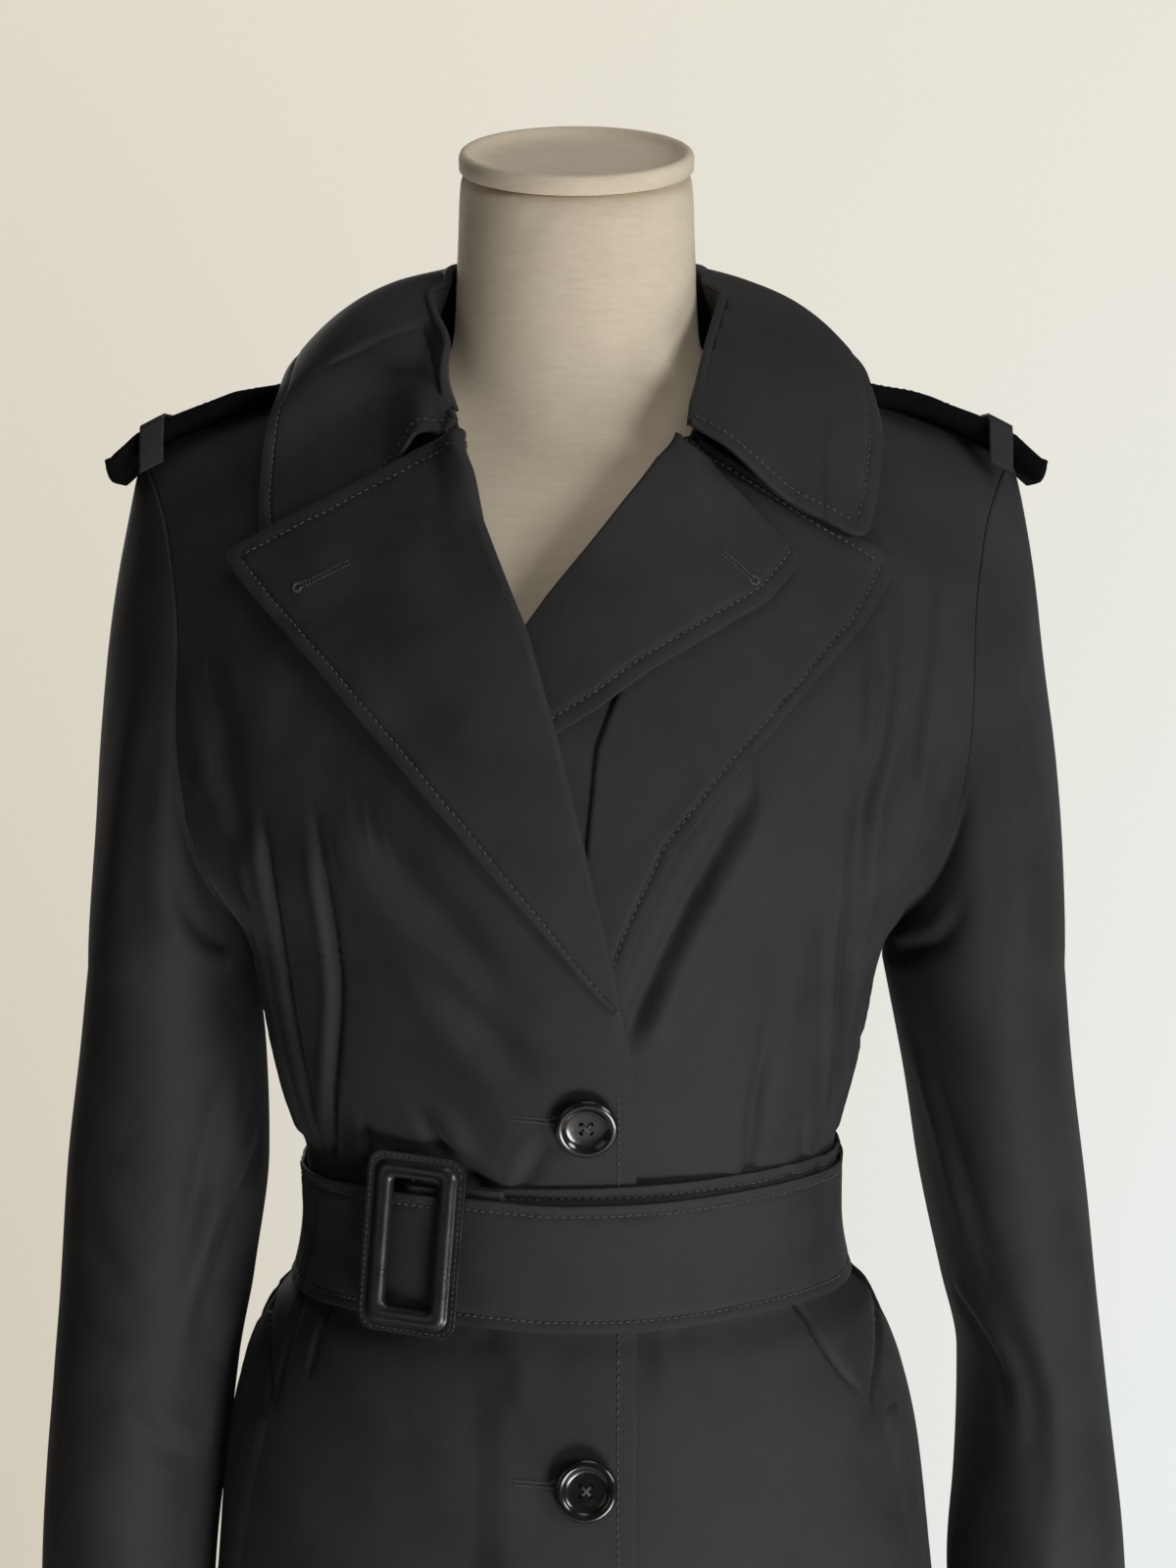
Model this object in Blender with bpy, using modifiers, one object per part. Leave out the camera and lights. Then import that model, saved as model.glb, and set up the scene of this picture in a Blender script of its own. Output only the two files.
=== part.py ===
"""Trench coat worn by a limbless dress form on a round-based stand.

Metres, +Z up. The origin is the centre of the stand's underside, the coat faces -Y and
the wearer's left side is at +X. Every piece of cloth is a sheet of points worked out
from the section tables below, given its thickness by a Solidify modifier.
"""
import math
from collections import namedtuple

import bmesh
import bpy
from mathutils import Matrix, Vector

# ---------------------------------------------------------------- driving sizes
CLOTH = 0.0014            # wall of one layer of coat cloth
DOUBLE_CLOTH = 0.0018     # wall of turned and stitched pieces
BELT_CLOTH = 0.0015       # wall of the belt strip
SEAM_GAP = 0.0010         # between the middles of two walls that meet at a seam
ARMPIT = 1.172            # height where the side seams end and the armholes start
SQUARENESS = 2.3          # exponent of the torso's rounded sections
HEM = 0.450

BUTTON_ACROSS = 0.0045
BUTTON_HEIGHTS = (1.103, 0.939, 0.775, 0.611)
BUTTON_RADIUS = 0.0140
BUTTON_HOLE_RADIUS = 0.0011
BUTTON_HOLE_OFFSET = 0.0021
BUTTON_LIFT = 0.0036      # from the middle of the front's wall to the button's back

BELT_WIDTH = 0.057
BAR_ACROSS = -0.069       # where the buckle's bar crosses the belt
BUCKLE_HEIGHT = 1.0445
BUCKLE_SIZE = (0.046, 0.081)
BUCKLE_WINDOW = (0.0210, 0.0575)
BUCKLE_CORNERS = (0.0075, 0.0022)
BUCKLE_LIFT = 0.0134
BUCKLE_TILT = math.radians(-4)
BUCKLE_PITCH = math.radians(-2.5)
BUCKLE_FACING = 0.64      # 1 faces straight off the waist, 0 faces the front
BAR_RADIUS = 0.0010
BAR_LIFT = 0.0052
BAR_ENDS = (-0.0372, 0.0294)
BAR_STEPS = 6
BAR_CLEARANCE = 0.0011    # between the middle of the wire's end and the ring's back

EPAULETTE_INNER = 0.116
EPAULETTE_OUTER = 0.2185
EPAULETTE_HALF_WIDTH = 0.023
EPAULETTE_MIDDLE = 0.005  # how far behind x-z plane the strap's middle runs
EPAULETTE_DROOP = 0.0050  # how much lower its sides lie than its middle
LOOP_ACROSS = 0.1985
LOOP_HALF_WIDTH = 0.0055
LOOP_CLOTH = 0.0012

BASE_RADIUS = 0.170
BASE_THICKNESS = 0.020
POLE_RADIUS = 0.016
CLEARANCE = 0.0003        # between hard pieces that touch

# ---------------------------------------------------------------- section tables
# The torso below the armpits, one row a horizontal section.
Section = namedtuple("Section", "height centre half_width front back")
BODY = (
    Section(0.450, 0.0000, 0.2130, 0.150, 0.160),
    Section(0.600, 0.0000, 0.1990, 0.141, 0.147),
    Section(0.750, 0.0000, 0.1840, 0.131, 0.133),
    Section(0.850, -0.0010, 0.1750, 0.125, 0.122),
    Section(0.920, -0.0020, 0.1680, 0.121, 0.112),
    Section(0.960, -0.0020, 0.1590, 0.117, 0.104),
    Section(0.990, -0.0020, 0.1450, 0.112, 0.094),
    Section(1.006, -0.0030, 0.1310, 0.107, 0.084),
    Section(1.037, -0.0030, 0.1260, 0.105, 0.079),
    Section(1.068, -0.0030, 0.1270, 0.106, 0.080),
    Section(1.082, -0.0045, 0.1305, 0.109, 0.082),
    Section(1.096, -0.0050, 0.1345, 0.114, 0.086),
    Section(1.115, -0.0050, 0.1390, 0.119, 0.090),
    Section(1.140, -0.0050, 0.1440, 0.122, 0.094),
    Section(1.172, -0.0045, 0.1525, 0.126, 0.099),
)

# The torso above the armpits, from level 0 at the armpits to level 1 at the top seams.
Yoke = namedtuple("Yoke", "level centre half_width front back armhole_front armhole_back")
YOKE = (
    Yoke(0.00, -0.0045, 0.1525, 0.126, 0.099, 0.1525, 0.1525),
    Yoke(0.05, -0.0040, 0.1620, 0.127, 0.100, 0.1580, 0.1590),
    Yoke(0.12, -0.0030, 0.1760, 0.128, 0.102, 0.1665, 0.1690),
    Yoke(0.25, -0.0020, 0.1920, 0.130, 0.104, 0.1760, 0.1800),
    Yoke(0.40, -0.0010, 0.2020, 0.130, 0.104, 0.1805, 0.1860),
    Yoke(0.60, 0.0000, 0.2070, 0.128, 0.102, 0.1820, 0.1900),
    Yoke(0.80, 0.0000, 0.2140, 0.124, 0.100, 0.1890, 0.1950),
    Yoke(0.92, 0.0000, 0.2220, 0.120, 0.098, 0.1980, 0.2010),
    Yoke(1.00, 0.0000, 0.2300, 0.118, 0.096, 0.2060, 0.2060),
)

# The top edge of the panels: neckline, then shoulder seam, by distance from the middle.
Top = namedtuple("Top", "across height depth")
SHOULDER = (
    Top(0.072, 1.4520, 0.006),
    Top(0.105, 1.4390, 0.006),
    Top(0.139, 1.4245, 0.006),
    Top(0.168, 1.4135, 0.006),
    Top(0.192, 1.4040, 0.006),
    Top(0.206, 1.3970, 0.006),
)
FRONT_TOP = (
    Top(0.000, 1.3920, -0.080),
    Top(0.048, 1.3970, -0.074),
    Top(0.058, 1.4180, -0.045),
    Top(0.066, 1.4380, -0.018),
) + SHOULDER
BACK_TOP = (
    Top(0.000, 1.4320, 0.062),
    Top(0.030, 1.4360, 0.058),
    Top(0.055, 1.4440, 0.038),
    Top(0.066, 1.4490, 0.020),
) + SHOULDER

NECK_SPREAD = 0.115       # how far from the middle the neckline's dip is spread below it
NECK_NEARNESS = 6         # how quickly that spread gives way to the top edge's own depth
NECK_TOP = 1.405          # the height that the spread neckline has at the middle

# The front edge below the break and the roll line above it, for each front.
Edge = namedtuple("Edge", "height across")
RIGHT_EDGE = (
    Edge(0.450, 0.0265),
    Edge(1.100, 0.0265),
    Edge(1.130, 0.0245),
    Edge(1.150, 0.0205),
    Edge(1.170, 0.0168),
    Edge(1.217, 0.0043),
    Edge(1.270, -0.0090),
    Edge(1.314, -0.0213),
    Edge(1.368, -0.0420),
    Edge(1.397, -0.0490),
)
LEFT_EDGE = (
    Edge(0.450, -0.0175),
    Edge(1.100, -0.0175),
    Edge(1.150, -0.0120),
    Edge(1.180, -0.0090),
    Edge(1.222, -0.0090),
    Edge(1.265, -0.0130),
    Edge(1.292, -0.0090),
    Edge(1.320, 0.0010),
    Edge(1.352, 0.0170),
    Edge(1.397, 0.0470),
)

# How far the right front stands out along its own edge to clear what lies under it.
Overlap = namedtuple("Overlap", "height lift")
OVERLAP = (
    Overlap(0.450, 0.0027),
    Overlap(1.090, 0.0027),
    Overlap(1.150, 0.0062),
    Overlap(1.210, 0.0064),
    Overlap(1.270, 0.0060),
    Overlap(1.320, 0.0054),
    Overlap(1.360, 0.0020),
    Overlap(1.400, 0.0004),
)
OVERLAP_RAMP = 0.016      # how far in from the edge the right front starts to rise
OVERLAP_FLAT = 0.056      # how far in from the edge it stays at its full lift

# Turned pieces that lie on the fronts: the fold line and the free edge, row by row.
Turned = namedtuple("Turned", "fold_across fold_height edge_across edge_height fold_lift edge_lift")
LAPEL_RIGHT = (
    Turned(0.0180, 1.1530, 0.0130, 1.1560, 0.0024, 0.0024),
    Turned(0.0150, 1.1700, -0.0110, 1.1850, 0.0024, 0.0034),
    Turned(0.0035, 1.2170, -0.0440, 1.2230, 0.0026, 0.0050),
    Turned(-0.0098, 1.2700, -0.0780, 1.2610, 0.0030, 0.0060),
    Turned(-0.0222, 1.3140, -0.1140, 1.3000, 0.0040, 0.0072),
    Turned(-0.0420, 1.3610, -0.1420, 1.3290, 0.0050, 0.0080),
    Turned(-0.0510, 1.3980, -0.1570, 1.3460, 0.0084, 0.0088),
)
LAPEL_LEFT = (
    Turned(-0.0050, 1.1580, 0.0180, 1.1600, 0.0024, 0.0024),
    Turned(0.0005, 1.1800, 0.0265, 1.1860, 0.0024, 0.0034),
    Turned(0.0066, 1.2220, 0.0440, 1.2240, 0.0026, 0.0050),
    Turned(0.0110, 1.2650, 0.0725, 1.2590, 0.0030, 0.0058),
    Turned(0.0210, 1.2915, 0.1020, 1.2915, 0.0034, 0.0060),
    Turned(0.0320, 1.3400, 0.1260, 1.3165, 0.0044, 0.0060),
    Turned(0.0490, 1.4010, 0.1435, 1.3440, 0.0042, 0.0056),
)
THROAT_FLAP = (
    Turned(-0.0300, 1.3040, -0.0200, 1.2620, 0.0020, 0.0020),
    Turned(-0.0215, 1.3165, -0.0090, 1.2710, 0.0022, 0.0034),
    Turned(-0.0113, 1.3300, 0.0090, 1.2815, 0.0040, 0.0060),
    Turned(0.0070, 1.3525, 0.0300, 1.2970, 0.0062, 0.0074),
    Turned(0.0205, 1.3700, 0.0560, 1.3140, 0.0070, 0.0092),
    Turned(0.0342, 1.3870, 0.0790, 1.3280, 0.0080, 0.0098),
    Turned(0.0450, 1.3960, 0.0975, 1.3425, 0.0084, 0.0100),
)
POCKET_WELT = (
    Turned(0.1370, 0.9560, 0.1490, 0.9550, 0.0028, 0.0028),
    Turned(0.1440, 0.9250, 0.1565, 0.9245, 0.0028, 0.0028),
    Turned(0.1505, 0.8920, 0.1625, 0.8925, 0.0028, 0.0028),
    Turned(0.1560, 0.8450, 0.1670, 0.8470, 0.0028, 0.0028),
)

# Half of the neck, from the centre back (0) to a front end (1).
Neck = namedtuple("Neck", "around neck_x neck_y neck_z fold_x fold_y fold_z edge_x edge_y edge_z")
NECK_LEFT = (
    Neck(0.00, 0.0000, 0.0620, 1.4335, 0.0000, 0.0710, 1.4940, 0.0000, 0.0940, 1.4060),
    Neck(0.25, 0.0340, 0.0560, 1.4385, 0.0370, 0.0580, 1.4930, 0.0720, 0.0840, 1.4100),
    Neck(0.50, 0.0605, 0.0300, 1.4490, 0.0575, 0.0300, 1.4890, 0.1200, 0.0450, 1.4300),
    Neck(0.65, 0.0700, 0.0040, 1.4535, 0.0625, 0.0060, 1.4830, 0.1350, 0.0080, 1.4400),
    Neck(0.80, 0.0645, -0.0200, 1.4395, 0.0600, -0.0280, 1.4570, 0.1390, -0.0330, 1.4170),
    Neck(0.92, 0.0565, -0.0470, 1.4195, 0.0550, -0.0590, 1.4290, 0.1400, -0.0720, 1.3860),
    Neck(1.00, 0.0490, -0.0720, 1.4010, 0.0510, -0.0870, 1.4050, 0.1345, -0.0880, 1.3606),
)
NECK_RIGHT = NECK_LEFT[:5] + (
    Neck(0.92, 0.0565, -0.0470, 1.4195, 0.0560, -0.0590, 1.4270, 0.1430, -0.0600, 1.3720),
    Neck(1.00, 0.0490, -0.0720, 1.4010, 0.0540, -0.0720, 1.4010, 0.1390, -0.0560, 1.3380),
)
COLLAR_BULGE = 0.010      # how far the fall arches off the straight line to its edge

# Sleeves below the armpit, one row a horizontal ring; sizes are distances from x = 0.
Ring = namedtuple("Ring", "height outer inner front back")
SLEEVE_LEFT = (
    Ring(1.154, 0.2345, 0.1500, 0.066, 0.072),
    Ring(1.110, 0.2390, 0.1590, 0.066, 0.070),
    Ring(1.057, 0.2450, 0.1675, 0.064, 0.066),
    Ring(0.998, 0.2520, 0.1810, 0.064, 0.060),
    Ring(0.958, 0.2560, 0.1890, 0.066, 0.055),
    Ring(0.898, 0.2625, 0.1870, 0.070, 0.048),
    Ring(0.849, 0.2675, 0.1840, 0.072, 0.044),
    Ring(0.795, 0.2710, 0.1860, 0.074, 0.040),
)
SLEEVE_RIGHT = (
    Ring(1.154, 0.2345, 0.1580, 0.066, 0.072),
    Ring(1.110, 0.2395, 0.1535, 0.066, 0.070),
    Ring(1.057, 0.2450, 0.1515, 0.066, 0.066),
    Ring(0.998, 0.2500, 0.1590, 0.070, 0.058),
    Ring(0.958, 0.2530, 0.1670, 0.074, 0.050),
    Ring(0.898, 0.2565, 0.1740, 0.078, 0.044),
    Ring(0.849, 0.2575, 0.1785, 0.080, 0.042),
    Ring(0.795, 0.2590, 0.1840, 0.080, 0.040),
)
SLEEVE_LEAD = 0.0012      # between the armhole edge and the sleeve's own edge
SLEEVE_LEAD_UNDERARM = 0.0012

# The belt strip, from the end sewn round the bar to the tip: degrees from the centre
# front round by the wearer's left, lift off the coat and height of the strip's middle.
Wrap = namedtuple("Wrap", "turn lift height")
BELT_START = (
    Wrap(-10.0, 0.0046, 1.0410),
    Wrap(-16.0, 0.0047, 1.0410),
    Wrap(-22.0, 0.0070, 1.0410),
    Wrap(-28.4, 0.0082, 1.0410),
)
BELT_WRAP = (
    Wrap(-28.4, 0.0021, 1.0410),
    Wrap(-10.0, 0.0024, 1.0415),
    Wrap(0.0, 0.0026, 1.0420),
    Wrap(45.0, 0.0026, 1.0440),
    Wrap(90.0, 0.0026, 1.0400),
    Wrap(180.0, 0.0026, 1.0360),
    Wrap(230.0, 0.0030, 1.0330),
    Wrap(270.0, 0.0032, 1.0318),
    Wrap(300.0, 0.0044, 1.0340),
    Wrap(320.0, 0.0092, 1.0375),
    Wrap(331.0, 0.0102, 1.0375),
    Wrap(346.0, 0.0070, 1.0370),
    Wrap(360.0, 0.0066, 1.0350),
    Wrap(405.0, 0.0050, 1.0370),
    Wrap(450.0, 0.0050, 1.0340),
    Wrap(468.0, 0.0050, 1.0350),
)
BELT_STEPS = 82
BAR_TURN = 1.6            # degrees that the strip reaches past the bar

# The dress form, one row a section; slope tips a ring back as it nears the neck's top.
FormRing = namedtuple("FormRing", "height half_width front back squareness slope")
FORM = (
    FormRing(0.8000, 0.1400, 0.092, 0.092, 2.2, 0.0),
    FormRing(0.8060, 0.1560, 0.105, 0.105, 2.2, 0.0),
    FormRing(0.8600, 0.1630, 0.113, 0.110, 2.2, 0.0),
    FormRing(0.9200, 0.1580, 0.112, 0.103, 2.2, 0.0),
    FormRing(0.9700, 0.1430, 0.106, 0.092, 2.2, 0.0),
    FormRing(1.0060, 0.1230, 0.101, 0.078, 2.2, 0.0),
    FormRing(1.0370, 0.1180, 0.099, 0.073, 2.2, 0.0),
    FormRing(1.0680, 0.1190, 0.100, 0.074, 2.2, 0.0),
    FormRing(1.1150, 0.1300, 0.112, 0.083, 2.2, 0.0),
    FormRing(1.1720, 0.1420, 0.119, 0.092, 2.2, 0.0),
    FormRing(1.2500, 0.1540, 0.119, 0.095, 2.2, 0.0),
    FormRing(1.3000, 0.1600, 0.109, 0.091, 2.2, 0.0),
    FormRing(1.3400, 0.1650, 0.093, 0.079, 2.0, 0.0),
    FormRing(1.3700, 0.1720, 0.079, 0.070, 1.7, 0.0),
    FormRing(1.3930, 0.1700, 0.064, 0.060, 1.3, 0.0),
    FormRing(1.4120, 0.1430, 0.056, 0.056, 1.15, 0.0),
    FormRing(1.4280, 0.1130, 0.048, 0.050, 1.05, 0.0),
    FormRing(1.4370, 0.0930, 0.042, 0.044, 1.0, 0.0),
)
FORM_NECK = (
    FormRing(1.3700, 0.0600, 0.072, 0.060, 2.0, 0.01),
    FormRing(1.4000, 0.0610, 0.064, 0.060, 2.0, 0.01),
    FormRing(1.4250, 0.0600, 0.055, 0.057, 2.0, 0.02),
    FormRing(1.4450, 0.0590, 0.051, 0.056, 2.0, 0.03),
    FormRing(1.4640, 0.0580, 0.049, 0.057, 2.0, 0.06),
    FormRing(1.4900, 0.0570, 0.047, 0.060, 2.0, 0.16),
    FormRing(1.5140, 0.0562, 0.045, 0.065, 2.0, 0.30),
    FormRing(1.5330, 0.0560, 0.043, 0.068, 2.0, 0.42),
)
FORM_POINTS = 32

# Rows and columns of the sheets.
PANEL_HEIGHTS = (
    HEM, 0.560, 0.670, 0.770, 0.850, 0.905, 0.945, 0.972, 0.990, 1.006, 1.037, 1.068,
    1.082, 1.105, 1.135, 1.155,
)
PANEL_LEVELS = (0.0, 0.05, 0.12, 0.22, 0.34, 0.48, 0.62, 0.75, 0.86, 0.94, 0.98, 1.0)
PANEL_COLUMNS = 10

COLLECTION = bpy.data.collections.new("trench_coat_on_dress_form")
CUTTERS = bpy.data.collections.new("cutters")


# ---------------------------------------------------------------- small helpers
def clear_scene():
    for thing in list(bpy.data.objects):
        bpy.data.objects.remove(thing, do_unlink=True)
    bpy.context.scene.collection.children.link(COLLECTION)
    bpy.context.scene.collection.children.link(CUTTERS)


def material(name, colour, roughness, metallic=0.0):
    made = bpy.data.materials.get(name)
    if made is None:
        made = bpy.data.materials.new(name)
        made.use_nodes = True
        shader = made.node_tree.nodes["Principled BSDF"]
        shader.inputs["Base Color"].default_value = (*colour, 1.0)
        shader.inputs["Roughness"].default_value = roughness
        shader.inputs["Metallic"].default_value = metallic
    return made


def coat_cloth():
    return material("coat_cloth", (0.021, 0.020, 0.021), 0.62)


def buckle_leather():
    return material("buckle_leather", (0.012, 0.012, 0.013), 0.32)


def button_horn():
    return material("button_horn", (0.010, 0.009, 0.009), 0.20)


def form_linen():
    return material("form_linen", (0.56, 0.47, 0.34), 0.85)


def stand_metal():
    return material("stand_metal", (0.03, 0.03, 0.03), 0.45, 0.6)


def smooth_value(rows, key, column):
    """The value of a column at a key, on a smooth curve through the table's rows."""
    keys = [row[0] for row in rows]
    values = [getattr(row, column) for row in rows]
    key = min(max(key, keys[0]), keys[-1])
    last = len(keys) - 1
    i = 0
    while i < last - 1 and key > keys[i + 1]:
        i += 1
    grades = [(values[k + 1] - values[k]) / (keys[k + 1] - keys[k]) for k in range(last)]

    def slope(k):
        if k == 0 or k == last:
            return grades[min(k, last - 1)]
        before, after = grades[k - 1], grades[k]
        if before * after <= 0:
            return 0.0
        return 2 * before * after / (before + after)

    step = keys[i + 1] - keys[i]
    t = (key - keys[i]) / step
    start = (1 + 2 * t) * (1 - t) ** 2 * values[i] + t * (1 - t) ** 2 * step * slope(i)
    end = t * t * (3 - 2 * t) * values[i + 1] - t * t * (1 - t) * step * slope(i + 1)
    return start + end


def smooth_step(low, high, value):
    t = min(max((value - low) / (high - low), 0.0), 1.0)
    return t * t * (3 - 2 * t)


def mixed(low, high, share):
    return low + (high - low) * share


def finish_object(obj, finish):
    obj.data.materials.append(finish)
    COLLECTION.objects.link(obj)
    return obj


def as_cutter(obj):
    """An object that only cuts or joins another, and isn't part of the model."""
    obj.hide_render = True
    obj.display_type = "WIRE"
    CUTTERS.objects.link(obj)
    return obj


def grid_mesh(name, rows, closed=False):
    """A sheet of quads through rows of points; closed joins each row's ends."""
    mesh = bmesh.new()
    made = [[mesh.verts.new(point) for point in row] for row in rows]
    for low, high in zip(made, made[1:]):
        count = len(low)
        for k in range(count if closed else count - 1):
            after = (k + 1) % count
            mesh.faces.new((low[k], low[after], high[after], high[k]))
    data = bpy.data.meshes.new(name)
    mesh.to_mesh(data)
    mesh.free()
    data.shade_smooth()
    return data


def cloth_sheet(name, rows, thickness=CLOTH, finish=None, closed=False):
    obj = bpy.data.objects.new(name, grid_mesh(name, rows, closed))
    shell = obj.modifiers.new("wall", "SOLIDIFY")
    shell.thickness = thickness
    shell.offset = 0.0
    return finish_object(obj, finish or coat_cloth())


# ---------------------------------------------------------------- the torso's surface
def fall(level):
    """How much of its depth a panel keeps as it rises from the armpits to its top."""
    return (1 - min(level, 1.0) ** 1.8) ** 0.6


def bowed(share):
    """The rounded section's depth, as a share of the full depth, at a share of its width."""
    return max(0.0, 1 - abs(share) ** SQUARENESS) ** (1 / SQUARENESS)


def seam_depth(tops, across, level):
    """The depth that a panel runs up to: its top edge's own depth near that edge, and a
    broad curve from the middle to the shoulder lower down."""
    edge = smooth_value(tops, abs(across), "depth")
    broad = mixed(tops[0].depth, SHOULDER[0].depth, smooth_step(0.0, NECK_SPREAD, abs(across)))
    return mixed(broad, edge, level ** NECK_NEARNESS)


def eased_level(tops, across, height, level):
    """The level that a panel's depth follows: its own near its top edge, and lower down
    one that changes evenly across, without the neckline's steps."""
    shoulder = smooth_value(tops, max(abs(across), NECK_SPREAD), "height")
    top = mixed(NECK_TOP, shoulder, smooth_step(0.0, NECK_SPREAD, abs(across)))
    broad = min(1.0, (height - ARMPIT) / (top - ARMPIT))
    return mixed(broad, level, level ** NECK_NEARNESS)


def torso_depth(across, height, back=False):
    """The y of the front or back of the torso at a place seen from the front."""
    face = "back" if back else "front"
    sign = 1 if back else -1
    if height <= ARMPIT:
        centre = smooth_value(BODY, height, "centre")
        width = smooth_value(BODY, height, "half_width")
        return sign * smooth_value(BODY, height, face) * bowed((across - centre) / width)
    tops = BACK_TOP if back else FRONT_TOP
    top = smooth_value(tops, abs(across), "height")
    level = min(1.0, (height - ARMPIT) / (top - ARMPIT))
    depth = seam_depth(tops, across, level)
    centre = smooth_value(YOKE, level, "centre")
    width = smooth_value(YOKE, level, "half_width")
    full = sign * smooth_value(YOKE, level, face) * bowed((across - centre) / width)
    return depth + (full - depth) * fall(eased_level(tops, across, height, level))


def outward(across, height, back=False):
    """The unit normal of the torso's surface, pointing away from the body."""
    step = 0.0015
    side = torso_depth(across + step, height, back) - torso_depth(across - step, height, back)
    rise = torso_depth(across, height + step, back) - torso_depth(across, height - step, back)
    sign = 1 if back else -1
    return Vector((-sign * side / (2 * step), sign, -sign * rise / (2 * step))).normalized()


def on_front(across, height, lift):
    point = Vector((across, torso_depth(across, height), height))
    return point + outward(across, height) * lift


def right_front_lift(across, height):
    """The right front rises towards its edge, over the left front and what is on it."""
    edge = smooth_value(RIGHT_EDGE, height, "across")
    start = edge - OVERLAP_FLAT - OVERLAP_RAMP
    return smooth_value(OVERLAP, height, "lift") * smooth_step(start, edge - OVERLAP_FLAT, across)


# ---------------------------------------------------------------- coat panels
def sweep_angle(share):
    """The parameter of the rounded section at a share of its half width."""
    return math.copysign(math.asin(min(abs(share), 1.0) ** (SQUARENESS / 2)), share)


def panel_row(side, back, height, level, edge_across):
    """One row of a panel from its edge near the middle to its side seam or armhole."""
    face = "back" if back else "front"
    sign = 1 if back else -1
    if level is None:
        centre = smooth_value(BODY, height, "centre")
        width = smooth_value(BODY, height, "half_width")
        depth = smooth_value(BODY, height, face)
    else:
        centre = smooth_value(YOKE, level, "centre")
        width = smooth_value(YOKE, level, "half_width")
        depth = smooth_value(YOKE, level, face)
    start = sweep_angle((edge_across - centre) / width)
    if level:
        armhole = smooth_value(YOKE, level, "armhole_" + face)
        end = side * sweep_angle(armhole / width)
    else:
        end = side * math.acos((SEAM_GAP / 2 / depth) ** (SQUARENESS / 2))
    tops = BACK_TOP if back else FRONT_TOP
    points = []
    for k in range(PANEL_COLUMNS):
        angle = mixed(start, end, k / (PANEL_COLUMNS - 1))
        share = math.copysign(abs(math.sin(angle)) ** (2 / SQUARENESS), angle)
        across = centre + width * share
        full = sign * depth * abs(math.cos(angle)) ** (2 / SQUARENESS)
        if level:
            top = smooth_value(tops, abs(across), "height")
            seam = seam_depth(tops, across, level) + sign * SEAM_GAP / 2
            rise = mixed(ARMPIT, top, level)
            kept = fall(eased_level(tops, across, rise, level))
            point = Vector((across, seam + (full - seam) * kept, rise))
        else:
            point = Vector((across, full, height))
        points.append(point)
    return points


def panel_rows(side, back, edges):
    rows = []
    for height in PANEL_HEIGHTS:
        rows.append(panel_row(side, back, height, None, edges(height)))
    for level in PANEL_LEVELS:
        middle_top = (BACK_TOP if back else FRONT_TOP)[1].height
        height = mixed(ARMPIT, middle_top, level)
        rows.append(panel_row(side, back, height, level, edges(height)))
    return rows


def make_fronts():
    right = panel_rows(-1, False, lambda height: smooth_value(RIGHT_EDGE, height, "across"))
    for row in right:
        for k, point in enumerate(row):
            lift = right_front_lift(point.x, point.z)
            if lift > 0:
                row[k] = point + outward(point.x, point.z) * lift
    cloth_sheet("front_right", right)
    left = panel_rows(1, False, lambda height: smooth_value(LEFT_EDGE, height, "across"))
    cloth_sheet("front_left", left)
    return right, left


def make_backs():
    right = panel_rows(-1, True, lambda height: -SEAM_GAP / 2)
    left = panel_rows(1, True, lambda height: SEAM_GAP / 2)
    cloth_sheet("back_right", right)
    cloth_sheet("back_left", left)
    return right, left


# ---------------------------------------------------------------- sleeves
def armhole_loop(front_rows, back_rows, side):
    """The armhole's points, from the shoulder down the front and up the back, moved
    outward by the seam's lead, each with its share of the way round."""
    count = len(PANEL_LEVELS)
    front = [row[-1].copy() for row in front_rows[-count:]][::-1]
    back = [row[-1].copy() for row in back_rows[-count:]]
    front[0] = (front[0] + back[-1]) / 2
    front[-1] = (front[-1] + back[0]) / 2
    for half, levels in ((front, PANEL_LEVELS[::-1]), (back, PANEL_LEVELS)):
        for point, level in zip(half, levels):
            low = (1 - level) ** 6
            point.x += side * (SLEEVE_LEAD + SLEEVE_LEAD_UNDERARM * low)
            point.z += SLEEVE_LEAD * low
    shares = []
    for half, base in ((front, 0.0), (back, 0.5)):
        lengths = [0.0]
        for before, after in zip(half, half[1:]):
            lengths.append(lengths[-1] + (after - before).length)
        shares.append([base + 0.5 * length / lengths[-1] for length in lengths])
    return front + back[1:-1], shares[0] + shares[1][1:-1]


def sleeve_ring(rows, side, height, shares):
    outer = smooth_value(rows, height, "outer")
    inner = smooth_value(rows, height, "inner")
    front = smooth_value(rows, height, "front")
    back = smooth_value(rows, height, "back")
    points = []
    for share in shares:
        angle = 2 * math.pi * share
        across = (outer + inner) / 2 + (outer - inner) / 2 * math.cos(angle)
        depth = (back - front) / 2 - (back + front) / 2 * math.sin(angle)
        points.append(Vector((side * across, depth, height)))
    return points


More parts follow.
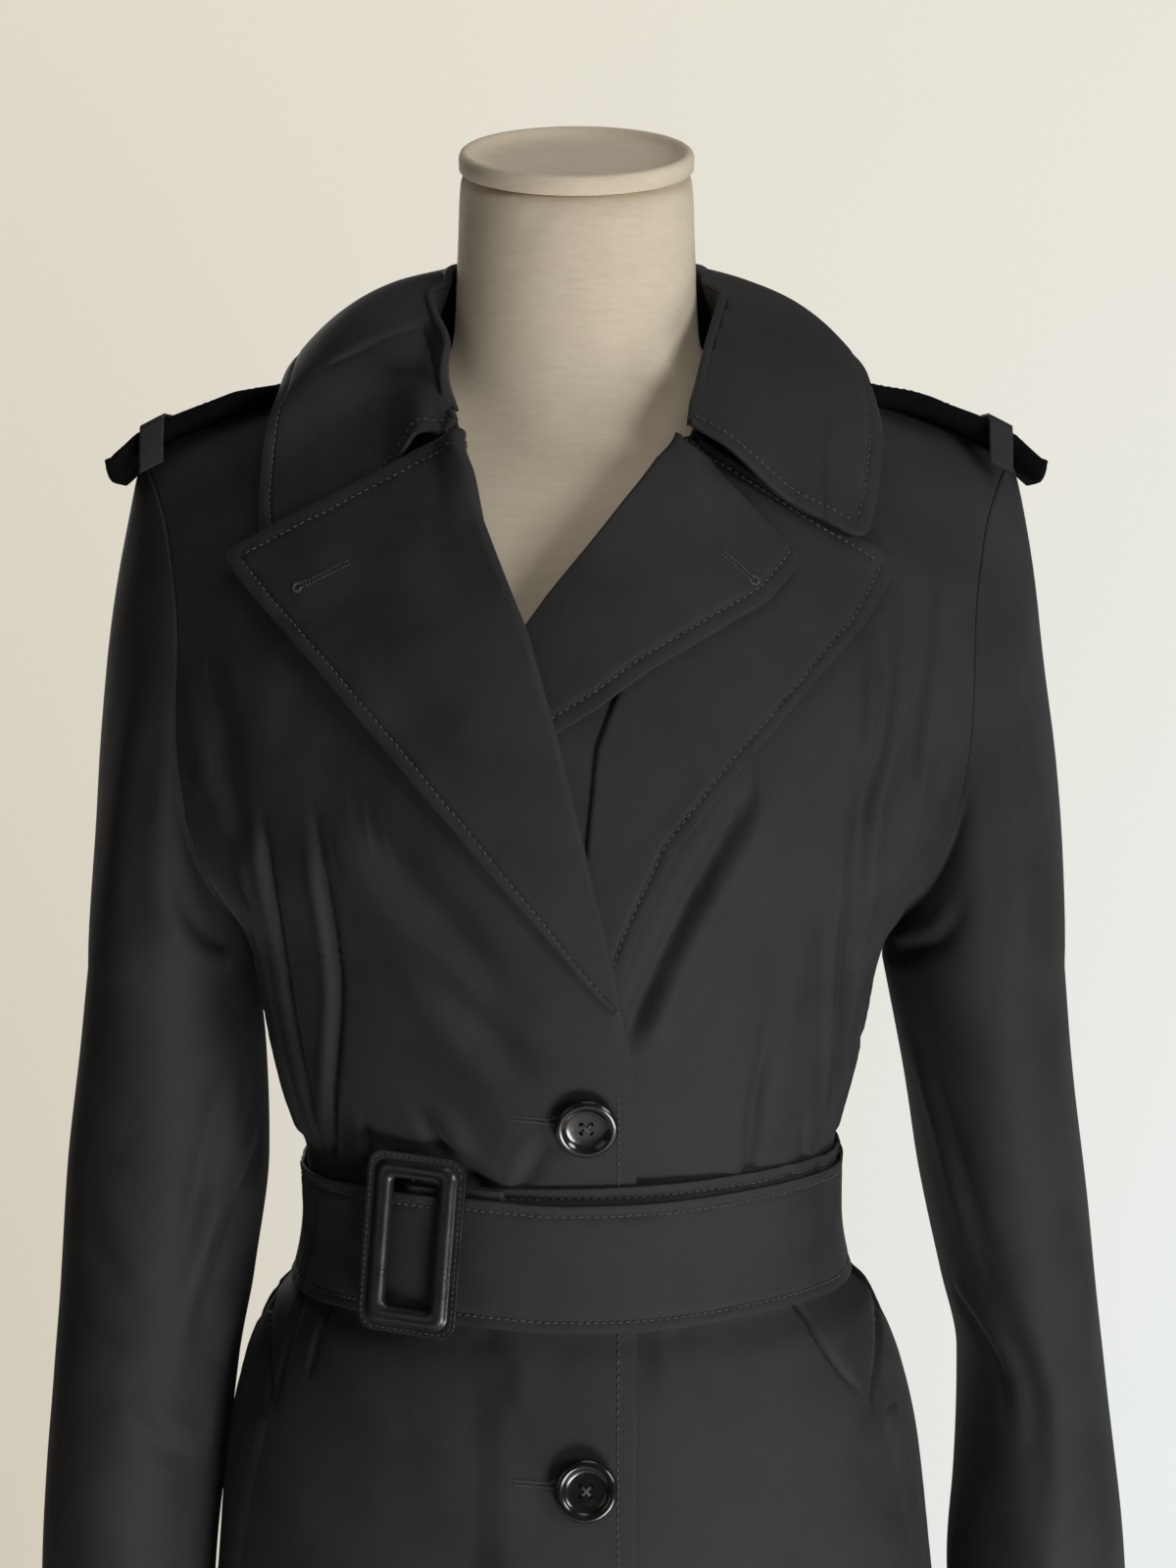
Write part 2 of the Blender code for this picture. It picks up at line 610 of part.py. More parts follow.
def make_sleeve(name, side, front_rows, back_rows, table):
    loop, shares = armhole_loop(front_rows, back_rows, side)
    table = sorted(table)
    top = table[-1].height
    first = sleeve_ring(table, side, top, shares)
    rings = [loop]
    for step in (0.07, 0.18, 0.34, 0.52, 0.74):
        ring = []
        for start, end, share in zip(loop, first, shares):
            cap = math.cos(math.pi * share) ** 2
            drop = start.z - end.z
            leave = Vector((side * (0.004 + 0.034 * cap), 0.0, -0.008 - 0.07 * cap))
            leave.y = (end.y - start.y) * 0.9
            arrive = Vector((0.0, 0.0, -drop))
            t = step
            point = start * (1 + 2 * t) * (1 - t) ** 2 + leave * t * (1 - t) ** 2
            point += end * t * t * (3 - 2 * t) - arrive * t * t * (1 - t)
            ring.append(point)
        rings.append(ring)
    for row in table[::-1]:
        rings.append(sleeve_ring(table, side, row.height, shares))
    cloth_sheet(name, rings, closed=True)


# ---------------------------------------------------------------- lapels, flap, pockets
def turned_point(rows, along, over, side, base_lift):
    """A point of a turned piece: along from its first row to its last, over from the
    fold line to the free edge."""
    place = along * (len(rows) - 1)
    low = min(int(place), len(rows) - 2)
    share = place - low
    row = [mixed(a, b, share) for a, b in zip(rows[low], rows[low + 1])]
    across = side * mixed(row[0], row[2], over)
    height = mixed(row[1], row[3], over)
    lift = mixed(row[4], row[5], over)
    return on_front(across, height, lift + base_lift(across, height))


def make_turned(name, rows, side=1, base_lift=None, columns=5, steps=8, thickness=DOUBLE_CLOTH):
    base = base_lift or (lambda across, height: 0.0)
    sheet = []
    for i in range(steps + 1):
        line = [turned_point(rows, i / steps, k / columns, side, base) for k in range(columns + 1)]
        sheet.append(line)
    return cloth_sheet(name, sheet, thickness)


# ---------------------------------------------------------------- collar
def neck_point(around, kind):
    """A point of the neckline, fold line or fall edge; around runs from the right
    front end (-1) by the back (0) to the left front end (1)."""
    side = math.copysign(1.0, around)
    rows = NECK_LEFT if side > 0 else NECK_RIGHT
    place = [smooth_value(rows, abs(around), kind + axis) for axis in ("_x", "_y", "_z")]
    return Vector((side * place[0], place[1], place[2]))


def collar_fall_point(around, over):
    fold = neck_point(around, "fold")
    edge = neck_point(around, "edge")
    step = 0.02
    low, high = max(around - step, -1.0), min(around + step, 1.0)
    along = neck_point(high, "fold") - neck_point(low, "fold")
    arch = along.cross(edge - fold).normalized()
    if arch.z < 0 and abs(around) > 0.3 or arch.y < 0 and abs(around) < 0.3:
        arch.negate()
    bulge = COLLAR_BULGE * 4 * over * (1 - over)
    point = fold.lerp(edge, over) + arch * bulge
    if abs(around) > 0.7:
        foot = Vector((point.x, torso_depth(point.x, point.z), point.z))
        normal = outward(point.x, point.z)
        lift = (point - foot).dot(normal)
        if around < 0:
            lying = smooth_step(0.78, 0.92, -around)
            lift = mixed(lift, mixed(0.0052, 0.0040, over), lying)
            point = point.lerp(foot + normal * lift, lying)
        point += normal * max(0.0, 0.0030 - lift)
    return point


def make_collar():
    columns, steps = 5, 30
    sheet = []
    for i in range(steps + 1):
        around = -1 + 2 * i / steps
        sheet.append([collar_fall_point(around, k / columns) for k in range(columns + 1)])
    cloth_sheet("collar", sheet, DOUBLE_CLOTH)


def make_collar_stand():
    steps = 26
    sheet = []
    for i in range(steps + 1):
        around = -0.98 + 1.96 * i / steps
        low = neck_point(around, "neck")
        top = neck_point(around, "fold")
        inward = Vector((-top.x, -top.y, 0.0)).normalized()
        low += Vector((0.0, 0.0, 0.0006)) + inward * 0.0008
        top += Vector((0.0, 0.0, -0.0022)) + inward * 0.0026
        sheet.append([low, low.lerp(top, 0.5), top])
    cloth_sheet("collar_stand", sheet)


# ---------------------------------------------------------------- epaulettes
def shoulder_height(across):
    beyond = max(0.0, across - SHOULDER[-1].across)
    return smooth_value(SHOULDER, across, "height") - beyond * 0.9


def epaulette_point(side, across, depth, lift=0.0):
    spread = depth / EPAULETTE_HALF_WIDTH
    rise = mixed(0.0042, 0.0095, smooth_step(0.13, 0.165, across))
    height = shoulder_height(across) + rise - EPAULETTE_DROOP * spread ** 2 + lift
    return Vector((side * across, EPAULETTE_MIDDLE + depth, height))


def make_epaulette(name, side):
    sheet = []
    steps = 10
    for i in range(steps + 1):
        across = mixed(EPAULETTE_INNER, EPAULETTE_OUTER, i / steps)
        line = []
        for k in range(5):
            depth = EPAULETTE_HALF_WIDTH * (k / 2 - 1)
            line.append(epaulette_point(side, across, depth))
        sheet.append(line)
    cloth_sheet("epaulette_" + name, sheet, DOUBLE_CLOTH)


def make_epaulette_loop(name, side):
    """A narrow strap over the epaulette, down to the shoulder in front and behind."""
    clear = (DOUBLE_CLOTH + LOOP_CLOTH) / 2 + 0.0020
    reach = EPAULETTE_HALF_WIDTH + 0.0026
    path = [(-reach - 0.0016, -0.0150), (-reach - 0.0010, -0.0100), (-reach, -0.0050)]
    path += [(-reach * 0.90, 0.0), (-reach * 0.5, 0.0), (0.0, 0.0), (reach * 0.5, 0.0)]
    path += [(reach * 0.90, 0.0), (reach, -0.0050), (reach + 0.0010, -0.0100)]
    path += [(reach + 0.0016, -0.0150)]
    sheet = []
    for across in (LOOP_ACROSS - LOOP_HALF_WIDTH, LOOP_ACROSS + LOOP_HALF_WIDTH):
        line = [epaulette_point(side, across, depth, clear + drop) for depth, drop in path]
        sheet.append(line)
    cloth_sheet("epaulette_loop_" + name, sheet, LOOP_CLOTH)


# ---------------------------------------------------------------- belt and buckle
def waist_point(turn, height, lift):
    """A point round the waist: turn in radians from the centre front by the left."""
    centre = smooth_value(BODY, height, "centre")
    width = smooth_value(BODY, height, "half_width")
    depth = smooth_value(BODY, height, "front" if math.cos(turn) > 0 else "back")
    power = 2 / SQUARENESS
    sine, cosine = math.sin(turn), math.cos(turn)
    x = centre + width * math.copysign(abs(sine) ** power, sine)
    y = -depth * math.copysign(abs(cosine) ** power, cosine)
    share_x, share_y = (x - centre) / width, y / depth
    normal = Vector((
        math.copysign(abs(share_x) ** (SQUARENESS - 1), share_x) / width,
        math.copysign(abs(share_y) ** (SQUARENESS - 1), share_y) / depth,
        0.0,
    )).normalized()
    return Vector((x, y, height)) + normal * lift


def front_overlap_lift(turn):
    """What the belt rises by to pass over the doubled centre front."""
    x = waist_point(turn, 1.037, 0.0).x
    if math.cos(turn) < 0:
        return 0.0
    return OVERLAP[0].lift * smooth_step(-0.056, -0.036, x) * (1 - smooth_step(0.030, 0.042, x))


def belt_line(turn, lift, height):
    turn = math.radians(turn)
    lift += front_overlap_lift(turn)
    half = BELT_WIDTH / 2
    return [waist_point(turn, height + rise, lift) for rise in (-half, 0.0, half)]


def make_belt():
    sheet = [belt_line(row.turn, row.lift, row.height) for row in BELT_START]
    outer, inner = BELT_START[-1], BELT_WRAP[0]
    middle = (outer.lift + inner.lift) / 2
    radius = (outer.lift - inner.lift) / 2
    for k in range(1, 6):
        bend = math.pi * k / 6
        turn = outer.turn - BAR_TURN * math.sin(bend)
        sheet.append(belt_line(turn, middle + radius * math.cos(bend), outer.height))
    first, last = BELT_WRAP[0].turn, BELT_WRAP[-1].turn
    for k in range(BELT_STEPS + 1):
        turn = mixed(first, last, k / BELT_STEPS)
        lift = smooth_value(BELT_WRAP, turn, "lift")
        height = smooth_value(BELT_WRAP, turn, "height")
        sheet.append(belt_line(turn, lift, height))
    cloth_sheet("belt", sheet, BELT_CLOTH)


def bar_turn():
    """How far round the waist the bar crosses the belt, in radians."""
    centre = smooth_value(BODY, BUCKLE_HEIGHT, "centre")
    width = smooth_value(BODY, BUCKLE_HEIGHT, "half_width")
    return sweep_angle((BAR_ACROSS - centre) / width)


def ring_frame():
    """The place of the buckle's ring: x runs along the belt, y up and z outward."""
    foot = waist_point(bar_turn(), BUCKLE_HEIGHT, 0.0)
    outside = waist_point(bar_turn(), BUCKLE_HEIGHT, 1.0) - foot
    outside = Vector((outside.x * BUCKLE_FACING, outside.y, 0.0)).normalized()
    up = Vector((0.0, 0.0, 1.0))
    along = up.cross(outside).normalized()
    turned = Matrix((along, up, outside)).transposed().to_4x4()
    leaning = Matrix.Rotation(BUCKLE_PITCH, 4, "X") @ Matrix.Rotation(BUCKLE_TILT, 4, "Z")
    return Matrix.Translation(foot + outside * BUCKLE_LIFT) @ turned @ leaning


def rounded_rectangle(width, height, radius, corner_steps=4):
    points = []
    corners = ((1, 1, 0), (-1, 1, 90), (-1, -1, 180), (1, -1, 270))
    for sign_x, sign_y, start in corners:
        for k in range(corner_steps + 1):
            angle = math.radians(start + 90 * k / corner_steps)
            x = sign_x * (width / 2 - radius) + radius * math.cos(angle)
            y = sign_y * (height / 2 - radius) + radius * math.sin(angle)
            points.append((x, y))
    return points


def make_buckle():
    """A rectangular leather-covered ring: flat flange outside, padded roll inside."""
    profile = (
        (0.00, 0.0000), (0.00, 0.0018), (0.30, 0.0020), (0.42, 0.0034), (0.66, 0.0042),
        (0.90, 0.0034), (1.00, 0.0018), (1.00, 0.0000),
    )
    outer_corner, inner_corner = BUCKLE_CORNERS
    mesh = bmesh.new()
    rings = []
    for share, rise in profile:
        width = mixed(BUCKLE_SIZE[0], BUCKLE_WINDOW[0], share)
        height = mixed(BUCKLE_SIZE[1], BUCKLE_WINDOW[1], share)
        corner = mixed(outer_corner, inner_corner, share)
        outline = rounded_rectangle(width, height, corner)
        rings.append([mesh.verts.new((x, y, rise)) for x, y in outline])
    for outer, inner in zip(rings, rings[1:] + rings[:1]):
        for k in range(len(outer)):
            after = (k + 1) % len(outer)
            mesh.faces.new((outer[k], outer[after], inner[after], inner[k]))
    bmesh.ops.recalc_face_normals(mesh, faces=mesh.faces)
    data = bpy.data.meshes.new("buckle")
    mesh.to_mesh(data)
    mesh.free()
    data.shade_smooth()
    obj = bpy.data.objects.new("buckle", data)
    obj.matrix_world = ring_frame()
    finish_object(obj, buckle_leather())


def make_buckle_bar():
    """The wire that the belt's end is sewn round, its ends turned up to the ring."""
    low, high = BAR_ENDS
    path = [ring_frame() @ Vector((0.0, high, -BAR_CLEARANCE))]
    for k in range(BAR_STEPS + 1):
        height = BUCKLE_HEIGHT + mixed(high, low, k / BAR_STEPS)
        path.append(waist_point(bar_turn(), height, BAR_LIFT))
    path.append(ring_frame() @ Vector((0.0, low, -BAR_CLEARANCE)))
    curve = bpy.data.curves.new("buckle_bar", "CURVE")
    curve.dimensions = "3D"
    curve.bevel_depth = BAR_RADIUS
    curve.bevel_resolution = 2
    curve.use_fill_caps = True
    spline = curve.splines.new("POLY")
    spline.points.add(len(path) - 1)
    for point, place in zip(spline.points, path):
        point.co = (*place, 1.0)
    finish_object(bpy.data.objects.new("buckle_bar", curve), stand_metal())


# ---------------------------------------------------------------- buttons
def make_button(index, height, lift):
    """A dished four-hole button with a raised rounded rim, turned about its own z."""
    radius = BUTTON_RADIUS
    profile = (
        (0.0000, 0.0026), (radius * 0.58, 0.0026), (radius * 0.68, 0.0032),
        (radius * 0.80, 0.0044), (radius * 0.92, 0.0044), (radius, 0.0032),
        (radius, 0.0014), (radius * 0.86, 0.0000), (0.0000, 0.0000),
    )
    data = bpy.data.meshes.new("button_%d" % index)
    edges = [(k, k + 1) for k in range(len(profile) - 1)]
    data.from_pydata([(x, 0.0, z) for x, z in profile], edges, [])
    obj = bpy.data.objects.new("button_%d" % index, data)
    turn = obj.modifiers.new("turned", "SCREW")
    turn.steps = 28
    turn.render_steps = 28
    turn.use_merge_vertices = True
    turn.merge_threshold = 0.00001
    facing = outward(BUTTON_ACROSS, height).to_track_quat("Z", "Y").to_matrix().to_4x4()
    place = on_front(BUTTON_ACROSS, height, lift + BUTTON_LIFT)
    obj.matrix_world = Matrix.Translation(place) @ facing
    holes = obj.modifiers.new("holes", "BOOLEAN")
    holes.operation = "DIFFERENCE"
    holes.object = button_holes(obj.matrix_world)
    finish_object(obj, button_horn())


def button_holes(place):
    """Four pins that pierce the button at this place."""
    mesh = bmesh.new()
    for across in (-BUTTON_HOLE_OFFSET, BUTTON_HOLE_OFFSET):
        for up in (-BUTTON_HOLE_OFFSET, BUTTON_HOLE_OFFSET):
            bmesh.ops.create_cone(
                mesh, cap_ends=True, segments=8, radius1=BUTTON_HOLE_RADIUS,
                radius2=BUTTON_HOLE_RADIUS, depth=BUTTON_RADIUS,
                matrix=Matrix.Translation((across, up, 0.0)),
            )
    data = bpy.data.meshes.new("button_holes")
    mesh.to_mesh(data)
    mesh.free()
    obj = bpy.data.objects.new("button_holes", data)
    obj.matrix_world = place
    return as_cutter(obj)


# ---------------------------------------------------------------- dress form and stand
def form_ring(row):
    points = []
    power = 2 / row.squareness
    middle = (row.back - row.front) / 2
    for k in range(FORM_POINTS):
        angle = 2 * math.pi * k / FORM_POINTS
        sine, cosine = math.sin(angle), math.cos(angle)
        x = row.half_width * math.copysign(abs(sine) ** power, sine)
        if row.slope > 0:
            y = middle - (row.front + row.back) / 2 * cosine
        else:
            depth = row.front if cosine > 0 else row.back
            y = -depth * math.copysign(abs(cosine) ** power, cosine)
        points.append(Vector((x, y, row.height + row.slope * (y - middle))))
    return points


def closed_loft(name, rows):
    """A closed body through the rings of a table."""
    mesh = bmesh.new()
    rings = [[mesh.verts.new(point) for point in form_ring(row)] for row in rows]
    for low, high in zip(rings, rings[1:]):
        for k in range(FORM_POINTS):
            after = (k + 1) % FORM_POINTS
            mesh.faces.new((low[k], low[after], high[after], high[k]))
    mesh.faces.new(rings[0][::-1])
    mesh.faces.new(rings[-1])
    data = bpy.data.meshes.new(name)
    mesh.to_mesh(data)
    mesh.free()
    return bpy.data.objects.new(name, data)


def make_form_body():
    """The torso, with the neck joined on."""
    body = closed_loft("form_body", FORM)
    joined = body.modifiers.new("neck", "BOOLEAN")
    joined.operation = "UNION"
    joined.object = as_cutter(closed_loft("form_neck", FORM_NECK))
    body.data.shade_smooth()
    finish_object(body, form_linen())


def make_form_neck_cap():
    """The dished cap with a rounded rim that closes the neck."""
    top = FORM_NECK[-1]
    radius = top.half_width
    profile = (
        (0.0000, 0.0040), (radius * 0.70, 0.0042), (radius - 0.0060, 0.0062),
        (radius - 0.0035, 0.0090), (radius - 0.0010, 0.0082), (radius, 0.0060),
        (radius, 0.0000), (0.0000, 0.0000),
    )
    data = bpy.data.meshes.new("form_neck_cap")
    edges = [(k, k + 1) for k in range(len(profile) - 1)]
    data.from_pydata([(x, 0.0, z) for x, z in profile], edges, [])
    obj = bpy.data.objects.new("form_neck_cap", data)
    turn = obj.modifiers.new("turned", "SCREW")
    turn.steps = 40
    turn.render_steps = 40
    turn.use_merge_vertices = True
    turn.merge_threshold = 0.00001
    middle = (top.back - top.front) / 2
    tip = Matrix.Rotation(math.atan(top.slope), 4, "X")
    lift = Matrix.Translation((0.0, 0.0, CLEARANCE))
    obj.matrix_world = Matrix.Translation((0.0, middle, top.height)) @ tip @ lift
    finish_object(obj, form_linen())


def make_cylinder(name, radius, low, high, segments, bevel, finish):
    mesh = bmesh.new()
    place = Matrix.Translation((0.0, 0.0, (low + high) / 2))
    bmesh.ops.create_cone(
        mesh, cap_ends=True, segments=segments, radius1=radius, radius2=radius,
        depth=high - low, matrix=place,
    )
    data = bpy.data.meshes.new(name)
    mesh.to_mesh(data)
    mesh.free()
    data.shade_smooth()
    data.set_sharp_from_angle(angle=math.radians(40))
    obj = bpy.data.objects.new(name, data)
    if bevel:
        rounding = obj.modifiers.new("rounding", "BEVEL")
        rounding.width = bevel
        rounding.segments = 2
        rounding.limit_method = "ANGLE"
        rounding.angle_limit = math.radians(40)
    finish_object(obj, finish)


def make_stand():
    pole_foot = BASE_THICKNESS + CLEARANCE
    pole_head = FORM[0].height - CLEARANCE
    make_cylinder("stand_pole", POLE_RADIUS, pole_foot, pole_head, 24, 0.0, stand_metal())
    make_cylinder("stand_base", BASE_RADIUS, 0.0, BASE_THICKNESS, 64, 0.004, stand_metal())


# ---------------------------------------------------------------- the whole object
def main():
    clear_scene()
    make_form_body()
    make_form_neck_cap()
    make_stand()
    front_right, front_left = make_fronts()
    back_right, back_left = make_backs()
    make_sleeve("sleeve_right", -1, front_right, back_right, SLEEVE_RIGHT)
    make_sleeve("sleeve_left", 1, front_left, back_left, SLEEVE_LEFT)
    make_turned("lapel_right", LAPEL_RIGHT, base_lift=right_front_lift)
    make_turned("lapel_left", LAPEL_LEFT)
    make_turned("throat_flap", THROAT_FLAP, columns=4)
    make_turned("pocket_welt_right", POCKET_WELT, side=-1, columns=2, steps=6)
    make_turned("pocket_welt_left", POCKET_WELT, columns=2, steps=6)
    make_collar()
    make_collar_stand()
    for name, side in (("right", -1), ("left", 1)):
        make_epaulette(name, side)
        make_epaulette_loop(name, side)
    make_belt()
    make_buckle()
    make_buckle_bar()
    for index, height in enumerate(BUTTON_HEIGHTS, 1):
        make_button(index, height, right_front_lift(BUTTON_ACROSS, height))


main()
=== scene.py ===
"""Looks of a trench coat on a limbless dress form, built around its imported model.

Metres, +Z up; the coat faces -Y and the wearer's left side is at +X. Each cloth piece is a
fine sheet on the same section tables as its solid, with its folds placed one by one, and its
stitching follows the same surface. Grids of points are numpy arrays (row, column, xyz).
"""
import functools
import math
from collections import namedtuple

import bmesh
import bpy
import numpy as np
from mathutils import Matrix, Vector, noise


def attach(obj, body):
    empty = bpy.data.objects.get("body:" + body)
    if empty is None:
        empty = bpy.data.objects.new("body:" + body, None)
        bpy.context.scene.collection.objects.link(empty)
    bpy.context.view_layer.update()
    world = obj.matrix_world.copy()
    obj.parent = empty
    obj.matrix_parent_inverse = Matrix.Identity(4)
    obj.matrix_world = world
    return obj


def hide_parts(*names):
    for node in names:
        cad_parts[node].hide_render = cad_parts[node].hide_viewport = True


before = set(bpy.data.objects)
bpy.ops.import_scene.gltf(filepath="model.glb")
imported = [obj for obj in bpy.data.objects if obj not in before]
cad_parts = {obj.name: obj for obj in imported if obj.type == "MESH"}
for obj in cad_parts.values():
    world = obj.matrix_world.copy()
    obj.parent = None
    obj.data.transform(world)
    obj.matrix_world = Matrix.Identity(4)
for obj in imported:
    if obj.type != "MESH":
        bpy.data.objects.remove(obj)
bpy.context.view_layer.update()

# ---------------------------------------------------------------- driving sizes
CLOTH = 0.0014            # wall of one layer of coat cloth
DOUBLE_CLOTH = 0.0018     # wall of turned and stitched pieces
BELT_CLOTH = 0.0015       # wall of the belt strip
SEAM_GAP = 0.0010         # between the middles of two walls that meet at a seam
ARMPIT = 1.172            # height where the side seams end and the armholes start
SQUARENESS = 2.3          # exponent of the torso's rounded sections
HEM = 0.450

BUTTON_ACROSS = 0.0045
BUTTON_HEIGHTS = (1.103, 0.939, 0.775, 0.611)
BUTTON_RADIUS = 0.0140
BUTTON_HOLE_RADIUS = 0.0011
BUTTON_HOLE_OFFSET = 0.0021
BUTTON_LIFT = 0.0036      # from the middle of the front's wall to the button's back

BELT_WIDTH = 0.057
BAR_ACROSS = -0.069       # where the buckle's bar crosses the belt
BUCKLE_HEIGHT = 1.0445
BUCKLE_SIZE = (0.046, 0.081)
BUCKLE_WINDOW = (0.0210, 0.0575)
BUCKLE_CORNERS = (0.0075, 0.0022)
BUCKLE_LIFT = 0.0134
BUCKLE_TILT = math.radians(-4)
BUCKLE_PITCH = math.radians(-2.5)
BUCKLE_FACING = 0.64      # 1 faces straight off the waist, 0 faces the front

EPAULETTE_INNER = 0.116
EPAULETTE_OUTER = 0.2185
EPAULETTE_HALF_WIDTH = 0.023
EPAULETTE_MIDDLE = 0.005  # how far behind the x-z plane the strap's middle runs
LOOP_ACROSS = 0.1985
LOOP_HALF_WIDTH = 0.0055
LOOP_CLOTH = 0.0012
CLEARANCE = 0.0003        # between hard pieces that touch

# ---------------------------------------------------------------- section tables
# The torso below the armpits, one row a horizontal section.
Section = namedtuple("Section", "height centre half_width front back")
BODY = (
    Section(0.450, 0.0000, 0.2130, 0.150, 0.160),
    Section(0.600, 0.0000, 0.1990, 0.141, 0.147),
    Section(0.750, 0.0000, 0.1840, 0.131, 0.133),
    Section(0.850, -0.0010, 0.1750, 0.125, 0.122),
    Section(0.920, -0.0020, 0.1680, 0.121, 0.112),
    Section(0.960, -0.0020, 0.1590, 0.117, 0.104),
    Section(0.990, -0.0020, 0.1450, 0.112, 0.094),
    Section(1.006, -0.0030, 0.1310, 0.107, 0.084),
    Section(1.037, -0.0030, 0.1260, 0.105, 0.079),
    Section(1.068, -0.0030, 0.1270, 0.106, 0.080),
    Section(1.082, -0.0045, 0.1305, 0.109, 0.082),
    Section(1.096, -0.0050, 0.1345, 0.114, 0.086),
    Section(1.115, -0.0050, 0.1390, 0.119, 0.090),
    Section(1.140, -0.0050, 0.1440, 0.122, 0.094),
    Section(1.172, -0.0045, 0.1525, 0.126, 0.099),
)

# The torso above the armpits, from level 0 at the armpits to level 1 at the top seams.
Yoke = namedtuple("Yoke", "level centre half_width front back armhole_front armhole_back")
YOKE = (
    Yoke(0.00, -0.0045, 0.1525, 0.126, 0.099, 0.1525, 0.1525),
    Yoke(0.05, -0.0040, 0.1620, 0.127, 0.100, 0.1580, 0.1590),
    Yoke(0.12, -0.0030, 0.1760, 0.128, 0.102, 0.1665, 0.1690),
    Yoke(0.25, -0.0020, 0.1920, 0.130, 0.104, 0.1760, 0.1800),
    Yoke(0.40, -0.0010, 0.2020, 0.130, 0.104, 0.1805, 0.1860),
    Yoke(0.60, 0.0000, 0.2070, 0.128, 0.102, 0.1820, 0.1900),
    Yoke(0.80, 0.0000, 0.2140, 0.124, 0.100, 0.1890, 0.1950),
    Yoke(0.92, 0.0000, 0.2220, 0.120, 0.098, 0.1980, 0.2010),
    Yoke(1.00, 0.0000, 0.2300, 0.118, 0.096, 0.2060, 0.2060),
)

# The top edge of the panels: neckline, then shoulder seam, by distance from the middle.
Top = namedtuple("Top", "across height depth")
SHOULDER = (
    Top(0.072, 1.4520, 0.006),
    Top(0.105, 1.4390, 0.006),
    Top(0.139, 1.4245, 0.006),
    Top(0.168, 1.4135, 0.006),
    Top(0.192, 1.4040, 0.006),
    Top(0.206, 1.3970, 0.006),
)
FRONT_TOP = (
    Top(0.000, 1.3920, -0.080),
    Top(0.048, 1.3970, -0.074),
    Top(0.058, 1.4180, -0.045),
    Top(0.066, 1.4380, -0.018),
) + SHOULDER
BACK_TOP = (
    Top(0.000, 1.4320, 0.062),
    Top(0.030, 1.4360, 0.058),
    Top(0.055, 1.4440, 0.038),
    Top(0.066, 1.4490, 0.020),
) + SHOULDER

NECK_SPREAD = 0.115       # how far from the middle the neckline's dip is spread below it
NECK_NEARNESS = 6         # how quickly that spread gives way to the top edge's own depth
NECK_TOP = 1.405          # the height that the spread neckline has at the middle

# The front edge below the break and the roll line above it, for each front.
Edge = namedtuple("Edge", "height across")
RIGHT_EDGE = (
    Edge(0.450, 0.0265),
    Edge(1.100, 0.0265),
    Edge(1.130, 0.0245),
    Edge(1.150, 0.0205),
    Edge(1.170, 0.0168),
    Edge(1.217, 0.0043),
    Edge(1.270, -0.0090),
    Edge(1.314, -0.0213),
    Edge(1.368, -0.0420),
    Edge(1.397, -0.0490),
)
LEFT_EDGE = (
    Edge(0.450, -0.0175),
    Edge(1.100, -0.0175),
    Edge(1.150, -0.0120),
    Edge(1.180, -0.0090),
    Edge(1.222, -0.0090),
    Edge(1.265, -0.0130),
    Edge(1.292, -0.0090),
    Edge(1.320, 0.0010),
    Edge(1.352, 0.0170),
    Edge(1.397, 0.0470),
)

# How far the right front stands out along its own edge to clear what lies under it.
Overlap = namedtuple("Overlap", "height lift")
OVERLAP = (
    Overlap(0.450, 0.0027),
    Overlap(1.090, 0.0027),
    Overlap(1.150, 0.0062),
    Overlap(1.210, 0.0064),
    Overlap(1.270, 0.0060),
    Overlap(1.320, 0.0054),
    Overlap(1.360, 0.0020),
    Overlap(1.400, 0.0004),
)
OVERLAP_RAMP = 0.016      # how far in from the edge the right front starts to rise
OVERLAP_FLAT = 0.056      # how far in from the edge it stays at its full lift
OPEN_RAMP = 0.085         # the same two widths where the fronts open out above the belt
OPEN_FLAT = 0.030
OPENING = (1.085, 1.150)  # the heights between which they open out

# Turned pieces that lie on the fronts: the fold line and the free edge, row by row.
Turned = namedtuple(
    "Turned", "fold_across fold_height edge_across edge_height fold_lift edge_lift")
LAPEL_RIGHT = (
    Turned(0.0180, 1.1530, 0.0130, 1.1560, 0.0024, 0.0024),
    Turned(0.0150, 1.1700, -0.0110, 1.1850, 0.0024, 0.0034),
    Turned(0.0035, 1.2170, -0.0440, 1.2230, 0.0026, 0.0050),
    Turned(-0.0098, 1.2700, -0.0780, 1.2610, 0.0030, 0.0060),
    Turned(-0.0222, 1.3140, -0.1140, 1.3000, 0.0040, 0.0072),
    Turned(-0.0420, 1.3610, -0.1420, 1.3290, 0.0050, 0.0080),
    Turned(-0.0510, 1.3980, -0.1570, 1.3460, 0.0084, 0.0088),
)
LAPEL_LEFT = (
    Turned(-0.0050, 1.1580, 0.0180, 1.1600, 0.0024, 0.0024),
    Turned(0.0005, 1.1800, 0.0265, 1.1860, 0.0024, 0.0034),
    Turned(0.0066, 1.2220, 0.0440, 1.2240, 0.0026, 0.0050),
    Turned(0.0110, 1.2650, 0.0725, 1.2590, 0.0030, 0.0058),
    Turned(0.0210, 1.2915, 0.1020, 1.2915, 0.0034, 0.0060),
    Turned(0.0320, 1.3400, 0.1260, 1.3165, 0.0044, 0.0060),
    Turned(0.0490, 1.4010, 0.1435, 1.3440, 0.0042, 0.0056),
)
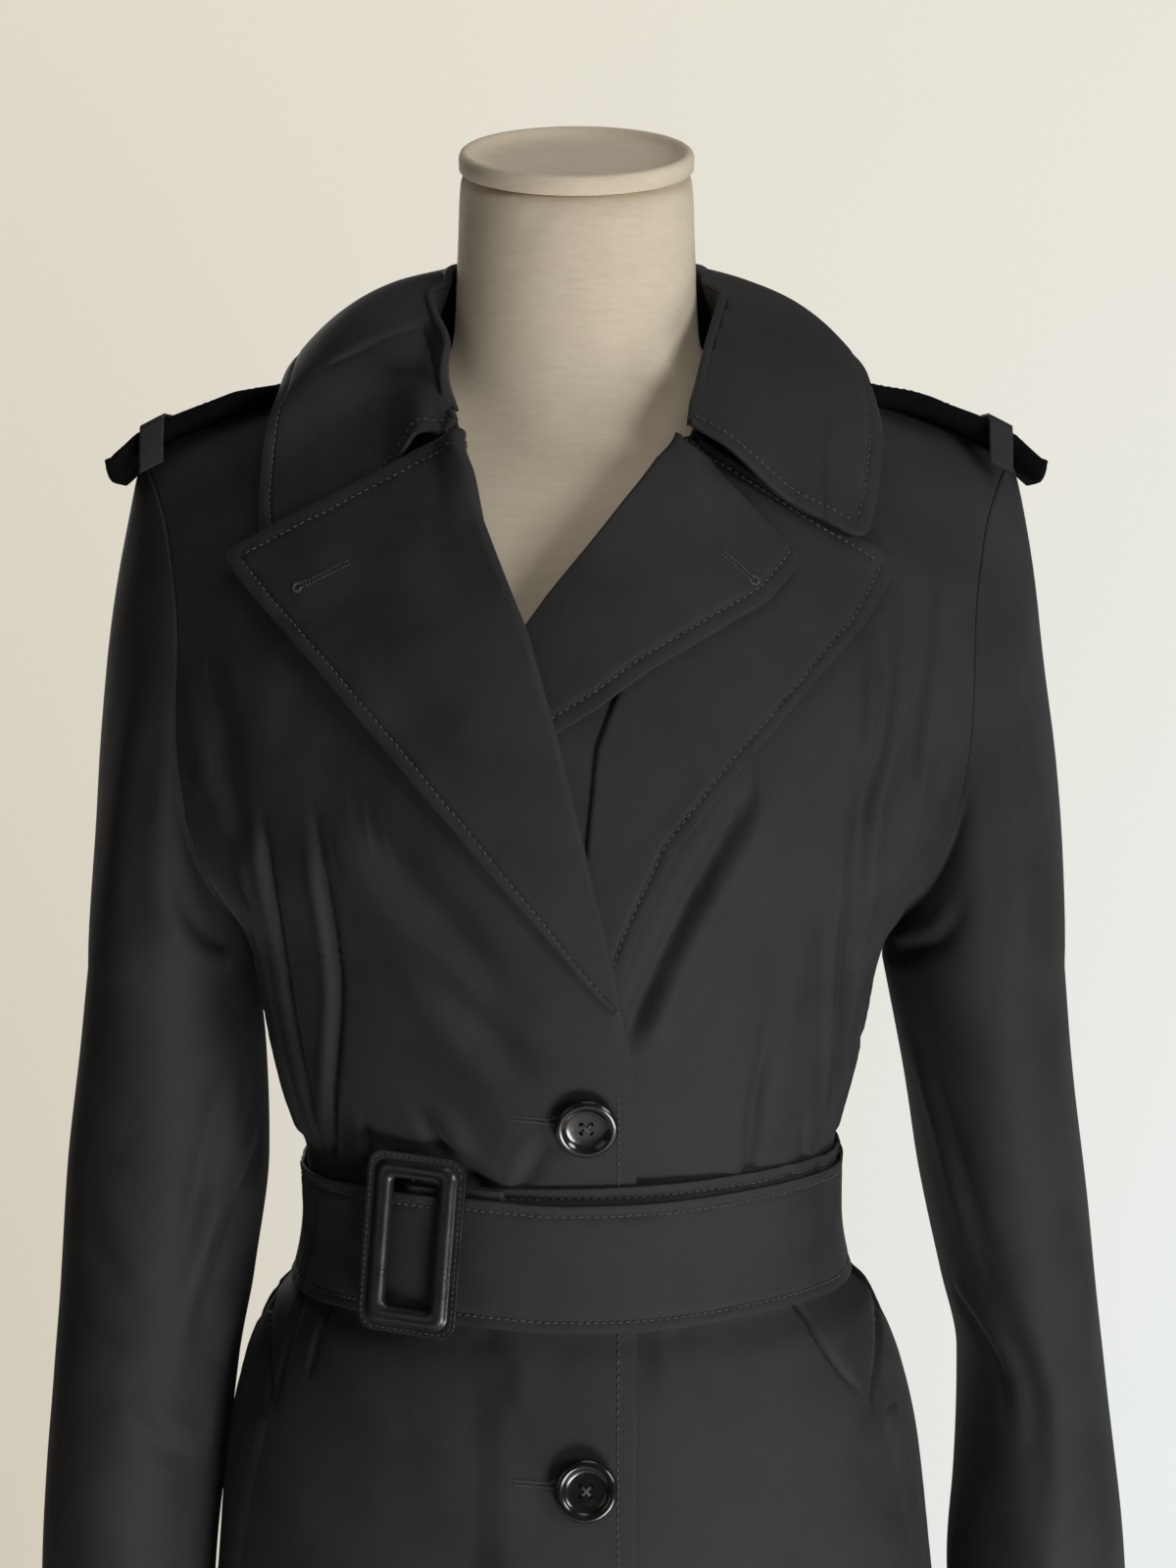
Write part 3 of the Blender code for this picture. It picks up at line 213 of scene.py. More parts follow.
THROAT_FLAP = (
    Turned(-0.0300, 1.3040, -0.0200, 1.2620, 0.0020, 0.0020),
    Turned(-0.0215, 1.3165, -0.0090, 1.2710, 0.0022, 0.0034),
    Turned(-0.0113, 1.3300, 0.0090, 1.2815, 0.0040, 0.0060),
    Turned(0.0070, 1.3525, 0.0300, 1.2970, 0.0062, 0.0074),
    Turned(0.0205, 1.3700, 0.0575, 1.3120, 0.0070, 0.0092),
    Turned(0.0342, 1.3870, 0.0820, 1.3255, 0.0080, 0.0098),
    Turned(0.0450, 1.3960, 0.0975, 1.3425, 0.0084, 0.0100),
)
POCKET_WELT = (
    Turned(0.1370, 0.9560, 0.1490, 0.9550, 0.0028, 0.0028),
    Turned(0.1440, 0.9250, 0.1565, 0.9245, 0.0028, 0.0028),
    Turned(0.1505, 0.8920, 0.1625, 0.8925, 0.0028, 0.0028),
    Turned(0.1560, 0.8450, 0.1670, 0.8470, 0.0028, 0.0028),
)

# Half of the neck, from the centre back (0) to a front end (1).
Neck = namedtuple("Neck", "around neck_x neck_y neck_z fold_x fold_y fold_z edge_x edge_y edge_z")
NECK_LEFT = (
    Neck(0.00, 0.0000, 0.0620, 1.4335, 0.0000, 0.0710, 1.4940, 0.0000, 0.0940, 1.4060),
    Neck(0.25, 0.0340, 0.0560, 1.4385, 0.0370, 0.0580, 1.4930, 0.0720, 0.0840, 1.4100),
    Neck(0.50, 0.0605, 0.0300, 1.4490, 0.0575, 0.0300, 1.4890, 0.1200, 0.0450, 1.4300),
    Neck(0.65, 0.0700, 0.0040, 1.4535, 0.0625, 0.0060, 1.4830, 0.1350, 0.0080, 1.4400),
    Neck(0.80, 0.0645, -0.0200, 1.4395, 0.0600, -0.0280, 1.4570, 0.1390, -0.0330, 1.4170),
    Neck(0.92, 0.0565, -0.0470, 1.4195, 0.0550, -0.0590, 1.4290, 0.1400, -0.0720, 1.3860),
    Neck(1.00, 0.0490, -0.0720, 1.4010, 0.0510, -0.0870, 1.4050, 0.1345, -0.0880, 1.3606),
)
NECK_RIGHT = NECK_LEFT[:5] + (
    Neck(0.92, 0.0565, -0.0470, 1.4195, 0.0560, -0.0590, 1.4270, 0.1430, -0.0600, 1.3720),
    Neck(1.00, 0.0490, -0.0720, 1.4010, 0.0540, -0.0720, 1.4010, 0.1390, -0.0560, 1.3380),
)
COLLAR_BULGE = 0.010      # how far the fall arches off the straight line to its edge

# Sleeves below the armpit, one row a horizontal ring; sizes are distances from x = 0.
Ring = namedtuple("Ring", "height outer inner front back")
SLEEVE_LEFT = (
    Ring(1.154, 0.2345, 0.1500, 0.066, 0.072),
    Ring(1.110, 0.2390, 0.1590, 0.066, 0.070),
    Ring(1.057, 0.2450, 0.1675, 0.064, 0.066),
    Ring(0.998, 0.2520, 0.1810, 0.064, 0.060),
    Ring(0.958, 0.2560, 0.1890, 0.066, 0.055),
    Ring(0.898, 0.2625, 0.1870, 0.070, 0.048),
    Ring(0.849, 0.2675, 0.1840, 0.072, 0.044),
    Ring(0.795, 0.2710, 0.1860, 0.074, 0.040),
)
SLEEVE_RIGHT = (
    Ring(1.154, 0.2345, 0.1580, 0.066, 0.072),
    Ring(1.110, 0.2395, 0.1535, 0.066, 0.070),
    Ring(1.057, 0.2450, 0.1515, 0.066, 0.066),
    Ring(0.998, 0.2500, 0.1590, 0.070, 0.058),
    Ring(0.958, 0.2530, 0.1670, 0.074, 0.050),
    Ring(0.898, 0.2565, 0.1740, 0.078, 0.044),
    Ring(0.849, 0.2575, 0.1785, 0.080, 0.042),
    Ring(0.795, 0.2590, 0.1840, 0.080, 0.040),
)
SLEEVE_LEAD = 0.0012      # between the armhole edge and the sleeve's own edge
SLEEVE_LEAD_UNDERARM = 0.0012     # as much again at the underarm

# The belt strip, from the end sewn round the bar to the tip: degrees from the centre
# front round by the wearer's left, lift off the coat and height of the strip's middle.
Wrap = namedtuple("Wrap", "turn lift height")
BELT_START = (
    Wrap(-10.0, 0.0046, 1.0410),
    Wrap(-16.0, 0.0047, 1.0410),
    Wrap(-22.0, 0.0070, 1.0410),
    Wrap(-28.4, 0.0082, 1.0410),
)
BELT_WRAP = (
    Wrap(-28.4, 0.0021, 1.0410),
    Wrap(-10.0, 0.0024, 1.0415),
    Wrap(0.0, 0.0026, 1.0420),
    Wrap(45.0, 0.0026, 1.0440),
    Wrap(90.0, 0.0026, 1.0400),
    Wrap(180.0, 0.0026, 1.0360),
    Wrap(230.0, 0.0030, 1.0330),
    Wrap(270.0, 0.0032, 1.0318),
    Wrap(300.0, 0.0044, 1.0340),
    Wrap(320.0, 0.0092, 1.0375),
    Wrap(331.0, 0.0102, 1.0375),
    Wrap(346.0, 0.0070, 1.0370),
    Wrap(360.0, 0.0066, 1.0350),
    Wrap(405.0, 0.0050, 1.0370),
    Wrap(450.0, 0.0050, 1.0340),
    Wrap(468.0, 0.0050, 1.0350),
)
BAR_TURN = 1.6            # degrees that the strip reaches past the bar

# The dress form, one row a section; slope tips a ring back as it nears the neck's top.
FormRing = namedtuple("FormRing", "height half_width front back squareness slope")
FORM = (
    FormRing(0.8000, 0.1400, 0.092, 0.092, 2.2, 0.0),
    FormRing(0.8060, 0.1560, 0.105, 0.105, 2.2, 0.0),
    FormRing(0.8600, 0.1630, 0.113, 0.110, 2.2, 0.0),
    FormRing(0.9200, 0.1580, 0.112, 0.103, 2.2, 0.0),
    FormRing(0.9700, 0.1430, 0.106, 0.092, 2.2, 0.0),
    FormRing(1.0060, 0.1230, 0.101, 0.078, 2.2, 0.0),
    FormRing(1.0370, 0.1180, 0.099, 0.073, 2.2, 0.0),
    FormRing(1.0680, 0.1190, 0.100, 0.074, 2.2, 0.0),
    FormRing(1.1150, 0.1300, 0.112, 0.083, 2.2, 0.0),
    FormRing(1.1720, 0.1420, 0.119, 0.092, 2.2, 0.0),
    FormRing(1.2500, 0.1540, 0.119, 0.095, 2.2, 0.0),
    FormRing(1.3000, 0.1600, 0.109, 0.091, 2.2, 0.0),
    FormRing(1.3400, 0.1650, 0.093, 0.079, 2.0, 0.0),
    FormRing(1.3700, 0.1720, 0.079, 0.070, 1.7, 0.0),
    FormRing(1.3930, 0.1700, 0.064, 0.060, 1.3, 0.0),
    FormRing(1.4120, 0.1430, 0.056, 0.056, 1.15, 0.0),
    FormRing(1.4280, 0.1130, 0.048, 0.050, 1.05, 0.0),
    FormRing(1.4370, 0.0930, 0.042, 0.044, 1.0, 0.0),
)
FORM_NECK = (
    FormRing(1.3700, 0.0600, 0.072, 0.060, 2.0, 0.01),
    FormRing(1.4000, 0.0610, 0.064, 0.060, 2.0, 0.01),
    FormRing(1.4250, 0.0600, 0.055, 0.057, 2.0, 0.02),
    FormRing(1.4450, 0.0590, 0.051, 0.056, 2.0, 0.03),
    FormRing(1.4640, 0.0580, 0.049, 0.057, 2.0, 0.06),
    FormRing(1.4900, 0.0570, 0.047, 0.060, 2.0, 0.16),
    FormRing(1.5140, 0.0562, 0.045, 0.065, 2.0, 0.30),
    FormRing(1.5330, 0.0560, 0.043, 0.068, 2.0, 0.42),
)

# ---------------------------------------------------------------- curves through tables
@functools.lru_cache(maxsize=None)
def through(rows, column):
    """A smooth curve through one column of a table, as a function of its first column."""
    keys = np.array([row[0] for row in rows])
    values = np.array([getattr(row, column) for row in rows])
    grades = np.diff(values) / np.diff(keys)
    slopes = np.concatenate((grades[:1], grades[:-1], grades[-1:]))
    turning = grades[:-1] * grades[1:] <= 0
    total = np.where(turning, 1.0, grades[:-1] + grades[1:])
    slopes[1:-1] = np.where(turning, 0.0, 2 * grades[:-1] * grades[1:] / total)

    def at(key):
        key = np.clip(key, keys[0], keys[-1])
        i = np.clip(np.searchsorted(keys, key) - 1, 0, len(keys) - 2)
        step = keys[i + 1] - keys[i]
        t = (key - keys[i]) / step
        start = (1 + 2 * t) * (1 - t) ** 2 * values[i] + t * (1 - t) ** 2 * step * slopes[i]
        end = t * t * (3 - 2 * t) * values[i + 1] - t * t * (1 - t) * step * slopes[i + 1]
        return start + end

    return at


def smooth_step(low, high, value):
    """0 up to low and 1 from high, or the reverse where low is the higher."""
    t = np.clip((value - low) / (high - low), 0.0, 1.0)
    return t * t * (3 - 2 * t)


def mixed(low, high, share):
    return low + (high - low) * share


def signed_power(value, power):
    return np.copysign(np.abs(value) ** power, value)


def unit(vectors):
    length = np.linalg.norm(vectors, axis=-1, keepdims=True)
    return vectors / np.maximum(length, 1e-12)


def points_of(x, y, z):
    return np.stack(np.broadcast_arrays(x, y, z), axis=-1).astype(float)


ROUTE_STEPS = 24          # fine steps from one place of a route to the next


def smooth_route(places, count):
    """Evenly spaced points on a smooth line through a few places."""
    places = np.array(places, float)
    if len(places) == 2:
        return mixed(places[0], places[1], np.linspace(0, 1, count)[:, None])
    padded = np.vstack((2 * places[0] - places[1], places, 2 * places[-1] - places[-2]))
    fine = []
    for k in range(len(places) - 1):
        a, b, c, d = padded[k:k + 4]
        t = np.linspace(0, 1, ROUTE_STEPS, endpoint=k == len(places) - 2)[:, None]
        fine.append(0.5 * (2 * b + (c - a) * t + (2 * a - 5 * b + 4 * c - d) * t ** 2
                           + (3 * b - a - 3 * c + d) * t ** 3))
    return evenly(np.vstack(fine), count)


def evenly(line, count):
    """The same line through evenly spaced points."""
    along = np.concatenate(([0.0], np.cumsum(np.linalg.norm(np.diff(line, axis=0), axis=1))))
    wanted = np.linspace(0, along[-1], count)
    return np.stack([np.interp(wanted, along, part) for part in line.T], axis=-1)


# ---------------------------------------------------------------- the torso's surface
FALL_LATENESS = 1.8       # how late a panel leaves its full depth on its way up
FALL_ROUNDNESS = 0.6      # how round it then turns into its top edge
NORMAL_STEP = 0.0015      # between the places that a normal is worked out from


def fall(level):
    """How much of its depth a panel keeps as it rises from the armpits to its top."""
    return (1 - np.clip(level, 0, 1) ** FALL_LATENESS) ** FALL_ROUNDNESS


def bowed(share):
    """The depth of a rounded section at a share of its half width."""
    return np.maximum(0.0, 1 - np.abs(share) ** SQUARENESS) ** (1 / SQUARENESS)


def seam_depth(tops, across, level):
    """The depth that a panel runs up to: its top edge's own depth near that edge, and a
    broad curve from the middle to the shoulder lower down."""
    edge = through(tops, "depth")(np.abs(across))
    outer = smooth_step(0.0, NECK_SPREAD, np.abs(across))
    broad = mixed(tops[0].depth, SHOULDER[0].depth, outer)
    return mixed(broad, edge, level ** NECK_NEARNESS)


def eased_level(tops, across, height, level):
    """The level that a panel's depth follows: its own near its top edge, and lower down
    one that changes evenly across, without the neckline's steps."""
    shoulder = through(tops, "height")(np.maximum(np.abs(across), NECK_SPREAD))
    top = mixed(NECK_TOP, shoulder, smooth_step(0.0, NECK_SPREAD, np.abs(across)))
    broad = np.clip((height - ARMPIT) / (top - ARMPIT), 0.0, 1.0)
    return mixed(broad, level, level ** NECK_NEARNESS)


def torso_depth(across, height, back=False):
    """The y of the front or back of the torso at a place seen from the front."""
    face, sign, tops = ("back", 1, BACK_TOP) if back else ("front", -1, FRONT_TOP)
    low = np.minimum(height, ARMPIT)
    centre = through(BODY, "centre")(low)
    share = (across - centre) / through(BODY, "half_width")(low)
    below = sign * through(BODY, face)(low) * bowed(share)
    top = through(tops, "height")(np.abs(across))
    level = np.clip((height - ARMPIT) / (top - ARMPIT), 0, 1)
    depth = seam_depth(tops, across, level)
    share = (across - through(YOKE, "centre")(level)) / through(YOKE, "half_width")(level)
    full = sign * through(YOKE, face)(level) * bowed(share)
    above = depth + (full - depth) * fall(eased_level(tops, across, height, level))
    return np.where(height <= ARMPIT, below, above)


def outward(across, height, back=False):
    """The unit normal of the torso's surface, pointing away from the body."""
    step = NORMAL_STEP
    side = torso_depth(across + step, height, back) - torso_depth(across - step, height, back)
    rise = torso_depth(across, height + step, back) - torso_depth(across, height - step, back)
    sign = 1 if back else -1
    return unit(points_of(-sign * side / (2 * step), sign, -sign * rise / (2 * step)))


def on_torso(across, height, lift=0.0, back=False):
    place = points_of(across, torso_depth(across, height, back), height)
    return place + outward(across, height, back) * np.asarray(lift)[..., None]


def waist_point(turn, height, lift=0.0):
    """Points round the waist: turn in radians from the centre front by the left."""
    centre = through(BODY, "centre")(height)
    width = through(BODY, "half_width")(height)
    front, back = through(BODY, "front")(height), through(BODY, "back")(height)
    depth = np.where(np.cos(turn) > 0, front, back)
    x = width * signed_power(np.sin(turn), 2 / SQUARENESS)
    y = -depth * signed_power(np.cos(turn), 2 / SQUARENESS)
    normal = unit(points_of(
        signed_power(x / width, SQUARENESS - 1) / width,
        signed_power(y / depth, SQUARENESS - 1) / depth, 0.0,
    ))
    return points_of(centre + x, y, height) + normal * np.asarray(lift)[..., None]


def right_front_lift(across, height):
    """The right front rises towards its edge, over the left front and what is on it. The
    rise is spread wide where the fronts open out above the belt."""
    edge = through(RIGHT_EDGE, "across")(height)
    above = smooth_step(*OPENING, height)
    full = edge - mixed(OVERLAP_FLAT, OPEN_FLAT, above)
    start = full - mixed(OVERLAP_RAMP, OPEN_RAMP, above)
    return through(OVERLAP, "lift")(height) * smooth_step(start, full, across)


# ---------------------------------------------------------------- folds in the cloth
# A fold runs along a route on the cloth. It is a trough of this depth and width (negative
# depths stand up as ridges), with a roll of cloth beside it on one side: right of the
# route as seen from outside if the shoulder is positive. It fades out over the shares of
# its length at its two ends.
Fold = namedtuple("Fold", "route depth width shoulder start end")
ROUTE_POINTS = 30
FOLD_REACH = (3.2, 0.004) # how far off a fold is felt: widths, and metres more
ROLL_AT = 1.9             # how many widths off its route the roll beside it stands
ROLL_SPREAD = 1.25        # how many widths wide that roll is
FOLD_TIPS = (0.8, 0.002)  # how soon a fold dies beyond its tips: widths, and metres more


class Creases:
    """Folds whose routes are lines in space, and how far they move the cloth."""

    def __init__(self):
        self.folds = []

    def add(self, fold, line, normals):
        tangent = unit(np.gradient(line, axis=0))
        across = unit(np.cross(normals, tangent))
        share = np.linspace(0, 1, len(line))
        fade = smooth_step(0, max(fold.start, 1e-3), share)
        fade = fade * (1 - smooth_step(1 - max(fold.end, 1e-3), 1, share))
        self.folds.append((fold, line, across, fade))

    def offset(self, points):
        """How far the cloth stands off at each of these places, in metres."""
        flat = points.reshape(-1, 3)
        total = np.zeros(len(flat))
        for fold, line, across, fade in self.folds:
            reach = FOLD_REACH[0] * fold.width + FOLD_REACH[1]
            low, high = line.min(0) - reach, line.max(0) + reach
            near = np.flatnonzero(np.all((flat > low) & (flat < high), axis=1))
            if not len(near):
                continue
            gap = flat[near][:, None, :] - line[None]
            distance = np.einsum("ijk,ijk->ij", gap, gap)
            k = distance.argmin(1)
            rows = np.arange(len(near))
            side = np.einsum("ij,ij->i", gap[rows, k], across[k])
            beyond = np.sqrt(np.maximum(distance[rows, k] - side ** 2, 0))
            amount = -fold.depth * np.exp(-(side / fold.width) ** 2)
            place = side * math.copysign(1.0, fold.shoulder) - ROLL_AT * fold.width
            amount += abs(fold.shoulder) * np.exp(-(place / (ROLL_SPREAD * fold.width)) ** 2)
            tip = FOLD_TIPS[0] * fold.width + FOLD_TIPS[1]
            amount *= fade[k] * np.exp(-(beyond / tip) ** 2)
            total[near] += amount
        return total.reshape(points.shape[:-1])


def unevenness(points, size, seed):
    """Smooth unevenness between -1 and 1 over patches of this size."""
    flat = points.reshape(-1, 3) / size + seed
    values = [noise.noise(Vector(place)) for place in flat]
    return np.array(values).reshape(points.shape[:-1])


# ---------------------------------------------------------------- meshes from grids
def grid_normals(grid, closed=False, middle=(0.0, 0.0)):
    """Unit normals of a grid, pointing away from a vertical line at the middle."""
    if closed:
        along = np.roll(grid, -1, axis=1) - np.roll(grid, 1, axis=1)
    else:
        along = np.gradient(grid, axis=1)
    normals = unit(np.cross(along, np.gradient(grid, axis=0)))
    away = grid[..., :2] - np.array(middle)
    if np.sum(normals[..., :2] * away) < 0:
        normals = -normals
    return normals


def mesh_object(name, points, faces, materials):
    """A smooth-shaded mesh in the scene."""
    data = bpy.data.meshes.new(name)
    data.from_pydata([tuple(place) for place in points], [], faces)
    data.validate()
    data.shade_smooth()
    for finish in materials:
        data.materials.append(finish)
    obj = bpy.data.objects.new(name, data)
    bpy.context.scene.collection.objects.link(obj)
    return obj


def grid_faces(rows, columns, closed=False, first=0):
    """The quads of a grid whose points start at index first, closed round if asked."""
    last = columns if closed else columns - 1
    low = np.arange(rows - 1)[:, None] * columns + np.arange(last)[None]
    after = np.arange(rows - 1)[:, None] * columns + (np.arange(last)[None] + 1) % columns
    quads = np.stack((low, after, after + columns, low + columns), axis=-1)
    return (quads.reshape(-1, 4) + first).tolist()


def arc_lengths(grid):
    """For each point, how far along its row and up its column it lies, in metres."""
    across = np.linalg.norm(np.diff(grid, axis=1), axis=-1)
    across = np.concatenate((np.zeros((len(grid), 1)), np.cumsum(across, axis=1)), axis=1)
    up = np.linalg.norm(np.diff(grid, axis=0), axis=-1).mean(1)
    up = np.concatenate(([0.0], np.cumsum(up)))
    return points_of(across, np.broadcast_to(up[:, None], across.shape), 0.0)


def sheet_object(name, grid, finish, thickness=CLOTH, closed=False):
    """A sheet of cloth through a grid, with the run of its grain kept for the weave."""
    rows, columns = grid.shape[:2]
    obj = mesh_object(name, grid.reshape(-1, 3), grid_faces(rows, columns, closed), [finish])
    grain = obj.data.attributes.new("grain", "FLOAT_VECTOR", "POINT")
    grain.data.foreach_set("vector", arc_lengths(grid).ravel())
    shell = obj.modifiers.new("wall", "SOLIDIFY")
    shell.thickness = thickness
    shell.offset = 0.0
    return obj


def ready(obj, nodes=()):
    """The piece rides on the one body and stands for its CAD nodes, which are hidden."""
    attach(obj, "root")
    if nodes:
        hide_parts(*nodes)
    return obj


# ---------------------------------------------------------------- stitches
STITCH_LENGTH = 0.0025
STITCH_GAP = 0.0011
STITCH_RADIUS = 0.00040
STITCH_SIDES = 4
# Rings along a stitch: share of its length, size in radii, and rise off the cloth in radii.
STITCH_RINGS = ((0.0, 0.5, -0.5), (0.22, 1.0, 0.6), (0.78, 1.0, 0.6), (1.0, 0.5, -0.5))
SLIT_ENDS = (0.0003, 0.0016)    # how far from a buttonhole's slit its stitches start and end
SLIT_THREAD = 0.00034     # radius of their thread
EYE_AT = 0.0016           # from the slit's end to the middle of its eye
EYE_ENDS = (0.0011, 0.0027)     # how far from that middle the eye's stitches start and end
EYE_THREAD = 0.00036
EYE_STITCHES = 18
EYE_START = -150          # degrees from the slit's direction to the eye's first stitch
EYE_SWEEP = 300           # degrees from its first stitch to its last


class Stitching:
    """Rows of separate stitches, gathered into one piece."""

    def __init__(self, name):
        self.name = name
        self.points = []
        self.faces = []

    def stitch(self, start, end, normal, radius=STITCH_RADIUS):
        """One thread from start to end, sunk a little into the cloth at its ends."""
        along = end - start
        side = unit(np.cross(normal, along))
        first = len(self.points)
        for share, size, rise in STITCH_RINGS:
            centre = start + along * share + normal * radius * rise
            for k in range(STITCH_SIDES):
                angle = 2 * math.pi * k / STITCH_SIDES
                around = side * math.cos(angle) + normal * math.sin(angle)
                self.points.append(centre + around * radius * size)
        last = len(self.points) - STITCH_SIDES
        self.faces.extend(grid_faces(len(STITCH_RINGS), STITCH_SIDES, True, first))
        self.faces.append(tuple(range(first, first + STITCH_SIDES))[::-1])
        self.faces.append(tuple(range(last, last + STITCH_SIDES)))

    def row(self, line, normals, length=STITCH_LENGTH, gap=STITCH_GAP, radius=STITCH_RADIUS):
        """Stitches end to end along a line on the cloth."""
        steps = np.linalg.norm(np.diff(line, axis=0), axis=1)
        along = np.concatenate(([0.0], np.cumsum(steps)))

        def at(values, place):
            return np.array([np.interp(place, along, part) for part in values.T])

        for k in range(int(along[-1] / (length + gap))):
            first = k * (length + gap)
            start, end = at(line, first), at(line, first + length)
            self.stitch(start, end, unit(at(normals, first)), radius)

    def buttonhole(self, line, normals):
        """A keyhole buttonhole: short stitches across a slit, fanned round its eye."""
        tangent = unit(np.gradient(line, axis=0))
        across = unit(np.cross(normals, tangent))
        for k, place in enumerate(line):
            for side in (-1, 1):
                start, end = (place + across[k] * side * gap for gap in SLIT_ENDS)
                self.stitch(start, end, normals[k], SLIT_THREAD)
        centre = line[-1] + tangent[-1] * EYE_AT
        for k in range(EYE_STITCHES):
            angle = math.radians(EYE_START + EYE_SWEEP * k / (EYE_STITCHES - 1))
            around = tangent[-1] * math.cos(angle) + across[-1] * math.sin(angle)
            start, end = (centre + around * gap for gap in EYE_ENDS)
            self.stitch(start, end, normals[-1], EYE_THREAD)

    def make(self):
        obj = mesh_object(self.name, self.points, self.faces, [thread()])
        return ready(obj)


# ---------------------------------------------------------------- finishes
TWILL_STEP = 0.00062      # from one diagonal rib of the twill to the next
TWILL_TURN = math.radians(58)
LINEN_STEP = 0.00075      # between the linen's threads
THREAD_STEP = 0.0004      # between the twists of the sewing thread


class Nodes:
    """Short calls that add and link the nodes of a finish or of the world."""

    def __init__(self, owner):
        self.tree = owner.node_tree

    def add(self, kind, links=None, **values):
        node = self.tree.nodes.new(kind)
        for name, value in values.items():
            setattr(node, name, value)
        for socket, source in (links or {}).items():
            if isinstance(source, bpy.types.NodeSocket):
                self.tree.links.new(source, node.inputs[socket])
            else:
                node.inputs[socket].default_value = source
        return node

    def link(self, source, goal):
        self.tree.links.new(source, goal)

    def place(self):
        """Where a point is on the object, in metres."""
        return self.add("ShaderNodeTexCoord").outputs["Object"]

    def scaled(self, place, scale):
        return self.add("ShaderNodeMapping", {"Vector": place, "Scale": scale}).outputs[0]

    def math(self, operation, first, second):
        return self.add("ShaderNodeMath", {0: first, 1: second}, operation=operation).outputs[0]

    def ramp(self, source, low, high, low_at=0.0, high_at=1.0):
        """A number from low to high as the source goes from low_at to high_at."""
        node = self.add("ShaderNodeMapRange", {
            "Value": source, "From Min": low_at, "From Max": high_at, "To Min": low, "To Max": high})
        return node.outputs[0]

    def mix(self, share, low, high):
        """A colour between two, each of them a colour or another node's output."""
        ends = [part if isinstance(part, bpy.types.NodeSocket) else (*part, 1.0) for part in (low, high)]
        return self.add("ShaderNodeMix", {0: share, 6: ends[0], 7: ends[1]}, data_type="RGBA").outputs[2]

    def noise(self, place, scale, detail=3.0, roughness=0.55):
        node = self.add("ShaderNodeTexNoise", {
            "Vector": place, "Scale": scale, "Detail": detail, "Roughness": roughness})
        return node.outputs["Fac"]

    def wave(self, place, step, direction, bending=0.0, detail=2.0, detail_scale=1.0):
        """Bands this far apart, bent by some noise."""
        node = self.add("ShaderNodeTexWave", {
            "Vector": place, "Scale": 2 * math.pi / (20 * step), "Distortion": bending,
            "Detail": detail, "Detail Scale": detail_scale}, bands_direction=direction)
        return node.outputs["Fac"]

    def bump(self, height, strength, distance, under=None):
        links = {"Height": height, "Strength": strength, "Distance": distance}
        if under is not None:
            links["Normal"] = under
        return self.add("ShaderNodeBump", links).outputs[0]


def new_finish(name, colour, roughness, numbers=()):
    """A finish with these plain values, its shader's inputs, and calls for its nodes."""
    finish = bpy.data.materials.new(name)
    finish.use_nodes = True
    inputs = finish.node_tree.nodes["Principled BSDF"].inputs
    inputs["Base Color"].default_value = (*colour, 1.0)
    inputs["Roughness"].default_value = roughness
    for socket, value in numbers:
        inputs[socket].default_value = value
    return finish, inputs, Nodes(finish)


@functools.lru_cache(maxsize=None)
def coat_cloth():
    """Fine black cotton twill: diagonal ribs, a faint sheen, and slight unevenness."""
    finish, inputs, nodes = new_finish("coat_twill", (0.0165, 0.0158, 0.0166), 0.62, (
        ("Specular IOR Level", 0.30), ("Sheen Weight", 0.07), ("Sheen Roughness", 0.42),
        ("Sheen Tint", (0.80, 0.80, 0.86, 1.0))))
    grain = nodes.add("ShaderNodeAttribute", attribute_name="grain").outputs["Vector"]
    turned = nodes.add("ShaderNodeMapping", {"Vector": grain, "Rotation": (0.0, 0.0, TWILL_TURN)})
    ribs = nodes.wave(turned.outputs[0], TWILL_STEP, "X", 1.2, 1.0, 3.0)
    place = nodes.place()
    cloudy = nodes.noise(place, 28.0, 4.0)
    slubs = nodes.noise(grain, 900.0, 2.0)
    light = nodes.math("ADD", nodes.ramp(ribs, 0.0, 0.35), nodes.ramp(cloudy, 0.0, 0.75, 0.35, 0.65))
    colour = nodes.mix(light, (0.0125, 0.0117, 0.0120), (0.0250, 0.0235, 0.0240))
    nodes.link(colour, inputs["Base Color"])
    rough = nodes.math("ADD", nodes.ramp(cloudy, 0.66, 0.80, 0.3, 0.7), nodes.ramp(slubs, -0.03, 0.03))
    nodes.link(rough, inputs["Roughness"])
    fine = nodes.bump(ribs, 0.32, 0.00012)
    soft = nodes.bump(nodes.noise(place, 160.0, 3.0), 0.35, 0.0008, fine)
    nodes.link(soft, inputs["Normal"])
    return finish


@functools.lru_cache(maxsize=None)
def painted_shade_cloth():
    """Painted shade: near-black cloth standing in for the deep shade under the shoulder straps."""
    finish, inputs, nodes = new_finish("strap_painted_shade_cloth", (0.0035, 0.0034, 0.0036), 0.85,
                                       (("Specular IOR Level", 0.06),))
    grain = nodes.noise(nodes.place(), 300.0, 3.0)
    nodes.link(nodes.mix(grain, (0.0025, 0.0024, 0.0026), (0.0050, 0.0048, 0.0050)), inputs["Base Color"])
    return finish


@functools.lru_cache(maxsize=None)
def thread():
    """Twisted dark grey sewing thread, a little lighter than the cloth."""
    finish, inputs, nodes = new_finish("sewing_thread", (0.10, 0.096, 0.093), 0.50)
    twist = nodes.wave(nodes.place(), THREAD_STEP, "DIAGONAL")
    nodes.link(nodes.mix(twist, (0.045, 0.043, 0.042), (0.080, 0.077, 0.075)), inputs["Base Color"])
    return finish


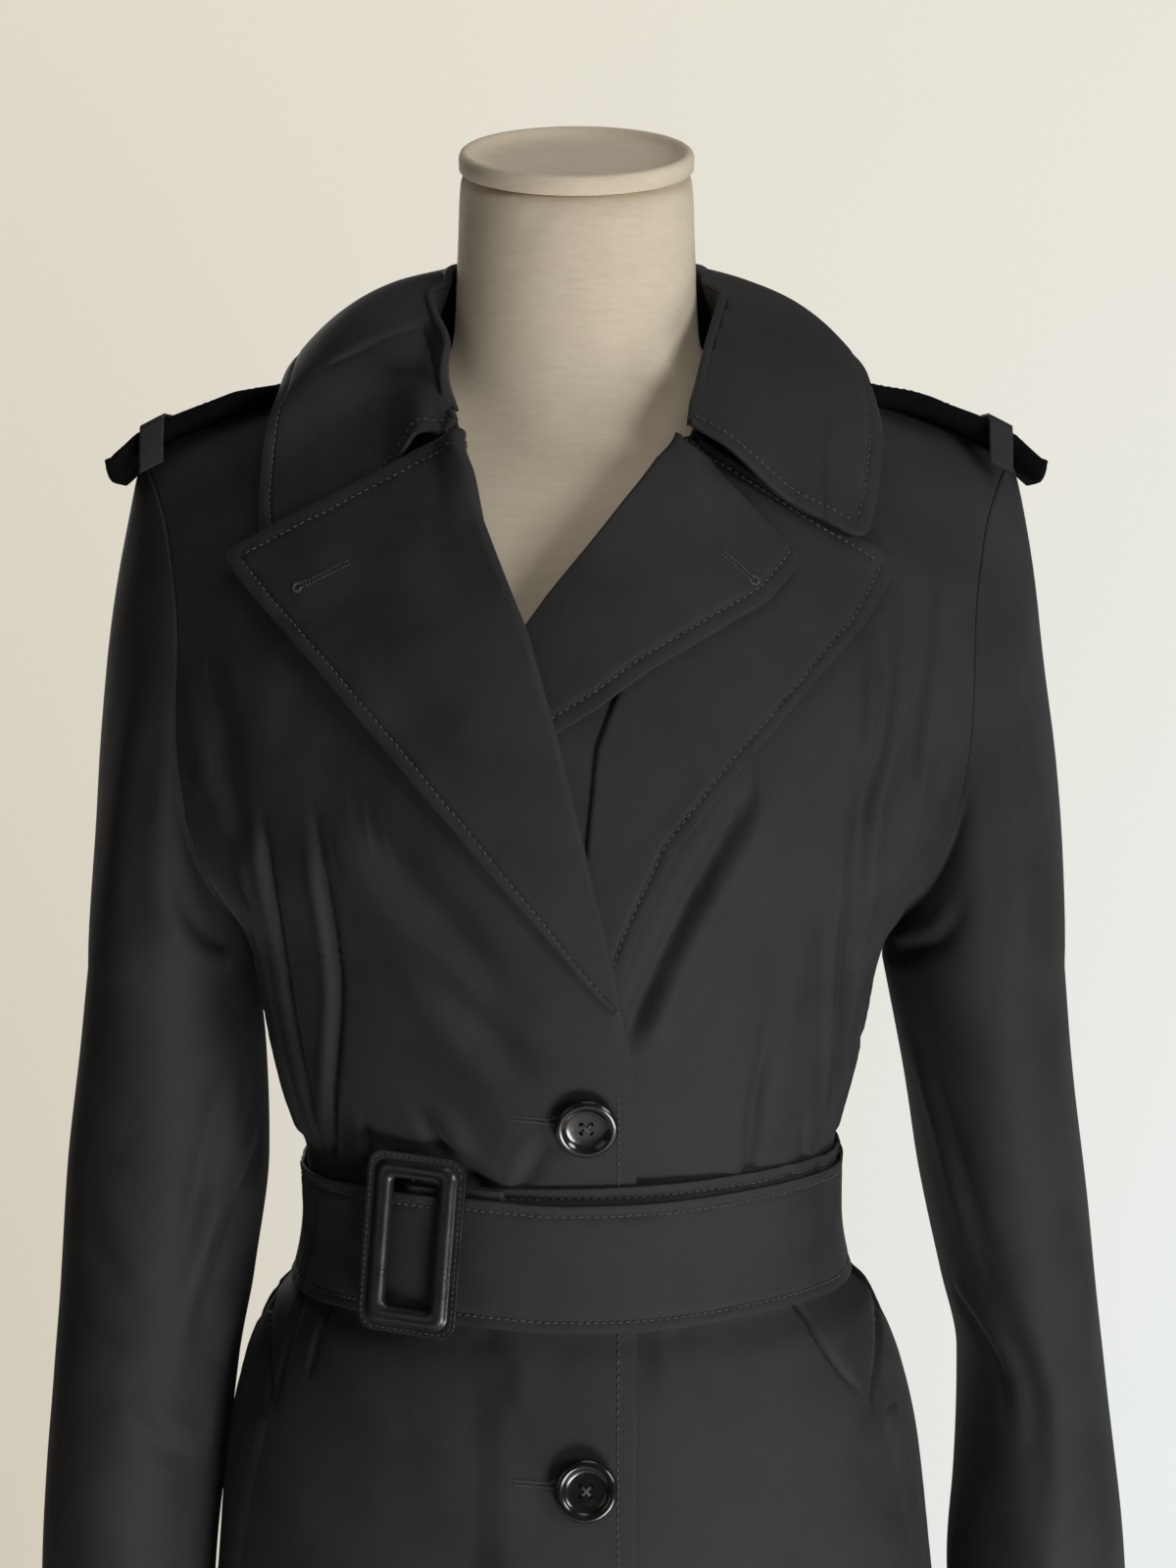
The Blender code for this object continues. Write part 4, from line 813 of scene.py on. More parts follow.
@functools.lru_cache(maxsize=None)
def buckle_leather():
    """Black leather with fine pebbles, a little worn."""
    finish, inputs, nodes = new_finish("buckle_black_leather", (0.012, 0.012, 0.013), 0.34)
    place = nodes.place()
    pebbles = nodes.add("ShaderNodeTexVoronoi", {"Vector": place, "Scale": 900.0}).outputs["Distance"]
    worn = nodes.noise(place, 70.0, 4.0)
    nodes.link(nodes.ramp(worn, 0.22, 0.36, 0.3, 0.7), inputs["Roughness"])
    nodes.link(nodes.mix(worn, (0.006, 0.006, 0.0065), (0.012, 0.012, 0.0125)), inputs["Base Color"])
    nodes.link(nodes.bump(pebbles, 0.30, 0.00012), inputs["Normal"])
    return finish


@functools.lru_cache(maxsize=None)
def button_horn():
    """Polished dark horn: faint brown streaks under a gloss."""
    finish, inputs, nodes = new_finish("button_dark_horn", (0.006, 0.0055, 0.0055), 0.16,
                                       (("Coat Weight", 0.3), ("Coat Roughness", 0.08)))
    place = nodes.place()
    streaks = nodes.noise(nodes.scaled(place, (160.0, 60.0, 420.0)), 1.0, 4.0)
    share = nodes.ramp(streaks, 0.0, 1.0, 0.45, 0.75)
    nodes.link(nodes.mix(share, (0.0035, 0.0032, 0.0032), (0.0120, 0.0090, 0.0075)), inputs["Base Color"])
    scuffs = nodes.noise(place, 600.0, 2.0)
    nodes.link(nodes.ramp(scuffs, 0.12, 0.20), inputs["Roughness"])
    return finish


@functools.lru_cache(maxsize=None)
def form_linen():
    """Natural linen: crossed uneven threads and a slightly mottled colour."""
    finish, inputs, nodes = new_finish("form_natural_linen", (0.50, 0.40, 0.27), 0.85,
                                       (("Sheen Weight", 0.12), ("Sheen Roughness", 0.5)))
    place = nodes.place()
    warp, weft = (nodes.wave(place, LINEN_STEP, direction, 2.2, 2.0, 1.4) for direction in "XZ")
    weave = nodes.math("MULTIPLY", nodes.math("ADD", warp, weft), 0.5)
    slubs = nodes.noise(nodes.scaled(place, (90.0, 90.0, 500.0)), 1.0, 3.0)
    patches = nodes.noise(place, 22.0, 4.0)
    share = nodes.math("ADD", nodes.ramp(weave, 0.0, 0.45), nodes.ramp(slubs, 0.0, 0.22, 0.3, 0.7))
    share = nodes.math("ADD", share, nodes.ramp(patches, -0.08, 0.16, 0.3, 0.7))
    nodes.link(nodes.mix(share, (0.62, 0.52, 0.385), (0.86, 0.76, 0.61)), inputs["Base Color"])
    nodes.link(nodes.bump(slubs, 0.3, 0.0004, nodes.bump(weave, 0.5, 0.0003)), inputs["Normal"])
    return finish


@functools.lru_cache(maxsize=None)
def stand_paint():
    """Satin black powder coat with a fine orange-peel surface."""
    finish, inputs, nodes = new_finish("stand_black_paint", (0.020, 0.020, 0.021), 0.38)
    place = nodes.place()
    worn = nodes.noise(place, 14.0, 4.0)
    nodes.link(nodes.ramp(worn, 0.32, 0.46, 0.35, 0.65), inputs["Roughness"])
    nodes.link(nodes.mix(worn, (0.016, 0.016, 0.017), (0.026, 0.026, 0.027)), inputs["Base Color"])
    nodes.link(nodes.bump(nodes.noise(place, 700.0, 2.0), 0.2, 0.0002), inputs["Normal"])
    return finish


# ---------------------------------------------------------------- where the cloth folds
# Front folds as routes of (across, height) places on the coat's front.
FRONT_FOLDS = (
    # wearer's right front, from the armhole and bust down to the belt
    Fold(((-0.114, 1.240), (-0.108, 1.195), (-0.105, 1.155), (-0.110, 1.105), (-0.112, 1.070)),
         0.0048, 0.0032, -0.0020, 0.25, 0.02),
    Fold(((-0.139, 1.240), (-0.134, 1.189), (-0.127, 1.130), (-0.116, 1.073)),
         0.0048, 0.0030, -0.0020, 0.20, 0.02),
    Fold(((-0.150, 1.243), (-0.146, 1.200), (-0.139, 1.150), (-0.131, 1.100)),
         -0.0024, 0.0060, 0.0, 0.20, 0.20),
    Fold(((-0.104, 1.247), (-0.083, 1.222), (-0.062, 1.200), (-0.038, 1.174), (-0.018, 1.148)),
         0.0046, 0.0085, -0.0034, 0.35, 0.40),
    Fold(((-0.080, 1.190), (-0.052, 1.160), (-0.028, 1.134), (-0.012, 1.118)),
         0.0030, 0.0078, -0.0024, 0.40, 0.30),
    Fold(((-0.072, 1.108), (-0.058, 1.086), (-0.046, 1.075), (-0.036, 1.069)),
         0.0034, 0.0048, 0.0022, 0.40, 0.10),
    Fold(((-0.010, 1.099), (-0.018, 1.083), (-0.025, 1.069)),
         0.0022, 0.0036, -0.0012, 0.35, 0.10),
    Fold(((-0.0930, 1.102), (-0.0945, 1.070)), 0.0028, 0.0030, -0.0010, 0.60, 0.05),
    Fold(((-0.170, 1.305), (-0.158, 1.272), (-0.152, 1.232)), 0.0020, 0.0080, -0.0014, 0.20, 0.40),
    Fold(((-0.166, 1.262), (-0.152, 1.240), (-0.146, 1.208)), 0.0026, 0.0062, -0.0020, 0.15, 0.45),
    Fold(((-0.158, 1.212), (-0.150, 1.199), (-0.142, 1.192)), 0.0022, 0.0038, 0.0014, 0.10, 0.40),
    Fold(((-0.128, 1.330), (-0.136, 1.285), (-0.143, 1.240)), -0.0014, 0.0110, 0.0, 0.40, 0.40),
    # wearer's left front
    Fold(((0.147, 1.342), (0.145, 1.300), (0.140, 1.263), (0.133, 1.240), (0.131, 1.193),
          (0.127, 1.137), (0.123, 1.085)), -0.0030, 0.0048, 0.0, 0.25, 0.10),
    Fold(((0.139, 1.305), (0.134, 1.262), (0.1255, 1.235), (0.123, 1.190), (0.120, 1.130)),
         0.0022, 0.0055, 0.0, 0.35, 0.30),
    Fold(((0.168, 1.352), (0.163, 1.312), (0.157, 1.272), (0.151, 1.215)),
         -0.0028, 0.0048, 0.0, 0.25, 0.25),
    Fold(((0.156, 1.300), (0.150, 1.272), (0.145, 1.238)),
         0.0020, 0.0055, 0.0, 0.35, 0.35),
    Fold(((0.118, 1.242), (0.115, 1.182), (0.1145, 1.108), (0.113, 1.075)),
         -0.0026, 0.0040, 0.0, 0.25, 0.15),
    Fold(((0.130, 1.322), (0.131, 1.285), (0.127, 1.245)), -0.0020, 0.0042, 0.0, 0.45, 0.35),
    Fold(((0.101, 1.190), (0.098, 1.160), (0.093, 1.124), (0.088, 1.080)),
         -0.0018, 0.0080, 0.0, 0.40, 0.10),
    Fold(((0.086, 1.150), (0.083, 1.126), (0.080, 1.104), (0.0775, 1.070)),
         0.0036, 0.0040, -0.0014, 0.55, 0.05),
    Fold(((0.103, 1.102), (0.104, 1.070)), 0.0016, 0.0036, 0.0010, 0.50, 0.05),
    Fold(((0.082, 1.258), (0.074, 1.243), (0.061, 1.221), (0.048, 1.198), (0.036, 1.172),
          (0.027, 1.150), (0.022, 1.132)), 0.0052, 0.0050, 0.0030, 0.25, 0.15),
    Fold(((0.168, 1.205), (0.150, 1.184), (0.136, 1.168)), 0.0024, 0.0050, 0.0016, 0.10, 0.50),
    Fold(((0.165, 1.222), (0.155, 1.212), (0.143, 1.206)), 0.0018, 0.0044, 0.0014, 0.10, 0.50),
    # under the belt on the wearer's right
    Fold(((-0.128, 1.006), (-0.1345, 0.979), (-0.1395, 0.956)), 0.0050, 0.0018, -0.0002, 0.02, 0.15),
    Fold(((-0.113, 1.006), (-0.1185, 0.990), (-0.1230, 0.972)), 0.0040, 0.0018, -0.0002, 0.02, 0.55),
    Fold(((-0.1205, 1.006), (-0.1260, 0.990)), 0.0016, 0.0016, -0.0002, 0.02, 0.60),
    Fold(((-0.1490, 0.996), (-0.1455, 0.982), (-0.1405, 0.958)), 0.0046, 0.0018, -0.0002, 0.10, 0.15),
    Fold(((-0.040, 1.006), (-0.033, 0.988), (-0.034, 0.962)), 0.0012, 0.0060, 0.0010, 0.10, 0.60),
    # under the belt on the wearer's left
    Fold(((0.098, 1.010), (0.108, 0.995), (0.119, 0.979), (0.134, 0.961)),
         0.0054, 0.0019, -0.0002, 0.02, 0.40),
    Fold(((0.1475, 0.996), (0.1420, 0.975), (0.1360, 0.956)), 0.0052, 0.0018, -0.0002, 0.05, 0.12),
    Fold(((0.044, 1.006), (0.050, 0.980)), 0.0010, 0.0050, 0.0008, 0.05, 0.60),
    Fold(((0.027, 1.006), (0.033, 0.968)), 0.0010, 0.0070, 0.0008, 0.05, 0.60),
)

# Folds at the sides and back as routes of (degrees round from the centre front, height).
ROUND_FOLDS = (
    Fold(((-86, 1.165), (-84, 1.120), (-80, 1.075)), 0.0026, 0.0040, 0.0018, 0.20, 0.05),
    Fold(((-104, 1.150), (-101, 1.110), (-97, 1.072)), 0.0022, 0.0045, 0.0016, 0.30, 0.05),
    Fold(((84, 1.160), (86, 1.115), (82, 1.075)), 0.0024, 0.0040, -0.0016, 0.25, 0.05),
    Fold(((103, 1.140), (99, 1.105), (98, 1.072)), 0.0026, 0.0048, 0.0016, 0.30, 0.05),
    Fold(((121, 1.165), (124, 1.120), (120, 1.070)), 0.0030, 0.0052, 0.0022, 0.35, 0.05),
    Fold(((139, 1.130), (137, 1.100), (140, 1.070)), 0.0022, 0.0040, -0.0016, 0.40, 0.05),
    Fold(((158, 1.150), (154, 1.110), (157, 1.070)), 0.0026, 0.0058, 0.0018, 0.40, 0.05),
    Fold(((176, 1.115), (174, 1.095), (175, 1.070)), 0.0016, 0.0040, 0.0010, 0.50, 0.05),
    Fold(((196, 1.145), (201, 1.105), (198, 1.070)), 0.0026, 0.0054, -0.0018, 0.40, 0.05),
    Fold(((217, 1.125), (219, 1.098), (216, 1.070)), 0.0022, 0.0042, 0.0014, 0.40, 0.05),
    Fold(((238, 1.168), (235, 1.115), (239, 1.070)), 0.0030, 0.0050, -0.0022, 0.35, 0.05),
    Fold(((92, 1.004), (95, 0.975), (94, 0.930)), 0.0026, 0.0036, 0.0016, 0.05, 0.45),
    Fold(((108, 1.004), (112, 0.980), (113, 0.945)), 0.0026, 0.0040, -0.0018, 0.05, 0.45),
    Fold(((127, 1.004), (130, 0.975), (134, 0.925)), 0.0030, 0.0046, 0.0018, 0.05, 0.50),
    Fold(((147, 1.004), (149, 0.980), (151, 0.950)), 0.0022, 0.0036, -0.0014, 0.05, 0.50),
    Fold(((166, 1.004), (167, 0.975), (166, 0.930)), 0.0024, 0.0050, 0.0016, 0.05, 0.50),
    Fold(((190, 1.004), (192, 0.980), (195, 0.945)), 0.0022, 0.0040, -0.0014, 0.05, 0.50),
    Fold(((209, 1.004), (206, 0.975), (203, 0.920)), 0.0028, 0.0050, 0.0018, 0.05, 0.50),
    Fold(((230, 1.004), (227, 0.980), (226, 0.950)), 0.0024, 0.0038, 0.0014, 0.05, 0.50),
    Fold(((250, 1.004), (248, 0.978), (249, 0.935)), 0.0028, 0.0042, -0.0018, 0.05, 0.50),
    Fold(((266, 1.004), (264, 0.975), (266, 0.925)), 0.0024, 0.0038, 0.0016, 0.05, 0.50),
    # the skirt's soft flutes, deepest at the hem
    Fold(((-152, 0.900), (-150, 0.700), (-149, 0.440)), -0.0075, 0.030, 0.0, 0.90, 0.0),
    Fold(((-121, 0.860), (-119, 0.660), (-116, 0.440)), 0.0080, 0.026, 0.0, 0.85, 0.0),
    Fold(((-92, 0.930), (-90, 0.700), (-88, 0.440)), -0.0070, 0.026, 0.0, 0.90, 0.0),
    Fold(((-66, 0.840), (-63, 0.640), (-60, 0.440)), 0.0065, 0.024, 0.0, 0.85, 0.0),
    Fold(((-38, 0.760), (-36, 0.600), (-35, 0.440)), -0.0045, 0.028, 0.0, 0.90, 0.0),
    Fold(((34, 0.780), (37, 0.600), (38, 0.440)), -0.0050, 0.026, 0.0, 0.90, 0.0),
    Fold(((62, 0.830), (65, 0.640), (66, 0.440)), 0.0060, 0.024, 0.0, 0.85, 0.0),
    Fold(((89, 0.920), (91, 0.700), (93, 0.440)), -0.0070, 0.027, 0.0, 0.90, 0.0),
    Fold(((117, 0.850), (119, 0.650), (122, 0.440)), 0.0080, 0.027, 0.0, 0.85, 0.0),
    Fold(((148, 0.890), (150, 0.690), (153, 0.440)), -0.0070, 0.032, 0.0, 0.90, 0.0),
    Fold(((180, 0.820), (180, 0.640), (180, 0.440)), 0.0060, 0.024, 0.0, 0.85, 0.0),
)

# Folds on the upper back as routes of (across, height) places.
BACK_FOLDS = (
    Fold(((-0.150, 1.345), (-0.128, 1.290), (-0.116, 1.225)), 0.0024, 0.0080, 0.0018, 0.35, 0.40),
    Fold(((0.152, 1.350), (0.131, 1.285), (0.121, 1.215)), 0.0026, 0.0076, -0.0018, 0.35, 0.40),
    Fold(((-0.165, 1.270), (-0.146, 1.225), (-0.136, 1.180)), 0.0022, 0.0056, -0.0016, 0.30, 0.30),
    Fold(((0.166, 1.262), (0.149, 1.215), (0.139, 1.172)), 0.0022, 0.0060, 0.0016, 0.30, 0.30),
    Fold(((-0.070, 1.400), (-0.020, 1.385), (0.045, 1.392)), 0.0012, 0.0090, 0.0010, 0.40, 0.40),
)

# Folds on the sleeves as routes of (share of the way round, height): 0 is the outer side,
# 0.25 the front, 0.5 the side by the body and 0.75 the back.
SLEEVE_RIGHT_FOLDS = (
    Fold(((0.44, 1.190), (0.36, 1.225), (0.30, 1.265)), 0.0030, 0.0050, 0.0020, 0.10, 0.50),
    Fold(((0.42, 1.165), (0.34, 1.180), (0.28, 1.215)), 0.0026, 0.0042, 0.0020, 0.10, 0.50),
    Fold(((0.20, 1.310), (0.22, 1.220), (0.25, 1.120)), 0.0016, 0.0090, -0.0012, 0.40, 0.40),
    Fold(((0.40, 1.120), (0.33, 1.060), (0.30, 0.990)), 0.0030, 0.0060, 0.0026, 0.30, 0.40),
    Fold(((0.47, 1.080), (0.38, 1.030), (0.36, 0.960)), 0.0026, 0.0050, -0.0022, 0.30, 0.40),
    Fold(((0.12, 1.060), (0.20, 1.020), (0.30, 1.000)), 0.0016, 0.0070, 0.0012, 0.40, 0.40),
    Fold(((0.25, 0.960), (0.34, 0.935), (0.42, 0.925)), 0.0022, 0.0050, 0.0018, 0.35, 0.30),
    Fold(((0.22, 0.900), (0.27, 0.860), (0.30, 0.800)), 0.0014, 0.0080, 0.0010, 0.40, 0.20),
    Fold(((0.60, 1.200), (0.66, 1.150), (0.70, 1.080)), 0.0030, 0.0080, 0.0020, 0.25, 0.40),
    Fold(((0.56, 1.060), (0.66, 1.030), (0.76, 1.020)), 0.0026, 0.0060, 0.0018, 0.30, 0.40),
    Fold(((0.58, 0.990), (0.68, 0.975), (0.80, 0.985)), 0.0022, 0.0056, -0.0016, 0.30, 0.40),
    Fold(((0.86, 1.300), (0.84, 1.200), (0.80, 1.110)), 0.0014, 0.0090, 0.0010, 0.40, 0.40),
)
SLEEVE_LEFT_FOLDS = (
    Fold(((0.46, 1.185), (0.37, 1.215), (0.31, 1.262)), 0.0032, 0.0046, 0.0022, 0.10, 0.50),
    Fold(((0.44, 1.160), (0.35, 1.172), (0.29, 1.200)), 0.0028, 0.0040, 0.0018, 0.10, 0.50),
    Fold(((0.22, 1.330), (0.24, 1.230), (0.27, 1.130)), 0.0018, 0.0080, 0.0014, 0.40, 0.40),
    Fold(((0.42, 1.130), (0.36, 1.070), (0.33, 1.000)), 0.0026, 0.0056, -0.0020, 0.30, 0.40),
    Fold(((0.36, 1.020), (0.30, 0.960), (0.29, 0.890)), 0.0020, 0.0070, 0.0016, 0.40, 0.40),
    Fold(((0.46, 1.000), (0.38, 0.975), (0.34, 0.930)), 0.0026, 0.0046, 0.0018, 0.25, 0.40),
    Fold(((0.12, 1.020), (0.19, 0.985), (0.27, 0.975)), 0.0014, 0.0070, 0.0010, 0.40, 0.40),
    Fold(((0.18, 0.930), (0.22, 0.870), (0.23, 0.800)), 0.0014, 0.0080, -0.0010, 0.40, 0.20),
    Fold(((0.60, 1.205), (0.65, 1.150), (0.68, 1.070)), 0.0030, 0.0080, -0.0020, 0.25, 0.40),
    Fold(((0.56, 1.050), (0.66, 1.025), (0.77, 1.030)), 0.0026, 0.0060, 0.0018, 0.30, 0.40),
    Fold(((0.57, 0.975), (0.68, 0.960), (0.79, 0.975)), 0.0022, 0.0056, -0.0016, 0.30, 0.40),
    Fold(((0.88, 1.300), (0.85, 1.200), (0.82, 1.110)), 0.0014, 0.0090, 0.0010, 0.40, 0.40),
)


def torso_creases():
    creases = Creases()
    for fold in FRONT_FOLDS + BACK_FOLDS:
        back = fold in BACK_FOLDS
        route = smooth_route(fold.route, ROUTE_POINTS)
        line = on_torso(route[:, 0], route[:, 1], back=back)
        creases.add(fold, line, outward(route[:, 0], route[:, 1], back))
    for fold in ROUND_FOLDS:
        route = smooth_route(fold.route, ROUTE_POINTS)
        turn = np.radians(route[:, 0])
        line = waist_point(turn, route[:, 1])
        creases.add(fold, line, waist_point(turn, route[:, 1], 1.0) - line)
    return creases


TORSO = torso_creases()
WAVE_SIZE = 0.085         # size of the cloth's soft unevenness
WAVE_HEIGHT = 0.0014
UNDER_BELT = 0.0003       # the most that the cloth may stand off under the belt
OFF_BELT = 0.03           # more than it stands off anywhere else
BELT_HOLD = (0.030, 0.046)      # how far from the belt's middle its hold starts to give and ends


def torso_offset(points):
    """How far the coat's body stands off its plain form, folds and unevenness together."""
    amount = TORSO.offset(points) + WAVE_HEIGHT * unevenness(points, WAVE_SIZE, seed=3.7)
    from_belt = np.abs(points[..., 2] - BELT_WRAP[0].height)
    limit = mixed(UNDER_BELT, OFF_BELT, smooth_step(*BELT_HOLD, from_belt))
    return np.minimum(amount, limit)


# ---------------------------------------------------------------- the coat's panels
HIPS = 0.860              # height above which the rows lie closer
LOW_ROWS = np.linspace(HEM, HIPS, 50)
HIGH_ROWS = np.linspace(HIPS, ARMPIT, 128)[1:-1]
LEVEL_ROWS = 0.5 - 0.5 * np.cos(np.pi * np.linspace(0, 1, 62))
EDGE_SHARES = (0.0, 0.004, 0.010, 0.018, 0.024, 0.0285, 0.033, 0.0375, 0.044, 0.056)
FRONT_COLUMNS = 160
BACK_COLUMNS = 62
CROWDING = 2.2            # how much closer the columns lie where the front creases
CROWDED = (0.28, 0.40, 0.80, 0.92)    # shares where that starts, is full, starts to end and ends
SHARE_STEPS = 500         # fine steps that the crowded columns are worked out from
ARMPIT_EASE = 0.011       # how far below and above the armpit the form turns
SLOPE_ROWS = 3            # how many rows its slope is taken over, below and above
EASED_TO = 0.90           # share from which rows turn back to what they were, by the sleeve
BACK_SEAM = SEAM_GAP / 8  # from the centre back to each back half's edge
SEAM_DIP = 0.0007         # how far a seam pulls the cloth in
SEAM_WIDTH = 0.0016       # and over what width
SEAM_TOP = 0.004          # how far above the armpit the side seam's dip ends
NO_SEAM = 99.0            # how many times further off that seam counts above there
TOP_FADE = 0.90           # level from which folds die away to the top seams
ARMHOLE_FADE = 0.93       # share from which they die away to the armhole
ARMHOLE_START = 0.04      # level by which that has set in


def sweep_angle(share):
    """The parameter of the rounded section at a share of its half width."""
    return np.arcsin(np.minimum(np.abs(share), 1.0) ** (SQUARENESS / 2)) * np.sign(share)


def panel_shares(count):
    """Where the columns lie, from the edge near the middle (0) to the side (1)."""
    place = np.linspace(EDGE_SHARES[-1], 1, SHARE_STEPS)
    crowded = smooth_step(*CROWDED[:2], place) * (1 - smooth_step(*CROWDED[2:], place))
    reached = np.cumsum(mixed(1.0, CROWDING, crowded))
    reached = (reached - reached[0]) / (reached[-1] - reached[0])
    rest = np.interp(np.linspace(0, 1, count - len(EDGE_SHARES) + 1)[1:], reached, place)
    return np.concatenate((EDGE_SHARES, rest))


def panel_row(side, back, height, level, edge_across, shares):
    """One row of a panel: flat at its height below the armpits, where level is None, and
    above them more and more like the top edge as its level nears 1."""
    face, sign = ("back", 1) if back else ("front", -1)
    table, key = (BODY, height) if level is None else (YOKE, level)
    centre, width = through(table, "centre")(key), through(table, "half_width")(key)
    depth = through(table, face)(key)
    start = sweep_angle(np.array((edge_across - centre) / width))
    if level:
        end = side * sweep_angle(np.array(through(YOKE, "armhole_" + face)(level) / width))
    else:
        end = side * math.pi / 2
    angle = mixed(start, end, shares)
    across = centre + width * signed_power(np.sin(angle), 2 / SQUARENESS)
    full = sign * depth * np.abs(np.cos(angle)) ** (2 / SQUARENESS)
    if not level:
        return points_of(across, full, height)
    tops = BACK_TOP if back else FRONT_TOP
    top = through(tops, "height")(np.abs(across))
    seam = seam_depth(tops, across, level)
    rise = mixed(ARMPIT, top, level)
    kept = fall(eased_level(tops, across, rise, level))
    return points_of(across, seam + (full - seam) * kept, rise)


def panel_grid(side, back, edge, shares):
    """A panel's plain form, row by row from the hem to its top edge."""
    rows = [panel_row(side, back, height, None, edge(height), shares)
            for height in np.concatenate((LOW_ROWS, HIGH_ROWS))]
    middle_top = (BACK_TOP if back else FRONT_TOP)[1].height
    for level in LEVEL_ROWS:
        height = mixed(ARMPIT, middle_top, level)
        rows.append(panel_row(side, back, height, level, edge(height), shares))
    return np.array(rows)


def eased_at_armpit(grid, shares):
    """The same rows, with their slope turning gently at the armpit instead of at once."""
    height = grid[..., 2]
    first = np.searchsorted(height[:, -1], ARMPIT - ARMPIT_EASE)
    last = np.searchsorted(height[:, -1], ARMPIT + ARMPIT_EASE)
    rise = (height[last] - height[first])[:, None]
    slopes = []
    for k in (first, last + SLOPE_ROWS):
        before = k - SLOPE_ROWS
        slopes.append((grid[k] - grid[before]) / (height[k] - height[before])[:, None] * rise)
    kept = smooth_step(EASED_TO, 1.0, shares)[:, None]
    eased = grid.copy()
    for row in range(first + 1, last):
        t = ((height[row] - height[first])[:, None]) / rise
        bend = ((1 + 2 * t) * (1 - t) ** 2 * grid[first] + t * (1 - t) ** 2 * slopes[0]
                + t ** 2 * (3 - 2 * t) * grid[last] - t ** 2 * (1 - t) * slopes[1])
        eased[row] = mixed(bend, grid[row], kept)
    return eased


def lifted(grid, amount):
    return grid + grid_normals(grid) * amount[..., None]


def seam_fade(shares):
    """Folds die away towards the armhole and top seams, so that the pieces still meet."""
    rows = len(LOW_ROWS) + len(HIGH_ROWS)
    level = np.concatenate((np.zeros(rows), LEVEL_ROWS))[:, None]
    by_top = 1 - smooth_step(TOP_FADE, 1.0, level)
    set_in = smooth_step(0.0, ARMHOLE_START, level)
    by_armhole = 1 - smooth_step(ARMHOLE_FADE, 1.0, shares[None]) * set_in
    return by_top * by_armhole


def make_panels():
    """The four panels, and their plain forms, which the sleeves are set to."""
    shares = panel_shares(FRONT_COLUMNS)
    back_shares = np.linspace(0, 1, BACK_COLUMNS)
    plain = {
        "front_right": panel_grid(-1, False, through(RIGHT_EDGE, "across"), shares),
        "front_left": panel_grid(1, False, through(LEFT_EDGE, "across"), shares),
        "back_right": panel_grid(-1, True, lambda height: -BACK_SEAM, back_shares),
        "back_left": panel_grid(1, True, lambda height: BACK_SEAM, back_shares),
    }
    grids = {}
    for name, grid in plain.items():
        part_shares = shares if name.startswith("front") else back_shares
        grid = eased_at_armpit(grid, part_shares)
        amount = torso_offset(grid) * seam_fade(part_shares)
        if name == "front_right":
            amount = amount + right_front_lift(grid[..., 0], grid[..., 2])
        seam = np.abs(grid[..., 1]) * np.where(grid[..., 2] < ARMPIT + SEAM_TOP, 1.0, NO_SEAM)
        if name.startswith("back"):
            seam = np.minimum(seam, np.abs(grid[..., 0]))
        amount = amount - SEAM_DIP * np.exp(-(seam / SEAM_WIDTH) ** 2)
        grids[name] = lifted(grid, amount)
        obj = sheet_object(name + "_cloth", grids[name], coat_cloth())
        ready(obj, (name,))
    return plain, grids


# ---------------------------------------------------------------- sleeves
SLEEVE_CAP_STEPS = np.linspace(0, 1, 26)[1:-1] ** 1.15
SLEEVE_ROWS = np.linspace(SLEEVE_LEFT[0].height, SLEEVE_LEFT[-1].height, 104)
SLEEVE_MIDDLE = 0.215     # how far out from the body's middle a sleeve's own middle is
SEAM_NEARNESS = 0.45      # how much of the solids' gap is kept at the sleeve's seam
UNDERARM_NEARNESS = 6     # how soon the armhole's lead grows towards the underarm
# How far the sleeve heads out and down as it leaves the armhole: at the underarm, and how
# much more at the shoulder; then how much of the way it heads to its own depth.
CAP_OUT = (0.004, 0.034)
CAP_DOWN = (0.008, 0.07)
CAP_ROUND = 0.9
CAP_FADE = 7              # rows from the armhole over which its folds grow
SMOOTHED = 5              # how many points of a sleeve fold's route are averaged
SLEEVE_WAVE_SIZE = 0.070
SLEEVE_WAVE_HEIGHT = 0.0016


def armhole_loop(front, back, side):
    """The armhole's points, from the shoulder down the front and up the back, moved
    outward by the seam's lead, each with its share of the way round."""
    count = len(LEVEL_ROWS)
    front = front[-count:, -1][::-1].copy()
    back = back[-count:, -1].copy()
    front[0] = (front[0] + back[-1]) / 2
    front[-1] = (front[-1] + back[0]) / 2
    for half, levels in ((front, LEVEL_ROWS[::-1]), (back, LEVEL_ROWS)):
        low = (1 - levels) ** UNDERARM_NEARNESS
        half[:, 0] += side * SEAM_NEARNESS * (SLEEVE_LEAD + SLEEVE_LEAD_UNDERARM * low)
        half[:, 2] += SLEEVE_LEAD * low
    shares = []
    for half, base in ((front, 0.0), (back, 0.5)):
        steps = np.linalg.norm(np.diff(half, axis=0), axis=1)
        lengths = np.concatenate(([0.0], np.cumsum(steps)))
        shares.append(base + 0.5 * lengths / lengths[-1])
    return np.vstack((front, back[1:-1])), np.concatenate((shares[0], shares[1][1:-1]))


def sleeve_ring(table, side, height, shares):
    outer, inner = through(table, "outer")(height), through(table, "inner")(height)
    front, back = through(table, "front")(height), through(table, "back")(height)
    angle = 2 * np.pi * shares
    across = (outer + inner) / 2 + (outer - inner) / 2 * np.cos(angle)
    depth = (back - front) / 2 - (back + front) / 2 * np.sin(angle)
    return points_of(side * across, depth, height)


